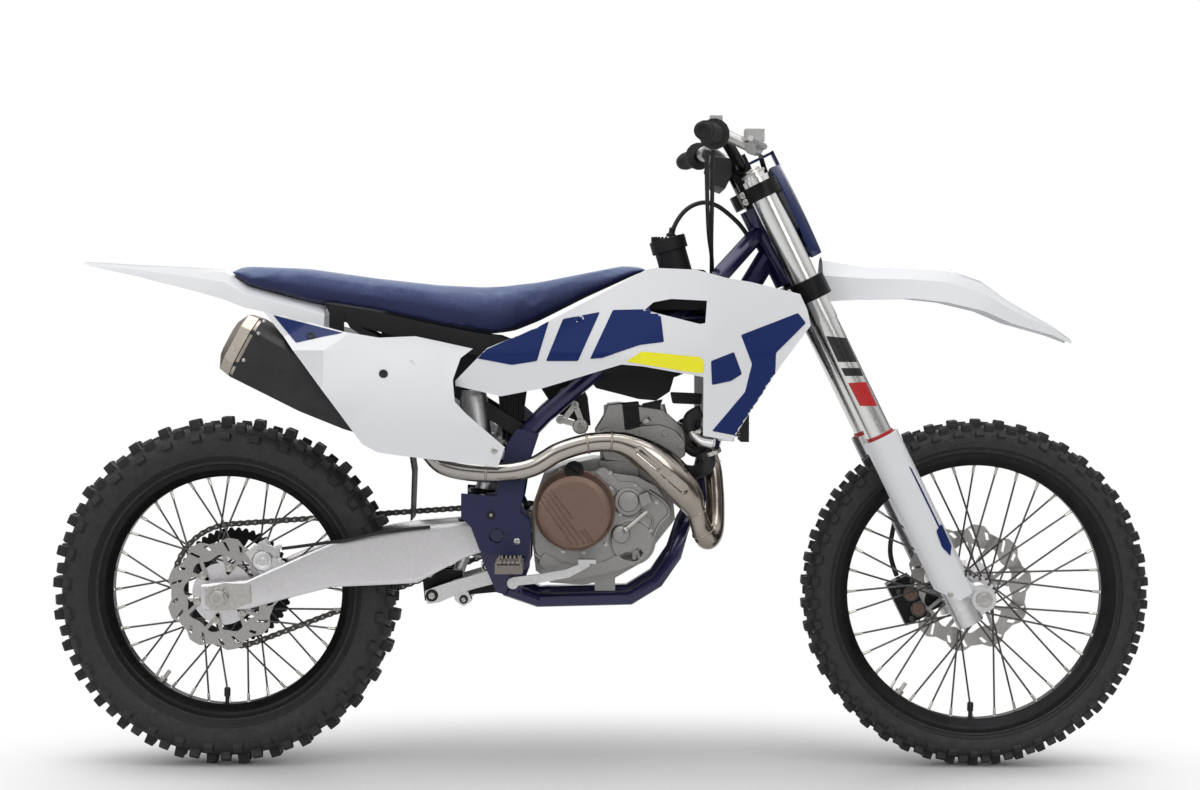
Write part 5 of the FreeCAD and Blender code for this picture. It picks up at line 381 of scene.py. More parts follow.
class Build:
    """Collects solids in one mesh, in the bike's frame."""

    def __init__(self):
        self.bm = bmesh.new()

    def vert(self, place):
        return self.bm.verts.new(place)

    def face(self, *corners):
        self.bm.faces.new(corners)

    def faces(self, points, faces):
        verts = [self.vert(p) for p in points]
        for face in faces:
            self.face(*[verts[i] for i in face])

    def loft(self, rings):
        """Faces between closed rings of vertices, one after the other."""
        for low, high in zip(rings, rings[1:]):
            for k in range(len(low)):
                j = (k + 1) % len(low)
                self.face(low[k], low[j], high[j], high[k])

    def box(self, centre, size, x=X, z=Z, top=1.0):
        """A block along x and near z, whose top is narrowed to a share."""
        x = x.normalized()
        y = z.cross(x).normalized()
        z = x.cross(y).normalized()
        corners = []
        for k, share in ((-0.5, 1.0), (0.5, top)):
            for i, j in ((-0.5, -0.5), (0.5, -0.5), (0.5, 0.5), (-0.5, 0.5)):
                off = x * size[0] * i * share + y * size[1] * j * share + z * size[2] * k
                corners.append(centre + off * MM)
        self.faces(corners, [(3, 2, 1, 0), (4, 5, 6, 7), (0, 1, 5, 4), (1, 2, 6, 5), (2, 3, 7, 6), (3, 0, 4, 7)])

    def lathe(self, centre, axis, profile, segments=32, closed=False):
        """profile is (radius, along), turned about the axis from centre."""
        axis = axis.normalized()
        side = axis.orthogonal().normalized()
        other = axis.cross(side)
        ways = [side * c + other * s for c, s in circle(segments)]
        rings = []
        for radius, along in profile:
            middle = centre + axis * along * MM
            if radius:
                rings.append([self.vert(middle + way * radius * MM) for way in ways])
            else:
                rings.append([self.vert(middle)] * segments)
        for low, high in zip(rings, rings[1:] + rings[:1] if closed else rings[1:]):
            for i in range(segments):
                j = (i + 1) % segments
                corners = dict.fromkeys((low[i], low[j], high[j], high[i]))
                if len(corners) > 2:
                    self.face(*corners)
        for ring, (radius, _) in () if closed else ((rings[0], profile[0]), (rings[-1], profile[-1])):
            if radius:
                self.face(*ring)

    def rod(self, start, end, radius, segments=12):
        self.lathe(start, end - start, [(radius, 0), (radius, (end - start).length / MM)], segments)

    def screw(self, place, out, radius=4.0, height=4.0, kind="hex", flange=1.5):
        """A flanged screw whose head stands out from place."""
        r, h = radius, height
        out = out.normalized()
        self.lathe(place - out * 0.5 * MM, out, [(r * flange, 0), (r * flange, 1.2), (r * 1.1, 1.9), (0, 1.9)], 20)
        hexagon = [(r, 0), (r, h * 0.85), (r * 0.84, h), (0, h)]
        socket = [(r, 0), (r, h * 0.8), (r * 0.85, h), (r * 0.55, h), (r * 0.5, h * 0.35), (0, h * 0.35)]
        if kind == "hex":
            self.lathe(place + out * MM, out, hexagon, 6)
        else:
            self.lathe(place + out * MM, out, socket, 12)

    def done(self, name, material, body="chassis", bevel=0.0, mirror=False, replaces=(), segments=2):
        bm = self.bm
        if mirror:
            copy = bmesh.ops.duplicate(bm, geom=bm.verts[:] + bm.edges[:] + bm.faces[:])["geom"]
            for v in copy:
                if isinstance(v, bmesh.types.BMVert):
                    v.co.y = -v.co.y
            bmesh.ops.reverse_faces(bm, faces=[f for f in copy if isinstance(f, bmesh.types.BMFace)])
        bmesh.ops.recalc_face_normals(bm, faces=bm.faces)
        mesh = bpy.data.meshes.new(name)
        bm.to_mesh(mesh)
        bm.free()
        obj = place_in_scene(name, mesh)
        mesh.materials.append(MAT[material].mat)
        finish_edges(obj, bevel, segments)
        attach(obj, body)
        if replaces:
            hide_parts(*replaces)


def hose(name, points, radius):
    """A smooth rubber cable or hose on its control points."""
    curve = bpy.data.curves.new(name, "CURVE")
    curve.dimensions = "3D"
    spline = curve.splines.new("NURBS")
    spline.points.add(len(points) - 1)
    for point, place in zip(spline.points, points):
        point.co = (*place, 1)
    spline.order_u = 3
    spline.use_endpoint_u = True
    spline.resolution_u = 8
    curve.bevel_depth = radius * MM
    curve.bevel_resolution = 4
    curve.use_fill_caps = True
    curve.materials.append(MAT["black_rubber"].mat)
    return place_in_scene(name, curve)


def as_mesh(obj):
    """The curve's tube as a mesh object of the same name."""
    name = obj.name
    graph = bpy.context.evaluated_depsgraph_get()
    mesh = bpy.data.meshes.new_from_object(obj.evaluated_get(graph))
    bpy.data.objects.remove(obj)
    for face in mesh.polygons:
        face.use_smooth = True
    return place_in_scene(name, mesh)


def rounded_outline(corners, radius):
    """An outline whose corners are each cut by a small arc."""
    out = []
    for i, here in enumerate(corners):
        here = Vector(here)
        a, b = Vector(corners[i - 1]) - here, Vector(corners[(i + 1) % len(corners)]) - here
        cut = min(radius, a.length * 0.4, b.length * 0.4)
        a, b = here + a.normalized() * cut, here + b.normalized() * cut
        for t in (0, 0.25, 0.5, 0.75, 1):
            out.append(a * (1 - t) ** 2 + here * 2 * t * (1 - t) + b * t * t)
    return out


def film(name, node, corners, material, body="chassis", lift=0.7, cell=2.5, radius=1.6):
    """A thin film laid on a node, on both sides: outline, cells and corner radius are in the photograph's pixels."""
    build = Build()
    bm = build.bm
    outline = rounded_outline(corners, radius)
    build.face(*[build.vert((p.x, p.y, 0)) for p in outline])
    for axis, normal in enumerate((X, LEFT)):
        low, high = min(p[axis] for p in outline), max(p[axis] for p in outline)
        for k in range(1, int((high - low) / cell) + 1):
            geom = bm.verts[:] + bm.edges[:] + bm.faces[:]
            bmesh.ops.bisect_plane(bm, geom=geom, plane_co=normal * (low + k * cell), plane_no=normal)
    tree = surface_of(node)
    for v in bm.verts:
        way = sight(v.co.x, v.co.y)
        hit, normal, _, _ = tree.ray_cast(EYE, way)
        if hit is None:
            hit, normal, _, _ = tree.find_nearest(seen(v.co.x, v.co.y, 150))
        if normal.dot(way) > 0:
            normal = -normal
        v.co = hit + normal * lift * MM
    build.done(name, material, body, mirror=True)


def smooth_line(stops, steps=8):
    """Stations (a place and some numbers) joined by Catmull-Rom curves."""
    out = []
    ends = [stops[0]] + list(stops) + [stops[-1]]
    for a, b, c, d in zip(ends, ends[1:], ends[2:], ends[3:]):
        for k in range(steps):
            t = k / steps
            out.append([
                0.5 * (2 * q + (r - p) * t + (2 * p - 5 * q + 4 * r - s) * t * t + (3 * q - p - 3 * r + s) * t ** 3)
                for p, q, r, s in zip(a, b, c, d)
            ])
    return out + [list(stops[-1])]


def heading(line, i):
    """The direction of a line of stations at one of them."""
    a, b = line[max(i - 1, 0)], line[min(i + 1, len(line) - 1)]
    return Vector([q - p for p, q in zip(a[:3], b[:3])]).normalized()


def tube(build, line, segments=24):
    """A round tube along points (x, y, z, radius) in mm; returns its rings."""
    rings = []
    side = LEFT.cross(heading(line, 0))
    for i, (x, y, z, radius) in enumerate(line):
        ahead = heading(line, i)
        side = (side - ahead * side.dot(ahead)).normalized()
        other = ahead.cross(side)
        rings.append([build.vert(mm(x, y, z) + (side * c + other * s) * radius * MM) for c, s in circle(segments)])
    build.loft(rings)
    build.face(*rings[0][::-1])
    build.face(*rings[-1])
    return rings


def plate_faces(n):
    """Faces over an outline of n points and the same outline on the plate's other side."""
    faces = [tuple(range(n)), tuple(range(2 * n - 1, n - 1, -1))]
    return faces + [(i, n + i, n + (i + 1) % n, (i + 1) % n) for i in range(n)]


def prism(build, outline, side, thick, inset=0.0):
    """A plate whose outline is in places (x, z), thick outward to the right from a side distance."""
    n = len(outline)
    middle = (sum(p[0] for p in outline) / n, sum(p[1] for p in outline) / n)
    points = [mm(x, -side, z) for x, z in outline]
    for x, z in outline:
        dx, dz = x - middle[0], z - middle[1]
        far = max(1.0, math.hypot(dx, dz))
        points.append(mm(x - dx / far * inset, -side - thick, z - dz / far * inset))
    build.faces(points, plate_faces(n))


def flat_shape(crop, corners, side, radius):
    """Corners in a crop turned into a rounded outline of places (x, z) in mm on one side distance."""
    places = [seen(*at(crop, x, y), side) for x, y in corners]
    return [(p.x, p.y) for p in rounded_outline([(p.x / MM, p.z / MM) for p in places], radius)]


def slabs(build, rows):
    """Prisms by the engine's crop: side distance, corner radius, thickness, inset and corners."""
    for side, radius, thick, inset, *corners in rows:
        prism(build, flat_shape("engine", corners, side, radius), side, thick, inset)


def screws(name, body, crop, places, mirror=False):
    """Screws set on nodes where a crop shows them: place, radius, height, kind and nodes."""
    build = Build()
    for x, y, radius, height, kind, *nodes in places:
        hit, out = touch(*at(crop, x, y), nodes)
        build.screw(hit, out, radius, height, kind)
    build.done(name, "zinc", body, bevel=0.25, segments=1, mirror=mirror)


def boss(build, place, radius, height, segments=40, dome=0.0):
    """A round boss to the right, on a wider foot."""
    r, h = radius, height + 4
    foot = [(r * 1.14, 0), (r * 1.14, 4), (r * 1.03, 6), (r, 4.5 + height * 0.82)]
    top = [(r * 0.93, h), (r * 0.5, h + dome), (0, h + dome * 1.3)]
    build.lathe(place - RIGHT * 0.004, RIGHT, foot + top, segments)


def stations(places):
    """Places in the engine's crop with a side distance and a radius, as stations in mm."""
    return [(*(v / MM for v in engine(x, y, side)), radius) for x, y, side, radius in places]


def rib(build, points, radius, side):
    """A round rib through places in the engine's crop."""
    tube(build, smooth_line(stations([(x, y, side, radius) for x, y in points]), 6), 12)


# Wheels
def wheel_point(axle, radius, side, turn):
    """A place on a wheel, at a turn in degrees from its top."""
    turn = math.radians(turn)
    return axle + Vector((radius * math.sin(turn), side, radius * math.cos(turn))) * MM


def wheel_ways(turn):
    """The directions outward and onward on a wheel, at a turn in degrees."""
    a = math.radians(turn)
    return Vector((math.sin(a), 0, math.cos(a))), Vector((math.cos(a), 0, -math.sin(a)))


def knob(build, axle, radius, side, tilt, turn, width, length, height, sink=5.0, narrow=0.84):
    """One tread block: its foot in the carcass, its top slightly narrower."""
    out, onward = wheel_ways(turn)
    lean = math.radians(tilt)
    up = out * math.cos(lean) + LEFT * math.sin(lean)
    centre = axle + (out * radius + LEFT * side) * MM + up * (height - sink) / 2 * MM
    build.box(centre, (length, width, height + sink), onward, up, narrow)


WALL = (
    (0.22, 0.86), (0.4, 0.965), (0.55, 1.0), (0.7, 0.96), (0.8, 0.86), (0.88, 0.72), (0.95, 0.48), (0.985, 0.24),
)


def tyre(name, rim, half_rim, crown, half, rows, lug, lengths, pairs):
    """A carcass with bead ribs, and its tread: a crown row and two shoulder rows of blocks on each side."""
    axle, body, material = AXLES[name], f"{name}_wheel", f"{name}_tyre_rubber"
    swell = crown - rim
    skin = [(rim - 1, half_rim - 1), (rim + 3, half_rim + 1.5), (rim + 6, half_rim + 1), (rim + 9, half_rim + 4)]
    skin += [(rim + swell * share, half * out) for share, out in WALL]
    carcass = Build()
    carcass.lathe(axle, LEFT, skin + [(crown, 0)] + [(r, -s) for r, s in reversed(skin)], 156, closed=True)
    carcass.done(f"{name}_carcass", material, body, replaces=(f"{name}_tyre",))
    blocks, ridges = Build(), Build()
    pitch = 360.0 / rows
    long, middle_width, outer_width = lengths
    for k in range(rows):
        turn = k * pitch
        offset, width = pairs[k % 2]
        for sign in (-1, 1):
            knob(blocks, axle, crown - 1, sign * offset, sign * 5, turn, width, long, lug + 1)
            knob(blocks, axle, crown - swell * 0.12, sign * half * 0.66, sign * 26, turn + pitch * 0.5,
                 middle_width, long * 1.02, lug * 0.94)
            knob(blocks, axle, crown - swell * 0.3, sign * half * 0.93, sign * 58, turn + pitch * 0.06,
                 outer_width, long * 0.94, lug * 0.62)
    blocks.done(f"{name}_tread", material, body, bevel=1.3)
    for k in range(rows * 2):
        out, onward = wheel_ways((k + 0.5) * pitch / 2)
        for sign in (-1, 1):
            place = axle + (out * (rim + swell * 0.62) + LEFT * sign * half * 0.97) * MM
            ridges.box(place, (5 + 9 * (k % 2), 2.4, swell * 0.2), onward, out, 0.55)
    ridges.done(f"{name}_tyre_ribs", material, body, bevel=0.6, segments=1)


def rim(name, inner, outer, half):
    """An aluminium rim with its beads and drop centre."""
    shape = [(outer, half), (outer + 0.5, half - 1.2), (outer - 2, half - 3.6), (outer - 7, half - 4.4),
             (outer - 10, half - 8), (inner + 3, half * 0.5), (inner + 2.4, 0)]
    under = [(inner, 0), (inner + 0.2, half * 0.42), (inner + 5, half * 0.56), (outer - 12, half * 0.9),
             (outer - 8, half * 0.955), (outer - 3, half)]
    loop = shape + [(r, -s) for r, s in reversed(shape[:-1])] + [(r, -s) for r, s in reversed(under)] + under[1:]
    band = Build()
    band.lathe(AXLES[name], LEFT, loop, 156, closed=True)
    band.done(f"{name}_rim_band", "black_metal", f"{name}_wheel", replaces=(f"{name}_rim",))


def laced(name, hub_radius, hub_side, rim_radius, count=36, sweep=60.0):
    """Round spokes with bent heads, and a nipple at the rim end of each."""
    axle = AXLES[name]
    wires, nipples = Build(), Build()
    per = count // 2
    for flange, start_turn in ((1, 0.0), (-1, 180.0 / per)):
        for k in range(per):
            lean = 1 if k % 2 else -1
            turn = start_turn + k * 360.0 / per
            start = wheel_point(axle, hub_radius, flange * hub_side + lean * 3.6, turn)
            end = wheel_point(axle, rim_radius, flange * 4.0, turn + lean * sweep)
            ahead = (end - start).normalized()
            wires.rod(start, end, 1.95, 8)
            head = wheel_point(axle, hub_radius - 4, flange * hub_side + lean * 3.6, turn)
            wires.rod(head, start + ahead * MM, 1.9, 8)
            wires.lathe(head - LEFT * lean * 1.6 * MM, LEFT * lean, [(2.2, 0), (3.1, 1.6), (2.6, 3.4), (0, 3.9)], 10)
            nipples.lathe(end - ahead * 17 * MM, ahead, [(2.1, 0), (3.0, 1.5), (3.0, 15), (4.4, 16.5), (4.4, 18)], 8)
    wires.done(f"{name}_spokes", "dark_steel", f"{name}_wheel")
    nipples.done(f"{name}_nipples", "zinc", f"{name}_wheel", bevel=0.2, segments=1)


def flange(build, axle, radius, side, bore, thick=6, teeth=18):
    """A scalloped hub flange, as four rings of points joined into a closed loop."""
    n = teeth * 8
    turns = [360.0 * k / n for k in range(n)]
    edge = [radius * (0.86 + 0.14 * min(1, (0.5 + 0.5 * c) * 1.35)) for c, _ in circle(8)] * teeth
    near, far = side - thick / 2, side + thick / 2
    points = []
    for radii, s in ((edge, near), ([bore] * n, near), ([bore] * n, far), (edge, far)):
        points += [wheel_point(axle, r, s, t) for r, t in zip(radii, turns)]
    build.faces(points, loop_faces(4, n))


def loop_faces(rings, n):
    """Faces over rings of n points whose last ring joins the first."""
    return [
        (a * n + i, a * n + (i + 1) % n, (a + 1) % rings * n + (i + 1) % n, (a + 1) % rings * n + i)
        for a in range(rings) for i in range(n)
    ]


def wheel_hub(name, radius, side, bore, *profile):
    """A hub turned from a profile, with its two flanges."""
    hub, axle = Build(), AXLES[name]
    hub.lathe(axle, LEFT, profile, 48, closed=True)
    for sign in (1, -1):
        flange(hub, axle, radius, sign * side, bore)
    hub.done(f"{name}_hub_body", "satin_alloy", f"{name}_wheel", bevel=0.5, replaces=(f"{name}_hub",))


tyre("front", 279.4, 24.5, 332.0, 40.0, 46, 13.5, (19.5, 14, 13), ((9.0, 15.5), (11.5, 14.5)))
tyre("rear", 252.4, 29.0, 330.0, 54.0, 33, 15.5, (22.0, 19, 17), ((17.0, 17.0), (12.5, 20.0)))
rim("front", 253.0, 279.0, 25.0)
rim("rear", 227.0, 252.0, 30.0)
laced("front", 34.5, 39.0, 252.4)
laced("rear", 46.5, 49.0, 226.4)
wheel_hub("front", 36.5, 39, 20, (10.1, -50), (17, -50), (17.3, -44), (24, -42), (24, -36), (20, -31), (18.5, -10),
          (18.5, 10), (20, 31), (24, 36), (24, 42), (52, 58.4), (57.5, 60.3), (57.5, 60.6), (17, 60.6), (17, 62),
          (10.1, 62))
wheel_hub("rear", 49.0, 49, 32, (12.6, -68), (24, -68), (24, -66.6), (61, -66.4), (61, -62), (36, -54), (34, -46),
          (30, -40), (28, 0), (30, 40), (34, 46), (38, 54), (65, 69), (65, 72.9), (24.5, 72.9), (24.5, 80), (12.6, 80))

# Carried-over nodes: the material and the round-over of each one's edges in mm
for material, nodes in {
    "black_metal": {"rear_sprocket": 0.3, "triple_clamps": 1.2, "handlebar": 0.3, "front_caliper": 1.2,
                    "shock_linkage": 0.8, "shock_spring": 0.3},
    "polished_tube": {"fork_tubes": 0.4}, "seal_red": {"seal_rings": 0.6}, "frame_paint": {"frame": 0.8},
    "bare_alloy": {"fork_legs": 0.8, "rear_shock": 0.8, "rear_caliper": 1.2, "radiators": 1.0, "brake_pedal": 0.8,
                   "shift_lever": 0.8},
    "white_plastic": {"fork_guards": 1.0, "front_fender": 0.25, "shrouds": 1.0, "side_panels": 1.0,
                      "rear_fender": 1.0},
    "black_rubber": {"grips": 0.6, "bar_pad": 3.0}, "cast_light": {"brake_control": 0.8, "clutch_control": 0.8},
    "steel": {"front_axle": 0.6, "rear_axle": 0.6}, "satin_alloy": {"swingarm": 1.6},
    "cast_grey": {"crankcase": 2.0, "cylinder": 2.0}, "bronze_cover": {"clutch_cover": 1.2, "ignition_cover": 1.2},
    "black_plastic": {"throttle_body": 2.0, "subframe": 1.5, "fuel_tank": 3.0, "tank_cap": 1.5},
    "satin_black_metal": {"muffler": 2.0}, "titanium": {"muffler_end_cap": 1.0}, "blue_plastic": {"frame_guards": 1.5},
    "dark_steel": {"footpeg_mounts": 0.8}, "peg_steel": {"footpeg_right": 0.5, "footpeg_left": 0.5},
}.items():
    for node, bevel in nodes.items():
        dress(node, material, bevel)

# Cables and hoses
CABLES = [
    [(446, -256, 254), (447, -236, 226), (448, -202, 180), (450, -156, 132), (452, -108, 92), (455, -66, 66),
     (457, -34, 47), (458, -12, 14), (457, -10, -44), (452, -9, -96), (434, -10, -140), (399, -10, -168),
     (350, -10, -179), (297, -10, -181), (246, -10, -180), (201, -10, -185)],
    [(434, -262, 254), (435, -242, 222), (438, -210, 176), (442, -166, 130), (447, -120, 96), (453, -82, 74),
     (457, -48, 56), (459, -21, 27), (458, -19, -24), (453, -21, -84), (434, -22, -134), (398, -22, -166),
     (350, -22, -180), (299, -22, -181), (248, -22, -180), (201, -22, -185)],
]
for index, route in enumerate(CABLES):
    cable = as_mesh(hose(f"throttle_cable_{index + 1}", [mm(*p) for p in route], 4.0))
    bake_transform(cable)
    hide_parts("control_cables")
VENT = [(379, 0, 110), (383, 0, 122), (396, 2, 146), (416, 5, 165), (443, 7, 174), (467, 6, 168), (486, 5, 155),
        (503, 3, 140), (517, 1, 126), (528, 0, 110)]
vent = hose("tank_vent_hose", [mm(*p) for p in VENT], 4.5)
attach(vent, "chassis")
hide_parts("vent_hose")
BRAKE_HOSE = [
    (-14, -98, 962), (-14, -45, 940), (-10, 0, 900), (-6, 42, 850), (-4, 82, 795), (-3, 112, 740), (-4, 128, 680),
    (-8, 132.5, 620), (-11, 134, 560), (-12.5, 132.6, 500), (-14, 134, 440), (-13, 132.8, 380), (-15, 134.5, 320),
    (-20, 137, 268), (-34, 142, 222), (-56, 142, 190), (-80, 131, 162), (-102, 112, 137), (-114, 94, 112),
    (-118, 76, 83.4),
]
brake_hose = hose("front_brake_line", [on_fork(*p) for p in BRAKE_HOSE], 5.0)
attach(brake_hose, "steering")
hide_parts("front_brake_hose")

# The header pipe, swept along its own centre line with pressed recesses, and its weld beads
HEADER = [
    (394, -16, -273, 20), (434, -40, -300, 19), (457, -54, -343, 18), (464, -62, -397, 18), (464, -70, -448, 19),
    (459, -80, -475, 21), (449, -94, -486, 22), (440, -105, -475, 21), (432, -110, -454, 19), (425, -114, -433, 19.5),
    (412, -117, -407, 28), (389, -119, -376, 35), (360, -123, -346, 36), (326, -127, -320, 31), (296, -130, -304, 24),
    (263, -131, -296, 20), (214, -133, -299, 19), (159, -134, -316, 19), (104, -134, -346, 19), (31, -134, -356, 19),
    (-60, -134, -343, 19), (-105, -114, -298, 20), (-142, -114, -278, 20),
]
line = smooth_line(HEADER, 14)
pipe = Build()
rings = tube(pipe, line, 110)
DEPTH, SLOPE = 2.6, 5.0  # of a recess, in mm
OUTER_SIDE, FADE = -0.130, 0.014  # the recesses begin at this y, in metres, and are full so much farther out
for start, end, width in (((1078, 498), (1168, 572), 9.5), ((1196, 600), (1292, 684), 10.0)):
    a, b = engine(*start, 155), engine(*end, 155)
    run = Vector((b.x - a.x, 0, b.z - a.z))
    for ring in rings:
        for v in ring:
            off = Vector((v.co.x - a.x, 0, v.co.z - a.z))
            t = max(0.0, min(1.0, off.dot(run) / run.length_squared))
            apart = (off - run * t).length / MM
            outer = max(0.0, min(1.0, (OUTER_SIDE - v.co.y) / FADE))
            if apart < width:
                press = min(1.0, (width - apart) / SLOPE)
                v.co.y += DEPTH * outer * press * press * (3 - 2 * press) * MM
pipe.done("header_pipe", "header_steel", replaces=("exhaust_pipe",))


def nearest_on(line, px, py):
    """The index on a line of the point that is seen nearest a pixel."""
    way = sight(px, py)

    def apart(i):
        p = mm(*line[i][:3]) - EYE
        return (p - way * p.dot(way)).length
    return min(range(len(line)), key=apart)


beads = Build()
shown = [nearest_on(line, *at("engine", x, y)) for x, y in ((825, 460), (940, 450), (1352, 800))]
for i in shown + [28, 100, 268, 304]:
    x, y, z, radius = line[i]
    r = radius + 0.2
    bead = [(r - 2, -2.2), (r, -2.2), (r + 1.2, -1.4), (r + 1.7, 0), (r + 1.2, 1.4), (r, 2.2), (r - 2, 2.2)]
    beads.lathe(mm(x, y, z), heading(line, i), bead, 48, closed=True)
beads.done("header_welds", "weld_bead")

# Graphics: plain bands, laid on the panels as films, with no words or marks
film("shroud_wedge", "shrouds", [(470, 357), (549, 321), (537, 361), (512, 365)], "navy_film")
film("shroud_band_rear", "shrouds", [(563, 319), (600, 312), (578, 361), (546, 361)], "navy_film")
film("shroud_band_middle", "shrouds", [(613, 310), (660, 309), (664, 342), (640, 345), (602, 358), (590, 359)],
     "navy_film")
film("shroud_stripe", "shrouds", [(626, 361.5), (642, 351.5), (700, 357), (704, 361), (704, 373), (690, 372)],
     "yellow_film")
film("shroud_band_front", "shrouds", [(741, 335), (798, 313), (806, 323), (776, 353), (775, 380), (752, 427),
                                      (738, 436), (712, 431), (745, 392), (752, 364)], "navy_film")
film("shroud_block_front", "shrouds", [(711, 361), (734, 352), (742, 374), (731, 381), (712, 385)], "navy_film")
film("panel_corner_film", "side_panels", [(273, 315), (343, 333), (322, 337), (296, 343)], "navy_film")

# The seat: its foam form, swelled a little by a cloth simulation under pressure
GRID, SHRINK, FURTHEST = 0.005, 0.0022, 0.005  # mesh size, inset before the swelling and its limit, in metres
STEPS = 20


def seat_pad():
    mesh = NODES["seat"].data.copy()
    mesh.name = "seat_foam"
    mesh.materials.clear()
    mesh.materials.append(MAT["seat_cover"].mat)
    pad = place_in_scene("seat_pad", mesh)
    pad.modifiers.new("join", "WELD").merge_threshold = 0.0002
    grid = pad.modifiers.new("voxels", "REMESH")
    grid.mode, grid.voxel_size = "VOXEL", GRID
    graph = bpy.context.evaluated_depsgraph_get()
    pad.data = bpy.data.meshes.new_from_object(pad.evaluated_get(graph))
    pad.modifiers.clear()
    mesh = pad.data
    bm = bmesh.new()
    bm.from_mesh(mesh)
    for _ in range(2):
        bmesh.ops.smooth_vert(bm, verts=bm.verts, factor=0.5, use_axis_x=True, use_axis_y=True, use_axis_z=True)
    bm.normal_update()
    for v in bm.verts:
        v.co -= v.normal * SHRINK
    bm.to_mesh(mesh)
    bm.free()
    rest = [v.co.copy() for v in mesh.vertices]
    cloth = pad.modifiers.new("cloth", "CLOTH")
    cloth.settings.use_pressure = True
    cloth.settings.uniform_pressure_force = 4
    cloth.settings.effector_weights.gravity = 0
    cloth.settings.quality = 5
    cloth.point_cache.frame_start, cloth.point_cache.frame_end = 1, STEPS
    for step in range(1, STEPS + 1):
        bpy.context.scene.frame_set(step)
    graph = bpy.context.evaluated_depsgraph_get()
    swelled = pad.evaluated_get(graph).to_mesh()
    moved = [v.co.copy() for v in swelled.vertices]
    pad.evaluated_get(graph).to_mesh_clear()
    pad.modifiers.clear()
    bpy.context.scene.frame_set(1)
    for v, start, end in zip(mesh.vertices, rest, moved):
        step = end - start
        v.co = start + step * min(1.0, FURTHEST / max(step.length, 1e-9))
    for face in mesh.polygons:
        face.use_smooth = True
    ease = pad.modifiers.new("ease", "SMOOTH")
    ease.factor, ease.iterations = 0.5, 6
    fine = pad.modifiers.new("round", "SUBSURF")
    fine.levels = fine.render_levels = 1
    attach(pad, "chassis")
    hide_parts("seat")


seat_pad()

# Screws, bolts and grommets where the photograph shows them
CASE_SCREWS = (930, 605), (1055, 662), (1160, 745), (1130, 885), (1055, 1022), (905, 1085), (725, 1115), (610, 1060)
COVER_SCREWS = (690, 590), (935, 677), (980, 805), (910, 952), (545, 805), (532, 772), (700, 985), (800, 990)
screws("cover_screws", "chassis", "engine",
       [(x, y, 3.2, 3.6, "hex", "clutch_cover", "crankcase") for x, y in COVER_SCREWS])
screws("case_screws", "chassis", "engine", [(x, y, 3.2, 3.6, "hex", "crankcase") for x, y in CASE_SCREWS])
grommets = Build()
for crop, node, x, y, r in (("engine", "frame_guards", 348, 810, 8.0), ("engine", "frame_guards", 360, 910, 8.0),
                            ("panel", "side_panels", 938, 571, 8.5), ("panel", "side_panels", 603, 397, 8.5)):
    hit, out = touch(*at(crop, x, y), [node])
    cup = [(r, 0), (r, 2.2), (r - 0.9, 3), (0.5 * r, 3), (0.46 * r, 1.4), (0, 1.4)]
    grommets.lathe(hit - out * MM, out, cup, 32)
grommets.done("panel_grommets", "black_plastic", bevel=0.15, segments=1, mirror=True)
screws("guard_bolts", "chassis", "engine", [
    (348, 810, 2.6, 4.2, "socket", "frame_guards"), (360, 910, 2.6, 4.2, "socket", "frame_guards"),
    (475, 938, 4.2, 3.0, "socket", "frame_guards")], mirror=True)
screws("panel_bolts", "chassis", "panel", [(1450, 925, 4.6, 3.0, "socket", "side_panels")], mirror=True)
screws("muffler_rivets", "chassis", "panel",
       [(x, y, 2.4, 2.4, "socket", "muffler") for x, y in ((362, 385), (293, 508), (388, 330))])
screws("fork_guard_bolts", "steering", "front", [
    (475, 1020, 3.6, 3.0, "socket", "fork_guards", "fork_legs"), (560, 1035, 2.6, 2.6, "socket", "fork_legs"),
], mirror=True)


# The clutch cover's face, with its sloping grooves pressed in
def cover_face(edge=70.0, flat=58, rows=58, turns=260):
    centre = engine(755, 795, 134)
    build = Build()
    grooves = []
    for start, end in (((590, 742), (742, 950)), ((606, 722), (772, 952)), ((624, 704), (802, 948)),
                       ((642, 690), (742, 822)), ((788, 888), (830, 944)), ((806, 884), (846, 938))):
        ends = [(engine(*p, 134) - centre) / MM for p in (start, end)]
        grooves.append([Vector((p.x, p.z)) for p in ends])

    def rise(x, z):
        far = math.hypot(x, z)
        height = 4.2 if far < flat else 4.2 - 5.2 * ((far - flat) / (edge - flat)) ** 1.6
        for a, b in grooves:
            run, off = b - a, Vector((x, z)) - a
            t = max(0.0, min(1.0, off.dot(run) / run.length_squared))
            height -= 1.9 * max(0.0, min(1.0, (2.3 - (off - run * t).length) / 0.9))
        return height

    middle = build.vert(centre + mm(0, -rise(0, 0), 0))
    rings = []
    for i in range(1, rows + 1):
        spots = [(edge * i / rows * c, edge * i / rows * s) for c, s in circle(turns)]
        rings.append([build.vert(centre + mm(x, -rise(x, z), z)) for x, z in spots])
    foot = [build.vert(v.co + Vector((0, 0.003, 0))) for v in rings[-1]]
    for k in range(turns):
        build.face(middle, rings[0][k], rings[0][(k + 1) % turns])
    build.loft(rings + [foot])
    build.face(*foot)
    build.done("clutch_cover_face", "bronze_cover")


cover_face()
cap = Build()
place, way = engine(755, 590, 112), Vector((0, -0.86, 0.5))
cap.lathe(place - way * 0.012, way, [(14.5, 0), (14.5, 10), (18.5, 11.5), (18.5, 17), (16, 18.5), (12.5, 18.5),
                                     (11.5, 15.5), (0, 15.5)], 40)
cap.box(place + way * 0.006, (21, 4, 6), Vector((0.8, -0.3, -0.52)), way)
cap.done("oil_filler_cap", "black_plastic", bevel=0.6)

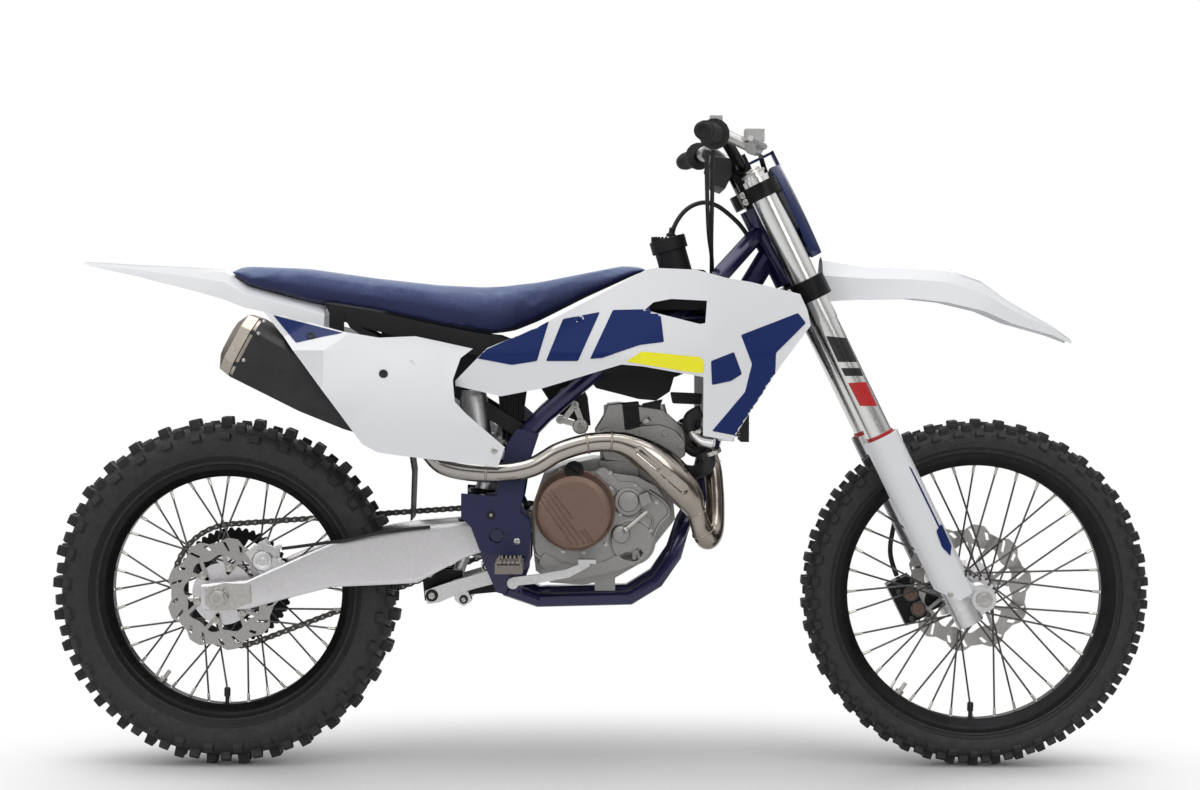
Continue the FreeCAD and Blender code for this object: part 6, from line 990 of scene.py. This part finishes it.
# Relief on the cast right-hand cover: pump housing, round and square forms, ribs and its lower ledge
case = Build()
for x, y, side, radius, height, dome in ((985, 900, 100, 17, 15, 2.5), (1022, 742, 100, 27, 7, 0.0),
                                         (1022, 742, 106, 19, 6, 1.5), (1040, 940, 100, 40, 5, 0.0)):
    boss(case, engine(x, y, side), radius, height, dome=dome)
slabs(case, (
    (98, 3, 18, 2.5, (1065, 705), (1118, 684), (1142, 742), (1082, 772)),
    (96, 4, 8, 2, (852, 590), (905, 570), (975, 640), (1050, 646), (1110, 690), (1060, 712), (968, 690), (895, 640)),
    (94, 4, 11, 3, (575, 1040), (600, 990), (690, 1040), (800, 1062), (915, 1030), (1010, 985), (1080, 960),
     (1110, 1000), (1050, 1052), (905, 1100), (725, 1132), (625, 1100)),
))
for radius, *points in (
    (2.6, (560, 1000), (640, 1048), (760, 1072), (880, 1052), (985, 1000)),
    (3.4, (1120, 690), (1195, 740), (1222, 800), (1170, 860), (1130, 950), (1068, 1040)),
    (2.4, (868, 600), (950, 660), (975, 730)), (2.2, (945, 1010), (1010, 1030), (1060, 1000)),
    (2.4, (1085, 790), (1140, 830), (1120, 900)), (2.2, (600, 1080), (735, 1118), (900, 1082)),
):
    rib(case, points, radius, 102)
for x, y in CASE_SCREWS:
    boss(case, engine(x, y, 99), 6.0, 2.0, segments=24)
case.done("case_relief", "cast_grey", bevel=0.5, segments=1)
water = Build()
a, b = engine(1010, 878, 121), engine(1112, 792, 112)
water.rod(a, b, 4.4, 16)
water.lathe(a - (b - a).normalized() * 0.004, b - a, [(6.2, 0), (6.2, 6), (4.5, 8)], 20)
water.done("pump_rod", "zinc", bevel=0.2, segments=1)

# The head: cam cover, spark coil, brackets and the stay to the frame
head = Build()
slabs(head, (
    (58, 5, 14, 3, (868, 432), (880, 388), (925, 372), (1010, 388), (1085, 366), (1180, 362), (1255, 392), (1306, 452),
     (1300, 520), (1220, 560), (900, 540)),
    (34, 3, 12, 1.5, (900, 268), (962, 262), (975, 330), (968, 400), (884, 404), (900, 340)),
    (60, 3, 10, 1.5, (872, 540), (1065, 540), (1075, 600), (1062, 650), (900, 640)),
))
for x, y in ((905, 430), (1060, 404), (1200, 408), (1280, 470), (1090, 520)):
    boss(head, engine(x, y, 71), 6.5, 3, segments=24)
rib(head, ((1170, 366), (1195, 330), (1182, 268)), 7, 52)
head.done("cylinder_head_relief", "cast_grey", bevel=0.8)
plates = Build()
slabs(plates, (
    (42, 3, 20, 2, (985, 258), (1072, 250), (1085, 385), (1000, 398)),
    (44, 3, 16, 2, (1088, 262), (1190, 240), (1162, 322), (1120, 352), (1090, 330)),
    (60, 4, 18, 3, (1225, 205), (1385, 212), (1378, 268), (1236, 262)),
    (74, 5, 20, 5, (1318, 292), (1372, 268), (1384, 330), (1372, 400), (1330, 380)),
))
plates.done("coil_and_ducts", "black_plastic", bevel=1.2)
stay, dots = Build(), Build()
for x1, y1, x2, y2 in ((760, 268, 800, 372), (688, 342, 790, 372), (760, 268, 722, 318)):
    a, b = engine(x1, y1, 52), engine(x2, y2, 52)
    stay.box((a + b) / 2, ((b - a).length / MM + 14, 6, 11), b - a, RIGHT.cross((b - a).normalized()))
for x, y, r, bolt in ((760, 268, 7.5, 3.2), (688, 342, 7.5, 3.2), (786, 373, 14, 5.5)):
    boss(stay, engine(x, y, 54), r, 4, segments=28)
    dots.screw(engine(x, y, 57), RIGHT, bolt, 4.0, "socket", 1.3)
stay.done("head_stay", "zinc", bevel=0.5)
dots.done("head_stay_bolts", "steel", bevel=0.2, segments=1)

# Cooling hoses with steel clamps
hoses, elbow, clamps = Build(), Build(), Build()
for build, *points in (
    (hoses, (1375, 300, 96, 12), (1330, 330, 92, 14), (1322, 372, 88, 14), (1345, 404, 88, 12)),
    (hoses, (1392, 500, 104, 15), (1410, 545, 104, 15.5), (1392, 580, 98, 15), (1340, 600, 84, 14),
     (1290, 590, 70, 13)),
    (hoses, (1300, 470, 60, 9), (1345, 500, 74, 10), (1395, 492, 92, 11)),
    (elbow, (1330, 396, 90, 8.5), (1350, 425, 98, 9), (1388, 452, 106, 10), (1440, 462, 112, 12)),
):
    tube(build, smooth_line(stations(points), 10))
hoses.done("cooling_hoses", "black_rubber")
elbow.done("cooling_elbow", "bare_alloy")
for x, y, d, r, way in ((1434, 500, 108, 17, (0.35, 0.1, -0.94)), (1355, 398, 90, 13.5, (0.5, 0.1, -0.86)),
                        (1105, 348, 64, 11, (0.5, 0.0, -0.86))):
    place, way = engine(x, y, d), Vector(way).normalized()
    clamps.lathe(place - way * 0.004, way, [(r - 1, 0), (r, 0), (r, 8), (r - 1, 8)], 40, closed=True)
    clamps.box(place + Vector((0.2, -1, 0)).normalized() * r * MM, (10, 6, 7), X, way)
clamps.done("hose_clamps", "zinc", bevel=0.3, segments=1)

# The shock's reservoir and the dark duct behind the side panel's gap
can = Build()
can.lathe(engine(288, 470, 60), UP_FORK * 0.55 + Vector((0.12, 0, 0.5)),
          [(24, 0), (28, 6), (28, 98), (25.5, 103), (25.5, 112), (0, 112)], 40)
can.done("shock_reservoir", "bare_alloy", bevel=0.6)
duct = Build()
slabs(duct, ((40, 3, 12, 2, (382, 190), (528, 175), (505, 340), (478, 470), (440, 480), (400, 400)),))
for k in range(5):
    rib(duct, ((404 + k * 25, 200), (404 + k * 24, 330), (410 + k * 19, 440)), 2.6, 53)
duct.done("intake_duct_side", "black_plastic", bevel=0.8)

# Footpegs with teeth, the linkage arms and their ringed bolts
for side, body in ((1, "footpeg_right"), (-1, "footpeg_left")):
    teeth = Build()
    for k in range(11):
        for x in (45.5, 86.5):
            teeth.box(mm(x, -(144 + k * 8.6) * side, -517.5), (5.2, 5.5, 7), top=0.28)
    for k in range(5):
        for y in (-144.0, -234.0):
            teeth.box(mm(50 + k * 8, y * side, -517.5), (5.2, 5, 6.5), top=0.28)
    for k in range(3):
        teeth.box(mm(66, -(158 + k * 26) * side, -524), (40, 4, 7))
    teeth.done(f"{body}_teeth", "peg_steel", body, bevel=0.3, segments=1)
arms = Build()
slabs(arms, (
    (44, 4, 12, 2, (22, 1178), (70, 1158), (180, 1120), (330, 1078), (412, 1040), (448, 1072), (428, 1128),
     (300, 1160), (200, 1190), (92, 1236), (34, 1244)),
    (42, 5, 10, 2, (172, 1178), (236, 1168), (262, 1224), (214, 1258), (168, 1226)),
    (46, 5, 10, 1.5, (300, 1030), (356, 1038), (352, 1092), (302, 1082)),
))
arms.done("linkage_arms", "bare_alloy", bevel=0.8, mirror=True)
seals, bolts = Build(), Build()
for x, y, d, r in ((48, 1097, 52, 11.5), (58, 1203, 57, 12), (326, 1062, 57, 8.5), (214, 1222, 53, 8.5)):
    place = engine(x, y, d)
    seals.lathe(place + LEFT * 0.004, RIGHT, [(r, 0), (r, 7), (r - 1.5, 8.2), (0, 8.2)])
    nut = [(r * 0.62, 0), (r * 0.62, 6.2), (r * 0.5, 7.4), (r * 0.26, 7.4), (r * 0.26, 5), (0, 5)]
    bolts.lathe(place, RIGHT, nut, 6)
seals.done("linkage_seals", "black_plastic", bevel=0.3, segments=1, mirror=True)
bolts.done("linkage_bolts", "zinc", bevel=0.3, segments=1, mirror=True)

# Axle ends: adjuster blocks, nuts and washers
blocks = Build()
corners = (668, 792), (740, 776), (848, 778), (852, 856), (768, 886), (690, 888), (662, 862)
prism(blocks, flat_shape("rear", corners, 118, 4), 115, 6.5, 1)
blocks.done("chain_adjusters", "zinc", bevel=0.6, mirror=True)
nuts, studs, ends = Build(), Build(), Build()
nuts.lathe(REAR_AXLE + mm(0, -120, 0), RIGHT, [(19.5, 0), (19.5, 2.5), (18, 3.2), (0, 3.2)], 40)
nuts.lathe(REAR_AXLE + mm(0, -123, 0), RIGHT, [(16.5, 0), (16.5, 10), (14.8, 12.5), (9.5, 12.5), (9.5, 4), (0, 4)], 6)
nuts.done("rear_axle_nut", "zinc", bevel=0.5)
for side in (-1, 1):
    studs.rod(mm(-560, side * 113, -604), mm(-538, side * 113, -603), 3.4, 16)
    studs.lathe(mm(-556, side * 113, -604), X, [(6.6, 0), (6.6, 6), (5.8, 7), (0, 7)], 6)
    end = [(12.5, 0), (12.5, 3), (11, 4.5), (6.5, 4.5), (6, 1), (0, 1)]
    ends.lathe(FRONT_AXLE + mm(0, side * 122, 0), LEFT * side, end)
    for s in (26, -14):
        ends.screw(on_fork(-19, side * 108, s), -AHEAD, 3.2, 6, "socket", 1.4)
studs.done("adjuster_screws", "zinc", bevel=0.2, segments=1)
ends.done("front_axle_ends", "steel", "steering", bevel=0.3, segments=1)

# Disc carriers' bolts, valves and rim locks on the wheels
for name, side, out, radius, well in (("front", 62.2, 1, 47, 254), ("rear", -68.2, -1, 52, 228)):
    axle, body = AXLES[name], f"{name}_wheel"
    bolts, valve, lock = Build(), Build(), Build()
    for k in range(6):
        place = wheel_point(axle, radius, side + out * 1.2, k * 60 + 14)
        bolts.lathe(place, LEFT * out, [(7.2, 0), (7.2, 1.6), (6.4, 3.4), (3.4, 3.8), (3, 1.6), (0, 1.6)], 20)
    bolts.done(f"{name}_disc_bolts", "zinc", body, bevel=0.2, segments=1)
    foot = wheel_point(axle, well + 4, 0, 181)
    valve.lathe(foot, axle - foot, [(4, 0), (4, 18), (6.2, 18.5), (6.4, 33), (5, 36), (0, 36)], 16)
    valve.lathe(foot, axle - foot, [(9, 2), (9, 5.8), (0, 5.8)], 6)
    valve.done(f"{name}_valve", "black_rubber", body)
    foot = wheel_point(axle, well + 3, 0, 216)
    lock.lathe(foot, axle - foot, [(4, 0), (4, 30), (0, 30)], 16)
    lock.lathe(foot, axle - foot, [(8.5, 2), (8.5, 12), (7, 13.5), (0, 13.5)], 6)
    lock.done(f"{name}_rim_lock", "zinc", body, bevel=0.2, segments=1)

# Calipers: pistons, pads, bridge bolts and the pad pin
lo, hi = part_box("front_caliper")
middle = (Vector(lo) + Vector(hi)) / 2
front, pistons = Build(), Build()
for s in (-17, 17):
    place = Vector((middle.x, 0.0448, middle.z)) + UP_FORK * s * MM + AHEAD * -0.004
    front.lathe(place + LEFT * MM, RIGHT, [(16.5, 0), (16.5, 6), (14.5, 8.5), (12.8, 8.5), (12.8, 2), (0, 2)], 40)
    pistons.lathe(place, RIGHT, [(12.6, 0), (12.6, 6.8), (11.5, 7.8), (6, 7.8), (5.5, 6), (0, 6)], 40)
for s, n in ((38, 10), (-38, 10), (30, -24), (-30, -24)):
    place = Vector((middle.x, 0.046, middle.z)) + UP_FORK * s * MM + AHEAD * n * MM
    front.screw(place, RIGHT, 4.2, 6.0, "socket", 1.35)
front.done("front_caliper_housing", "cast_dark", "steering", bevel=0.5, segments=1)
pistons.done("front_caliper_pistons", "bronze_cover", "steering", bevel=0.3, segments=1)
lo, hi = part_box("rear_caliper")
middle = (Vector(lo) + Vector(hi)) / 2
rear = Build()


def by_caliper(x, y, z):
    return Vector((middle.x, 0, middle.z)) + mm(x, y, z)


ALONG_ARM, OVER_ARM = Vector((0.94, 0, -0.34)), Vector((0.34, 0, 0.94))
rear.lathe(by_caliper(-8, -82, 6), RIGHT, [(20.5, 0), (20.5, 8), (18, 11.5), (12.5, 12.5), (10.5, 10.5), (6, 10.5),
                                           (5, 12), (0, 12)], 40)
rear.box(by_caliper(12, -86, -4), (46, 12, 30), ALONG_ARM, OVER_ARM, 0.86)
rear.box(by_caliper(4, -88, 30), (52, 10, 14), ALONG_ARM, OVER_ARM, 0.8)
for x, z in ((26, 8), (30, -18), (-20, 34), (26, 34)):
    rear.screw(by_caliper(x, -91.5, z), RIGHT, 3.6, 5.0, "socket", 1.4)
rear.done("rear_caliper_body", "bare_alloy", bevel=0.8)
rear_line = hose("rear_brake_line", [
    by_caliper(30, -88, 30), by_caliper(75, -92, 36), by_caliper(130, -98, 45),
    seen(345, 541, 108), seen(385, 531, 104), seen(430, 527, 88)], 3.2)
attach(rear_line, "chassis")

# Fork: bands on the tubes, a blue edge and flash on the guards, clamp screws and caps
for name, node, corners, material in (
    ("fork_band_wide", "fork_tubes", [(826, 336), (846, 338), (857, 362), (838, 362)], "black_film"),
    ("fork_band_narrow", "fork_tubes", [(841, 368), (860, 368), (863, 376), (845, 376)], "black_film"),
    ("fork_band_red", "fork_tubes", [(848, 383), (866, 382), (877, 406), (860, 406)], "seal_red"),
    ("guard_edge", "fork_guards", [(917, 463), (921, 466), (951, 524), (948, 527)], "navy_film"),
):
    film(name, node, corners, material, "steering", lift=0.4, cell=2.0, radius=0.8)
film("guard_flash", "fork_guards", [(936, 531), (941, 524), (951, 546), (950, 556), (942, 547)], "navy_film",
     "steering", lift=1.5, cell=1.2, radius=0.8)
pinch = Build()
for side in (-1, 1):
    for low in (677, 701, 895, 909):
        pinch.screw(on_fork(-80, side * 114.5, low), LEFT * side, 4.4, 5.0, "socket", 1.5)
    place = on_fork(-42, side * 100, 936)
    pinch.lathe(place, UP_FORK, [(23.5, 0), (23.5, 4), (22, 5.5), (16.5, 5.5), (16.5, 10.5), (14.5, 12), (6, 12),
                                 (6, 9.5), (0, 9.5)], 40)
    for c, s in circle(12):
        out = AHEAD * c + LEFT * s
        pinch.box(place + out * 0.0232 + UP_FORK * 0.0022, (2.2, 4, 4.4), out, UP_FORK)
pinch.done("fork_caps_and_screws", "zinc", "steering", bevel=0.3, segments=1)

# The chain: rollers, inner and outer plates and pins along its loop
PITCH, CHAIN_Y, LINK = 0.015875, 0.076, 0.0058  # between pins, of the middle line, and a plate end's radius


def chain_places(front=mm(106, 0, -466), radius=0.124, small=0.033):
    """The pins' places over the sprocket, the upper run, the front sprocket and the lower run."""
    gap = front - REAR_AXLE
    tilt, lean = math.atan2(gap.z, gap.x), math.acos((radius - small) / gap.length)
    rear_arc, front_arc, run = radius * (TURN - 2 * lean), small * 2 * lean, gap.length * math.sin(lean)
    total = rear_arc + front_arc + 2 * run
    count = 2 * round(total / PITCH / 2)
    places = []
    for k in range(count):
        t = total * k / count
        if t < rear_arc:
            places.append(REAR_AXLE + around(tilt - lean - t / radius) * radius)
            continue
        t -= rear_arc
        out = around(tilt + lean)
        if t < run:
            places.append(REAR_AXLE + out * radius + Vector((out.z, 0, -out.x)) * t)
            continue
        t -= run
        if t < front_arc:
            places.append(front + around(tilt + lean - t / small) * small)
            continue
        out = around(tilt - lean)
        places.append(front + out * small + Vector((out.z, 0, -out.x)) * (t - front_arc))
    return places


pins = chain_places()
links, rollers = Build(), Build()
for k, here in enumerate(pins):
    after = pins[(k + 1) % len(pins)]
    ahead = (after - here).normalized()
    across = ahead.cross(LEFT)
    outline = []
    for end, sign in ((here, 1), (after, -1)):
        for j in range(7):
            a = TURN / 4 * sign + TURN / 2 * j / 6
            outline.append(end + (ahead * math.cos(a) + across * math.sin(a)) * LINK)
        outline.append((here + after) / 2 - across * 0.0042 * sign)
    for side in (-1, 1):
        near = CHAIN_Y + side * (0.0058 if k % 2 else 0.0043)
        points = [p + LEFT * y for y in (near, near + side * 0.0013) for p in outline]
        links.faces(points, plate_faces(len(outline)))
    rollers.rod(here + LEFT * 0.0718, here + LEFT * 0.0802, 4.9)
    rollers.rod(here + LEFT * 0.0685, here + LEFT * 0.0835, 2.5, 8)
links.done("chain_links", "dark_steel", replaces=("drive_chain",))
rollers.done("chain_rollers", "steel")

# Grips: rings of ribs and an end plug on each
ribs, plugs = Build(), Build()


def middle_of(places):
    return sum(places, Vector((0, 0, 0))) / len(places)


for side in (-1, 1):
    spots = [v.co for v in NODES["grips"].data.vertices if v.co.y * side > 0]
    reach = max(p.y * side for p in spots)
    tip = middle_of([p for p in spots if p.y * side > reach - 0.008])
    root = middle_of([p for p in spots if p.y * side < reach - 0.112])
    inward = (root - tip).normalized()
    off = [p - tip for p in spots if p.y * side > reach - 0.02]
    thick = max((p - inward * p.dot(inward)).length for p in off) / MM
    for k in range(19):
        ring = [(thick - 1, 0), (thick + 0.9, 0.6), (thick + 0.9, 2.2), (thick - 1, 2.8)]
        ribs.lathe(tip + inward * (0.014 + k * 0.0052), inward, ring, 28)
    plug = [(0.8, 0), (0.8, 3.5), (0.7, 4.8), (0.42, 4.8), (0.38, 2.5), (0, 2.5)]
    plugs.lathe(tip - inward * MM, -inward, [(thick * share, along) for share, along in plug])
ribs.done("grip_ribs", "black_rubber", "steering")
plugs.done("grip_plugs", "black_plastic", "steering", bevel=0.2, segments=1)

# Muffler: the seams of its end cap and cone
seams = Build()
SLANT = Matrix.Rotation(math.radians(28.4), 3, "Y")
SQUARENESS = 3.2  # 2 gives an oval, and more gives squarer corners


def can_ring(build, along, width, height, inward, thick, deep, n=64):
    """A strap round the muffler can, following its rounded corners."""
    shape = []
    for c, s in circle(n):
        share = (abs(c) ** SQUARENESS + abs(s) ** SQUARENESS) ** (-1 / SQUARENESS)
        shape.append((c * share, s * share))
    points = []
    for grow, x in ((-2, along), (thick, along), (thick, along + deep), (-2, along + deep)):
        points += [mm(-443, -130, -115) + SLANT @ mm(x, c * (width + grow) + inward, s * (height + grow))
                   for c, s in shape]
    build.faces(points, loop_faces(4, n))


can_ring(seams, 1.5, 51, 62, 0, 2.2, 6)
can_ring(seams, 291, 32, 39, 15.6, 1.2, 7)
seams.done("muffler_bands", "titanium", bevel=0.3, segments=1)

# Radiator louvres in front of the cores, with fins behind them
louvres, fins = Build(), Build()
for side in (-1, 1):
    for k in range(12):
        place = mm(516, side * 108, -60 - k * 19.5)
        louvres.box(place, (20, 80, 2.8), Vector((0.86, 0, -0.5)), Vector((0.5, 0, 0.86)))
    for y, z, *size in ((66, -168, 16, 5, 246), (150, -168, 16, 5, 246), (108, -44, 16, 88, 5), (108, -292, 16, 88, 5)):
        louvres.box(mm(516, side * y, z), size)
    for k in range(44):
        fins.box(mm(488, side * 108, -52 - k * 5.4), (44, 76, 0.9))
louvres.done("radiator_louvres", "black_plastic", bevel=0.5, segments=1)
fins.done("radiator_fins", "bare_alloy")


# Brake discs with a wavy rim, slots and a light carrier
def wave_disc(name, side, thick, inner, outer, lobes, arms=6, turns=720, rows=40):
    build, axle = Build(), AXLES[name]
    grid = [[] for _ in range(rows + 1)]
    for k in range(turns):
        a = TURN * k / turns
        out = outer * (0.958 + 0.042 * max(-1.0, min(1.0, math.sin(lobes * a) * 1.6)))
        inside = inner * (1.0 + 0.05 * math.sin(lobes * a + 1.9))
        for i, row in enumerate(grid):
            row.append(inside + (out - inside) * i / rows)

    def solid(i, k):
        """Whether a cell of the grid is outside the slots."""
        if not 0 <= i < rows:
            return False
        k %= turns
        share = ((grid[i][k] + grid[i + 1][k]) / 2 - inner) / (outer - inner)
        lean = (k / turns * lobes + 0.18) % 1.0 + (share - 0.5) * 0.34
        long_slot = 0.30 < share < 0.78 and abs(lean - 0.30) < 0.045
        return not (long_slot or abs(share - 0.56) < 0.16 and abs(lean - 0.74) < 0.05)

    @cache
    def corner(i, k, face):
        r, a = grid[i][k], TURN * k / turns
        return build.vert(axle + mm(r * math.sin(a), side + face * thick / 2, r * math.cos(a)))

    for i in range(rows):
        for k in range(turns):
            if not solid(i, k):
                continue
            j = (k + 1) % turns
            for face in (-1, 1):
                build.face(*[corner(*p, face) for p in ((i, k), (i, j), (i + 1, j), (i + 1, k))][::face])
            for di, dk, a, b in ((-1, 0, (i, k), (i, j)), (1, 0, (i + 1, k), (i + 1, j)),
                                 (0, -1, (i, k), (i + 1, k)), (0, 1, (i, j), (i + 1, j))):
                if not solid(i + di, k + dk):
                    build.face(corner(*a, -1), corner(*b, -1), corner(*b, 1), corner(*a, 1))
    for k in range(arms):
        turn = 360.0 * k / arms + 14
        for lean in (-13, 13):
            a = wheel_point(axle, 40, side, turn - lean * 0.2)
            b = wheel_point(axle, inner + 6, side, turn + lean)
            build.box((a + b) / 2, ((b - a).length / MM, thick * 0.92, 7.5), b - a, (b - a).cross(LEFT))
    build.done(f"{name}_brake_disc", f"{name}_disc_steel", f"{name}_wheel", replaces=(f"{name}_disc",))


wave_disc("front", 62, 3.4, 88, 129, 10)
wave_disc("rear", -68, 3.6, 74, 110.5, 9)


# The number plate: one curved sheet with a rolled edge, blank
def number_plate(foot=742, top=934, n=17, m=25):
    build = Build()
    outline = [(742, 66), (752, 80), (800, 92), (854, 106), (880, 111), (908, 111), (924, 104), (934, 60), (938, 0)]

    def half_width(t):
        for (t0, w0), (t1, w1) in zip(outline, outline[1:]):
            if t0 <= t <= t1:
                return w0 + (w1 - w0) * (t - t0) / (t1 - t0)

    sheets = []
    for inset, thick in ((0.0, 0.0), (0.6, 3.2)):
        sheets.append([])
        for i in range(n):
            t = foot + i * (top - foot) / (n - 1)
            wide = max(20.0, half_width(min(t, 926))) - inset
            row = []
            for k in range(m):
                share = -1 + 2 * k / (m - 1)
                bow = 23.5 - 22 * abs(share) ** 1.8 - 2.0 * ((t - 838) / 96) ** 2
                rolled = 4.84 * max(0.0, abs(share) - 0.86) / 0.14
                row.append(build.vert(on_fork(bow - thick - rolled, share * wide, t)))
            sheets[-1].append(row)
    for sheet, way in zip(sheets, (1, -1)):
        for low, high in zip(sheet, sheet[1:]):
            for k in range(m - 1):
                build.face(*[low[k], low[k + 1], high[k + 1], high[k]][::way])
    border = [(0, k) for k in range(m)] + [(i, m - 1) for i in range(1, n)]
    border += [(n - 1, k) for k in range(m - 2, -1, -1)] + [(i, 0) for i in range(n - 2, 0, -1)]
    build.loft([[sheet[i][k] for i, k in border] for sheet in sheets])
    build.box(on_fork(-8, 0, 962), (60, 22, 5), AHEAD, UP_FORK)
    build.box(on_fork(19, 0, 948), (6, 22, 34), AHEAD, UP_FORK)
    build.done("number_plate_shell", "plate_plastic", "steering", bevel=0.5, replaces=("number_plate",))


number_plate()
strap = Build()
for t, wide in ((758, 100.8), (930, 72)):
    strap.box(on_fork(4, 0, t), (5, wide, 12), AHEAD, UP_FORK)
strap.done("plate_braces", "black_plastic", "steering", bevel=0.8)
spout = Build()
spout.lathe(mm(378, 0, 103), Vector((0.18, 0, 0.98)),
            [(10, 0), (10, 6), (6.2, 8), (6.2, 14), (7, 15), (5.5, 19), (0, 19)], 24)
for c, s in circle(26):
    out = Vector((c, s, 0))
    spout.box(mm(373, 0, 93) + out * 0.0325, (3.5, 4.2, 20), out, Vector((-0.2, 0, 0.98)))
spout.done("tank_cap_ribs", "black_plastic", bevel=0.4, segments=1)

# Ground, which glows plain white away from the bike, and near it shows its own lit shade and shadows
ground = Shade("ground", (0.8, 0.8, 0.8, 1), 0.9)
ground.tint((3, 2), 0.99, 1.0).bump((40, 3), 0.0003)


def clear_of(place, reach, start):
    """0 around a place, rising to 1 at its reach in each direction."""
    off = ground.distance(place, [1 / r for r in reach])
    return ground.spread(off, start=start, end=1.0, interpolation_type="SMOOTHSTEP")


# The floor's white glow is painted light. It fades out in an ellipse round the bike and in smaller ones under each
# wheel, so the floor there shows its real lit shade and shadows inside a painted shade halo.
glow_fade_painted_shade = clear_of((0.24, -0.1, GROUND), (1.45, 0.75, 1.0), 0.35)
for axle in AXLES.values():
    glow_fade_painted_shade = ground.calc("MULTIPLY", glow_fade_painted_shade, clear_of((axle.x, 0.0, GROUND), (0.42, 0.22, 1.0), 0.2))
rays = ground.add("ShaderNodeLightPath").outputs
shown = ground.calc("MAXIMUM", rays["Is Camera Ray"], ground.calc("MULTIPLY", rays["Is Glossy Ray"], 0.5))
glow = ground.add("ShaderNodeEmission", Strength=1.0, Color=(1, 1, 1, 1)).outputs[0]
share = ground.calc("MULTIPLY", shown, glow_fade_painted_shade)
both = ground.add("ShaderNodeMixShader", {0: share, 1: ground.shader.outputs[0], 2: glow})
ground.tree.links.new(both.outputs[0], ground.tree.nodes["Material Output"].inputs["Surface"])
floor_mesh = bpy.data.meshes.new("floor")
FLOOR = 30
corners = [(x * FLOOR, y * FLOOR, GROUND) for x, y in ((-1, -1), (1, -1), (1, 1), (-1, 1))]
floor_mesh.from_pydata(corners, [], [(0, 1, 2, 3)])
floor_mesh.materials.append(ground.mat)
floor = place_in_scene("floor", floor_mesh)


# Lamps, and a sky that is plain white to the camera and banded in reflections
def lamp(name, place, target, size, energy):
    data = bpy.data.lights.new(name, "AREA")
    data.shape = "RECTANGLE"
    data.size, data.size_y = size
    data.energy = energy
    aim = (Vector(target) - Vector(place)).to_track_quat("-Z", "Y")
    place_in_scene(name, data).matrix_world = Matrix.Translation(place) @ aim.to_matrix().to_4x4()


lamp("overhead", (0.2, -0.6, 3.4), (0.2, 0, -0.3), (4.2, 2.4), 72)
lamp("front_right", (1.8, -3.6, 1.6), (0.3, 0, -0.3), (1.6, 2.4), 26)
lamp("rear_right", (-2.2, -3.2, 1.2), (0, 0, -0.3), (1.6, 2.4), 20)
lamp("left_fill", (0.4, 3.8, 1.6), (0.2, 0, -0.2), (3.0, 2.0), 30)
world = bpy.data.worlds.new("world")
bpy.context.scene.world = world
world.use_nodes = True
sky = world.node_tree
back = sky.nodes["Background"]
rays = add_node(sky, "ShaderNodeLightPath").outputs
shiny = calc(sky, "MAXIMUM", rays["Is Camera Ray"], rays["Is Glossy Ray"])
way = add_node(sky, "ShaderNodeTexCoord").outputs["Generated"]
height = add_node(sky, "ShaderNodeSeparateXYZ", {"Vector": way}).outputs["Z"]
height = add_node(sky, "ShaderNodeMapRange", {"Value": height}, **{"From Min": -1.0}).outputs["Result"]
bands = add_node(sky, "ShaderNodeValToRGB", {"Fac": height})
for place, shade in ((0.0, 0.8), (0.38, 0.6), (0.46, 0.16), (0.6, 0.1), (0.66, 0.5), (0.72, 1.0), (1.0, 1.0)):
    bands.color_ramp.elements.new(place).color = (shade, shade, shade, 1)
for end in (0, -1):
    bands.color_ramp.elements.remove(bands.color_ramp.elements[end])
power = add_node(sky, "ShaderNodeMix", {"Factor": shiny, "B": bands.outputs["Color"]}, A=0.45).outputs["Result"]
sky.links.new(calc(sky, "MAXIMUM", power, rays["Is Camera Ray"]), back.inputs["Strength"])
back.inputs["Color"].default_value = (1, 1, 1, 1)
bpy.context.scene.view_settings.view_transform = "Standard"
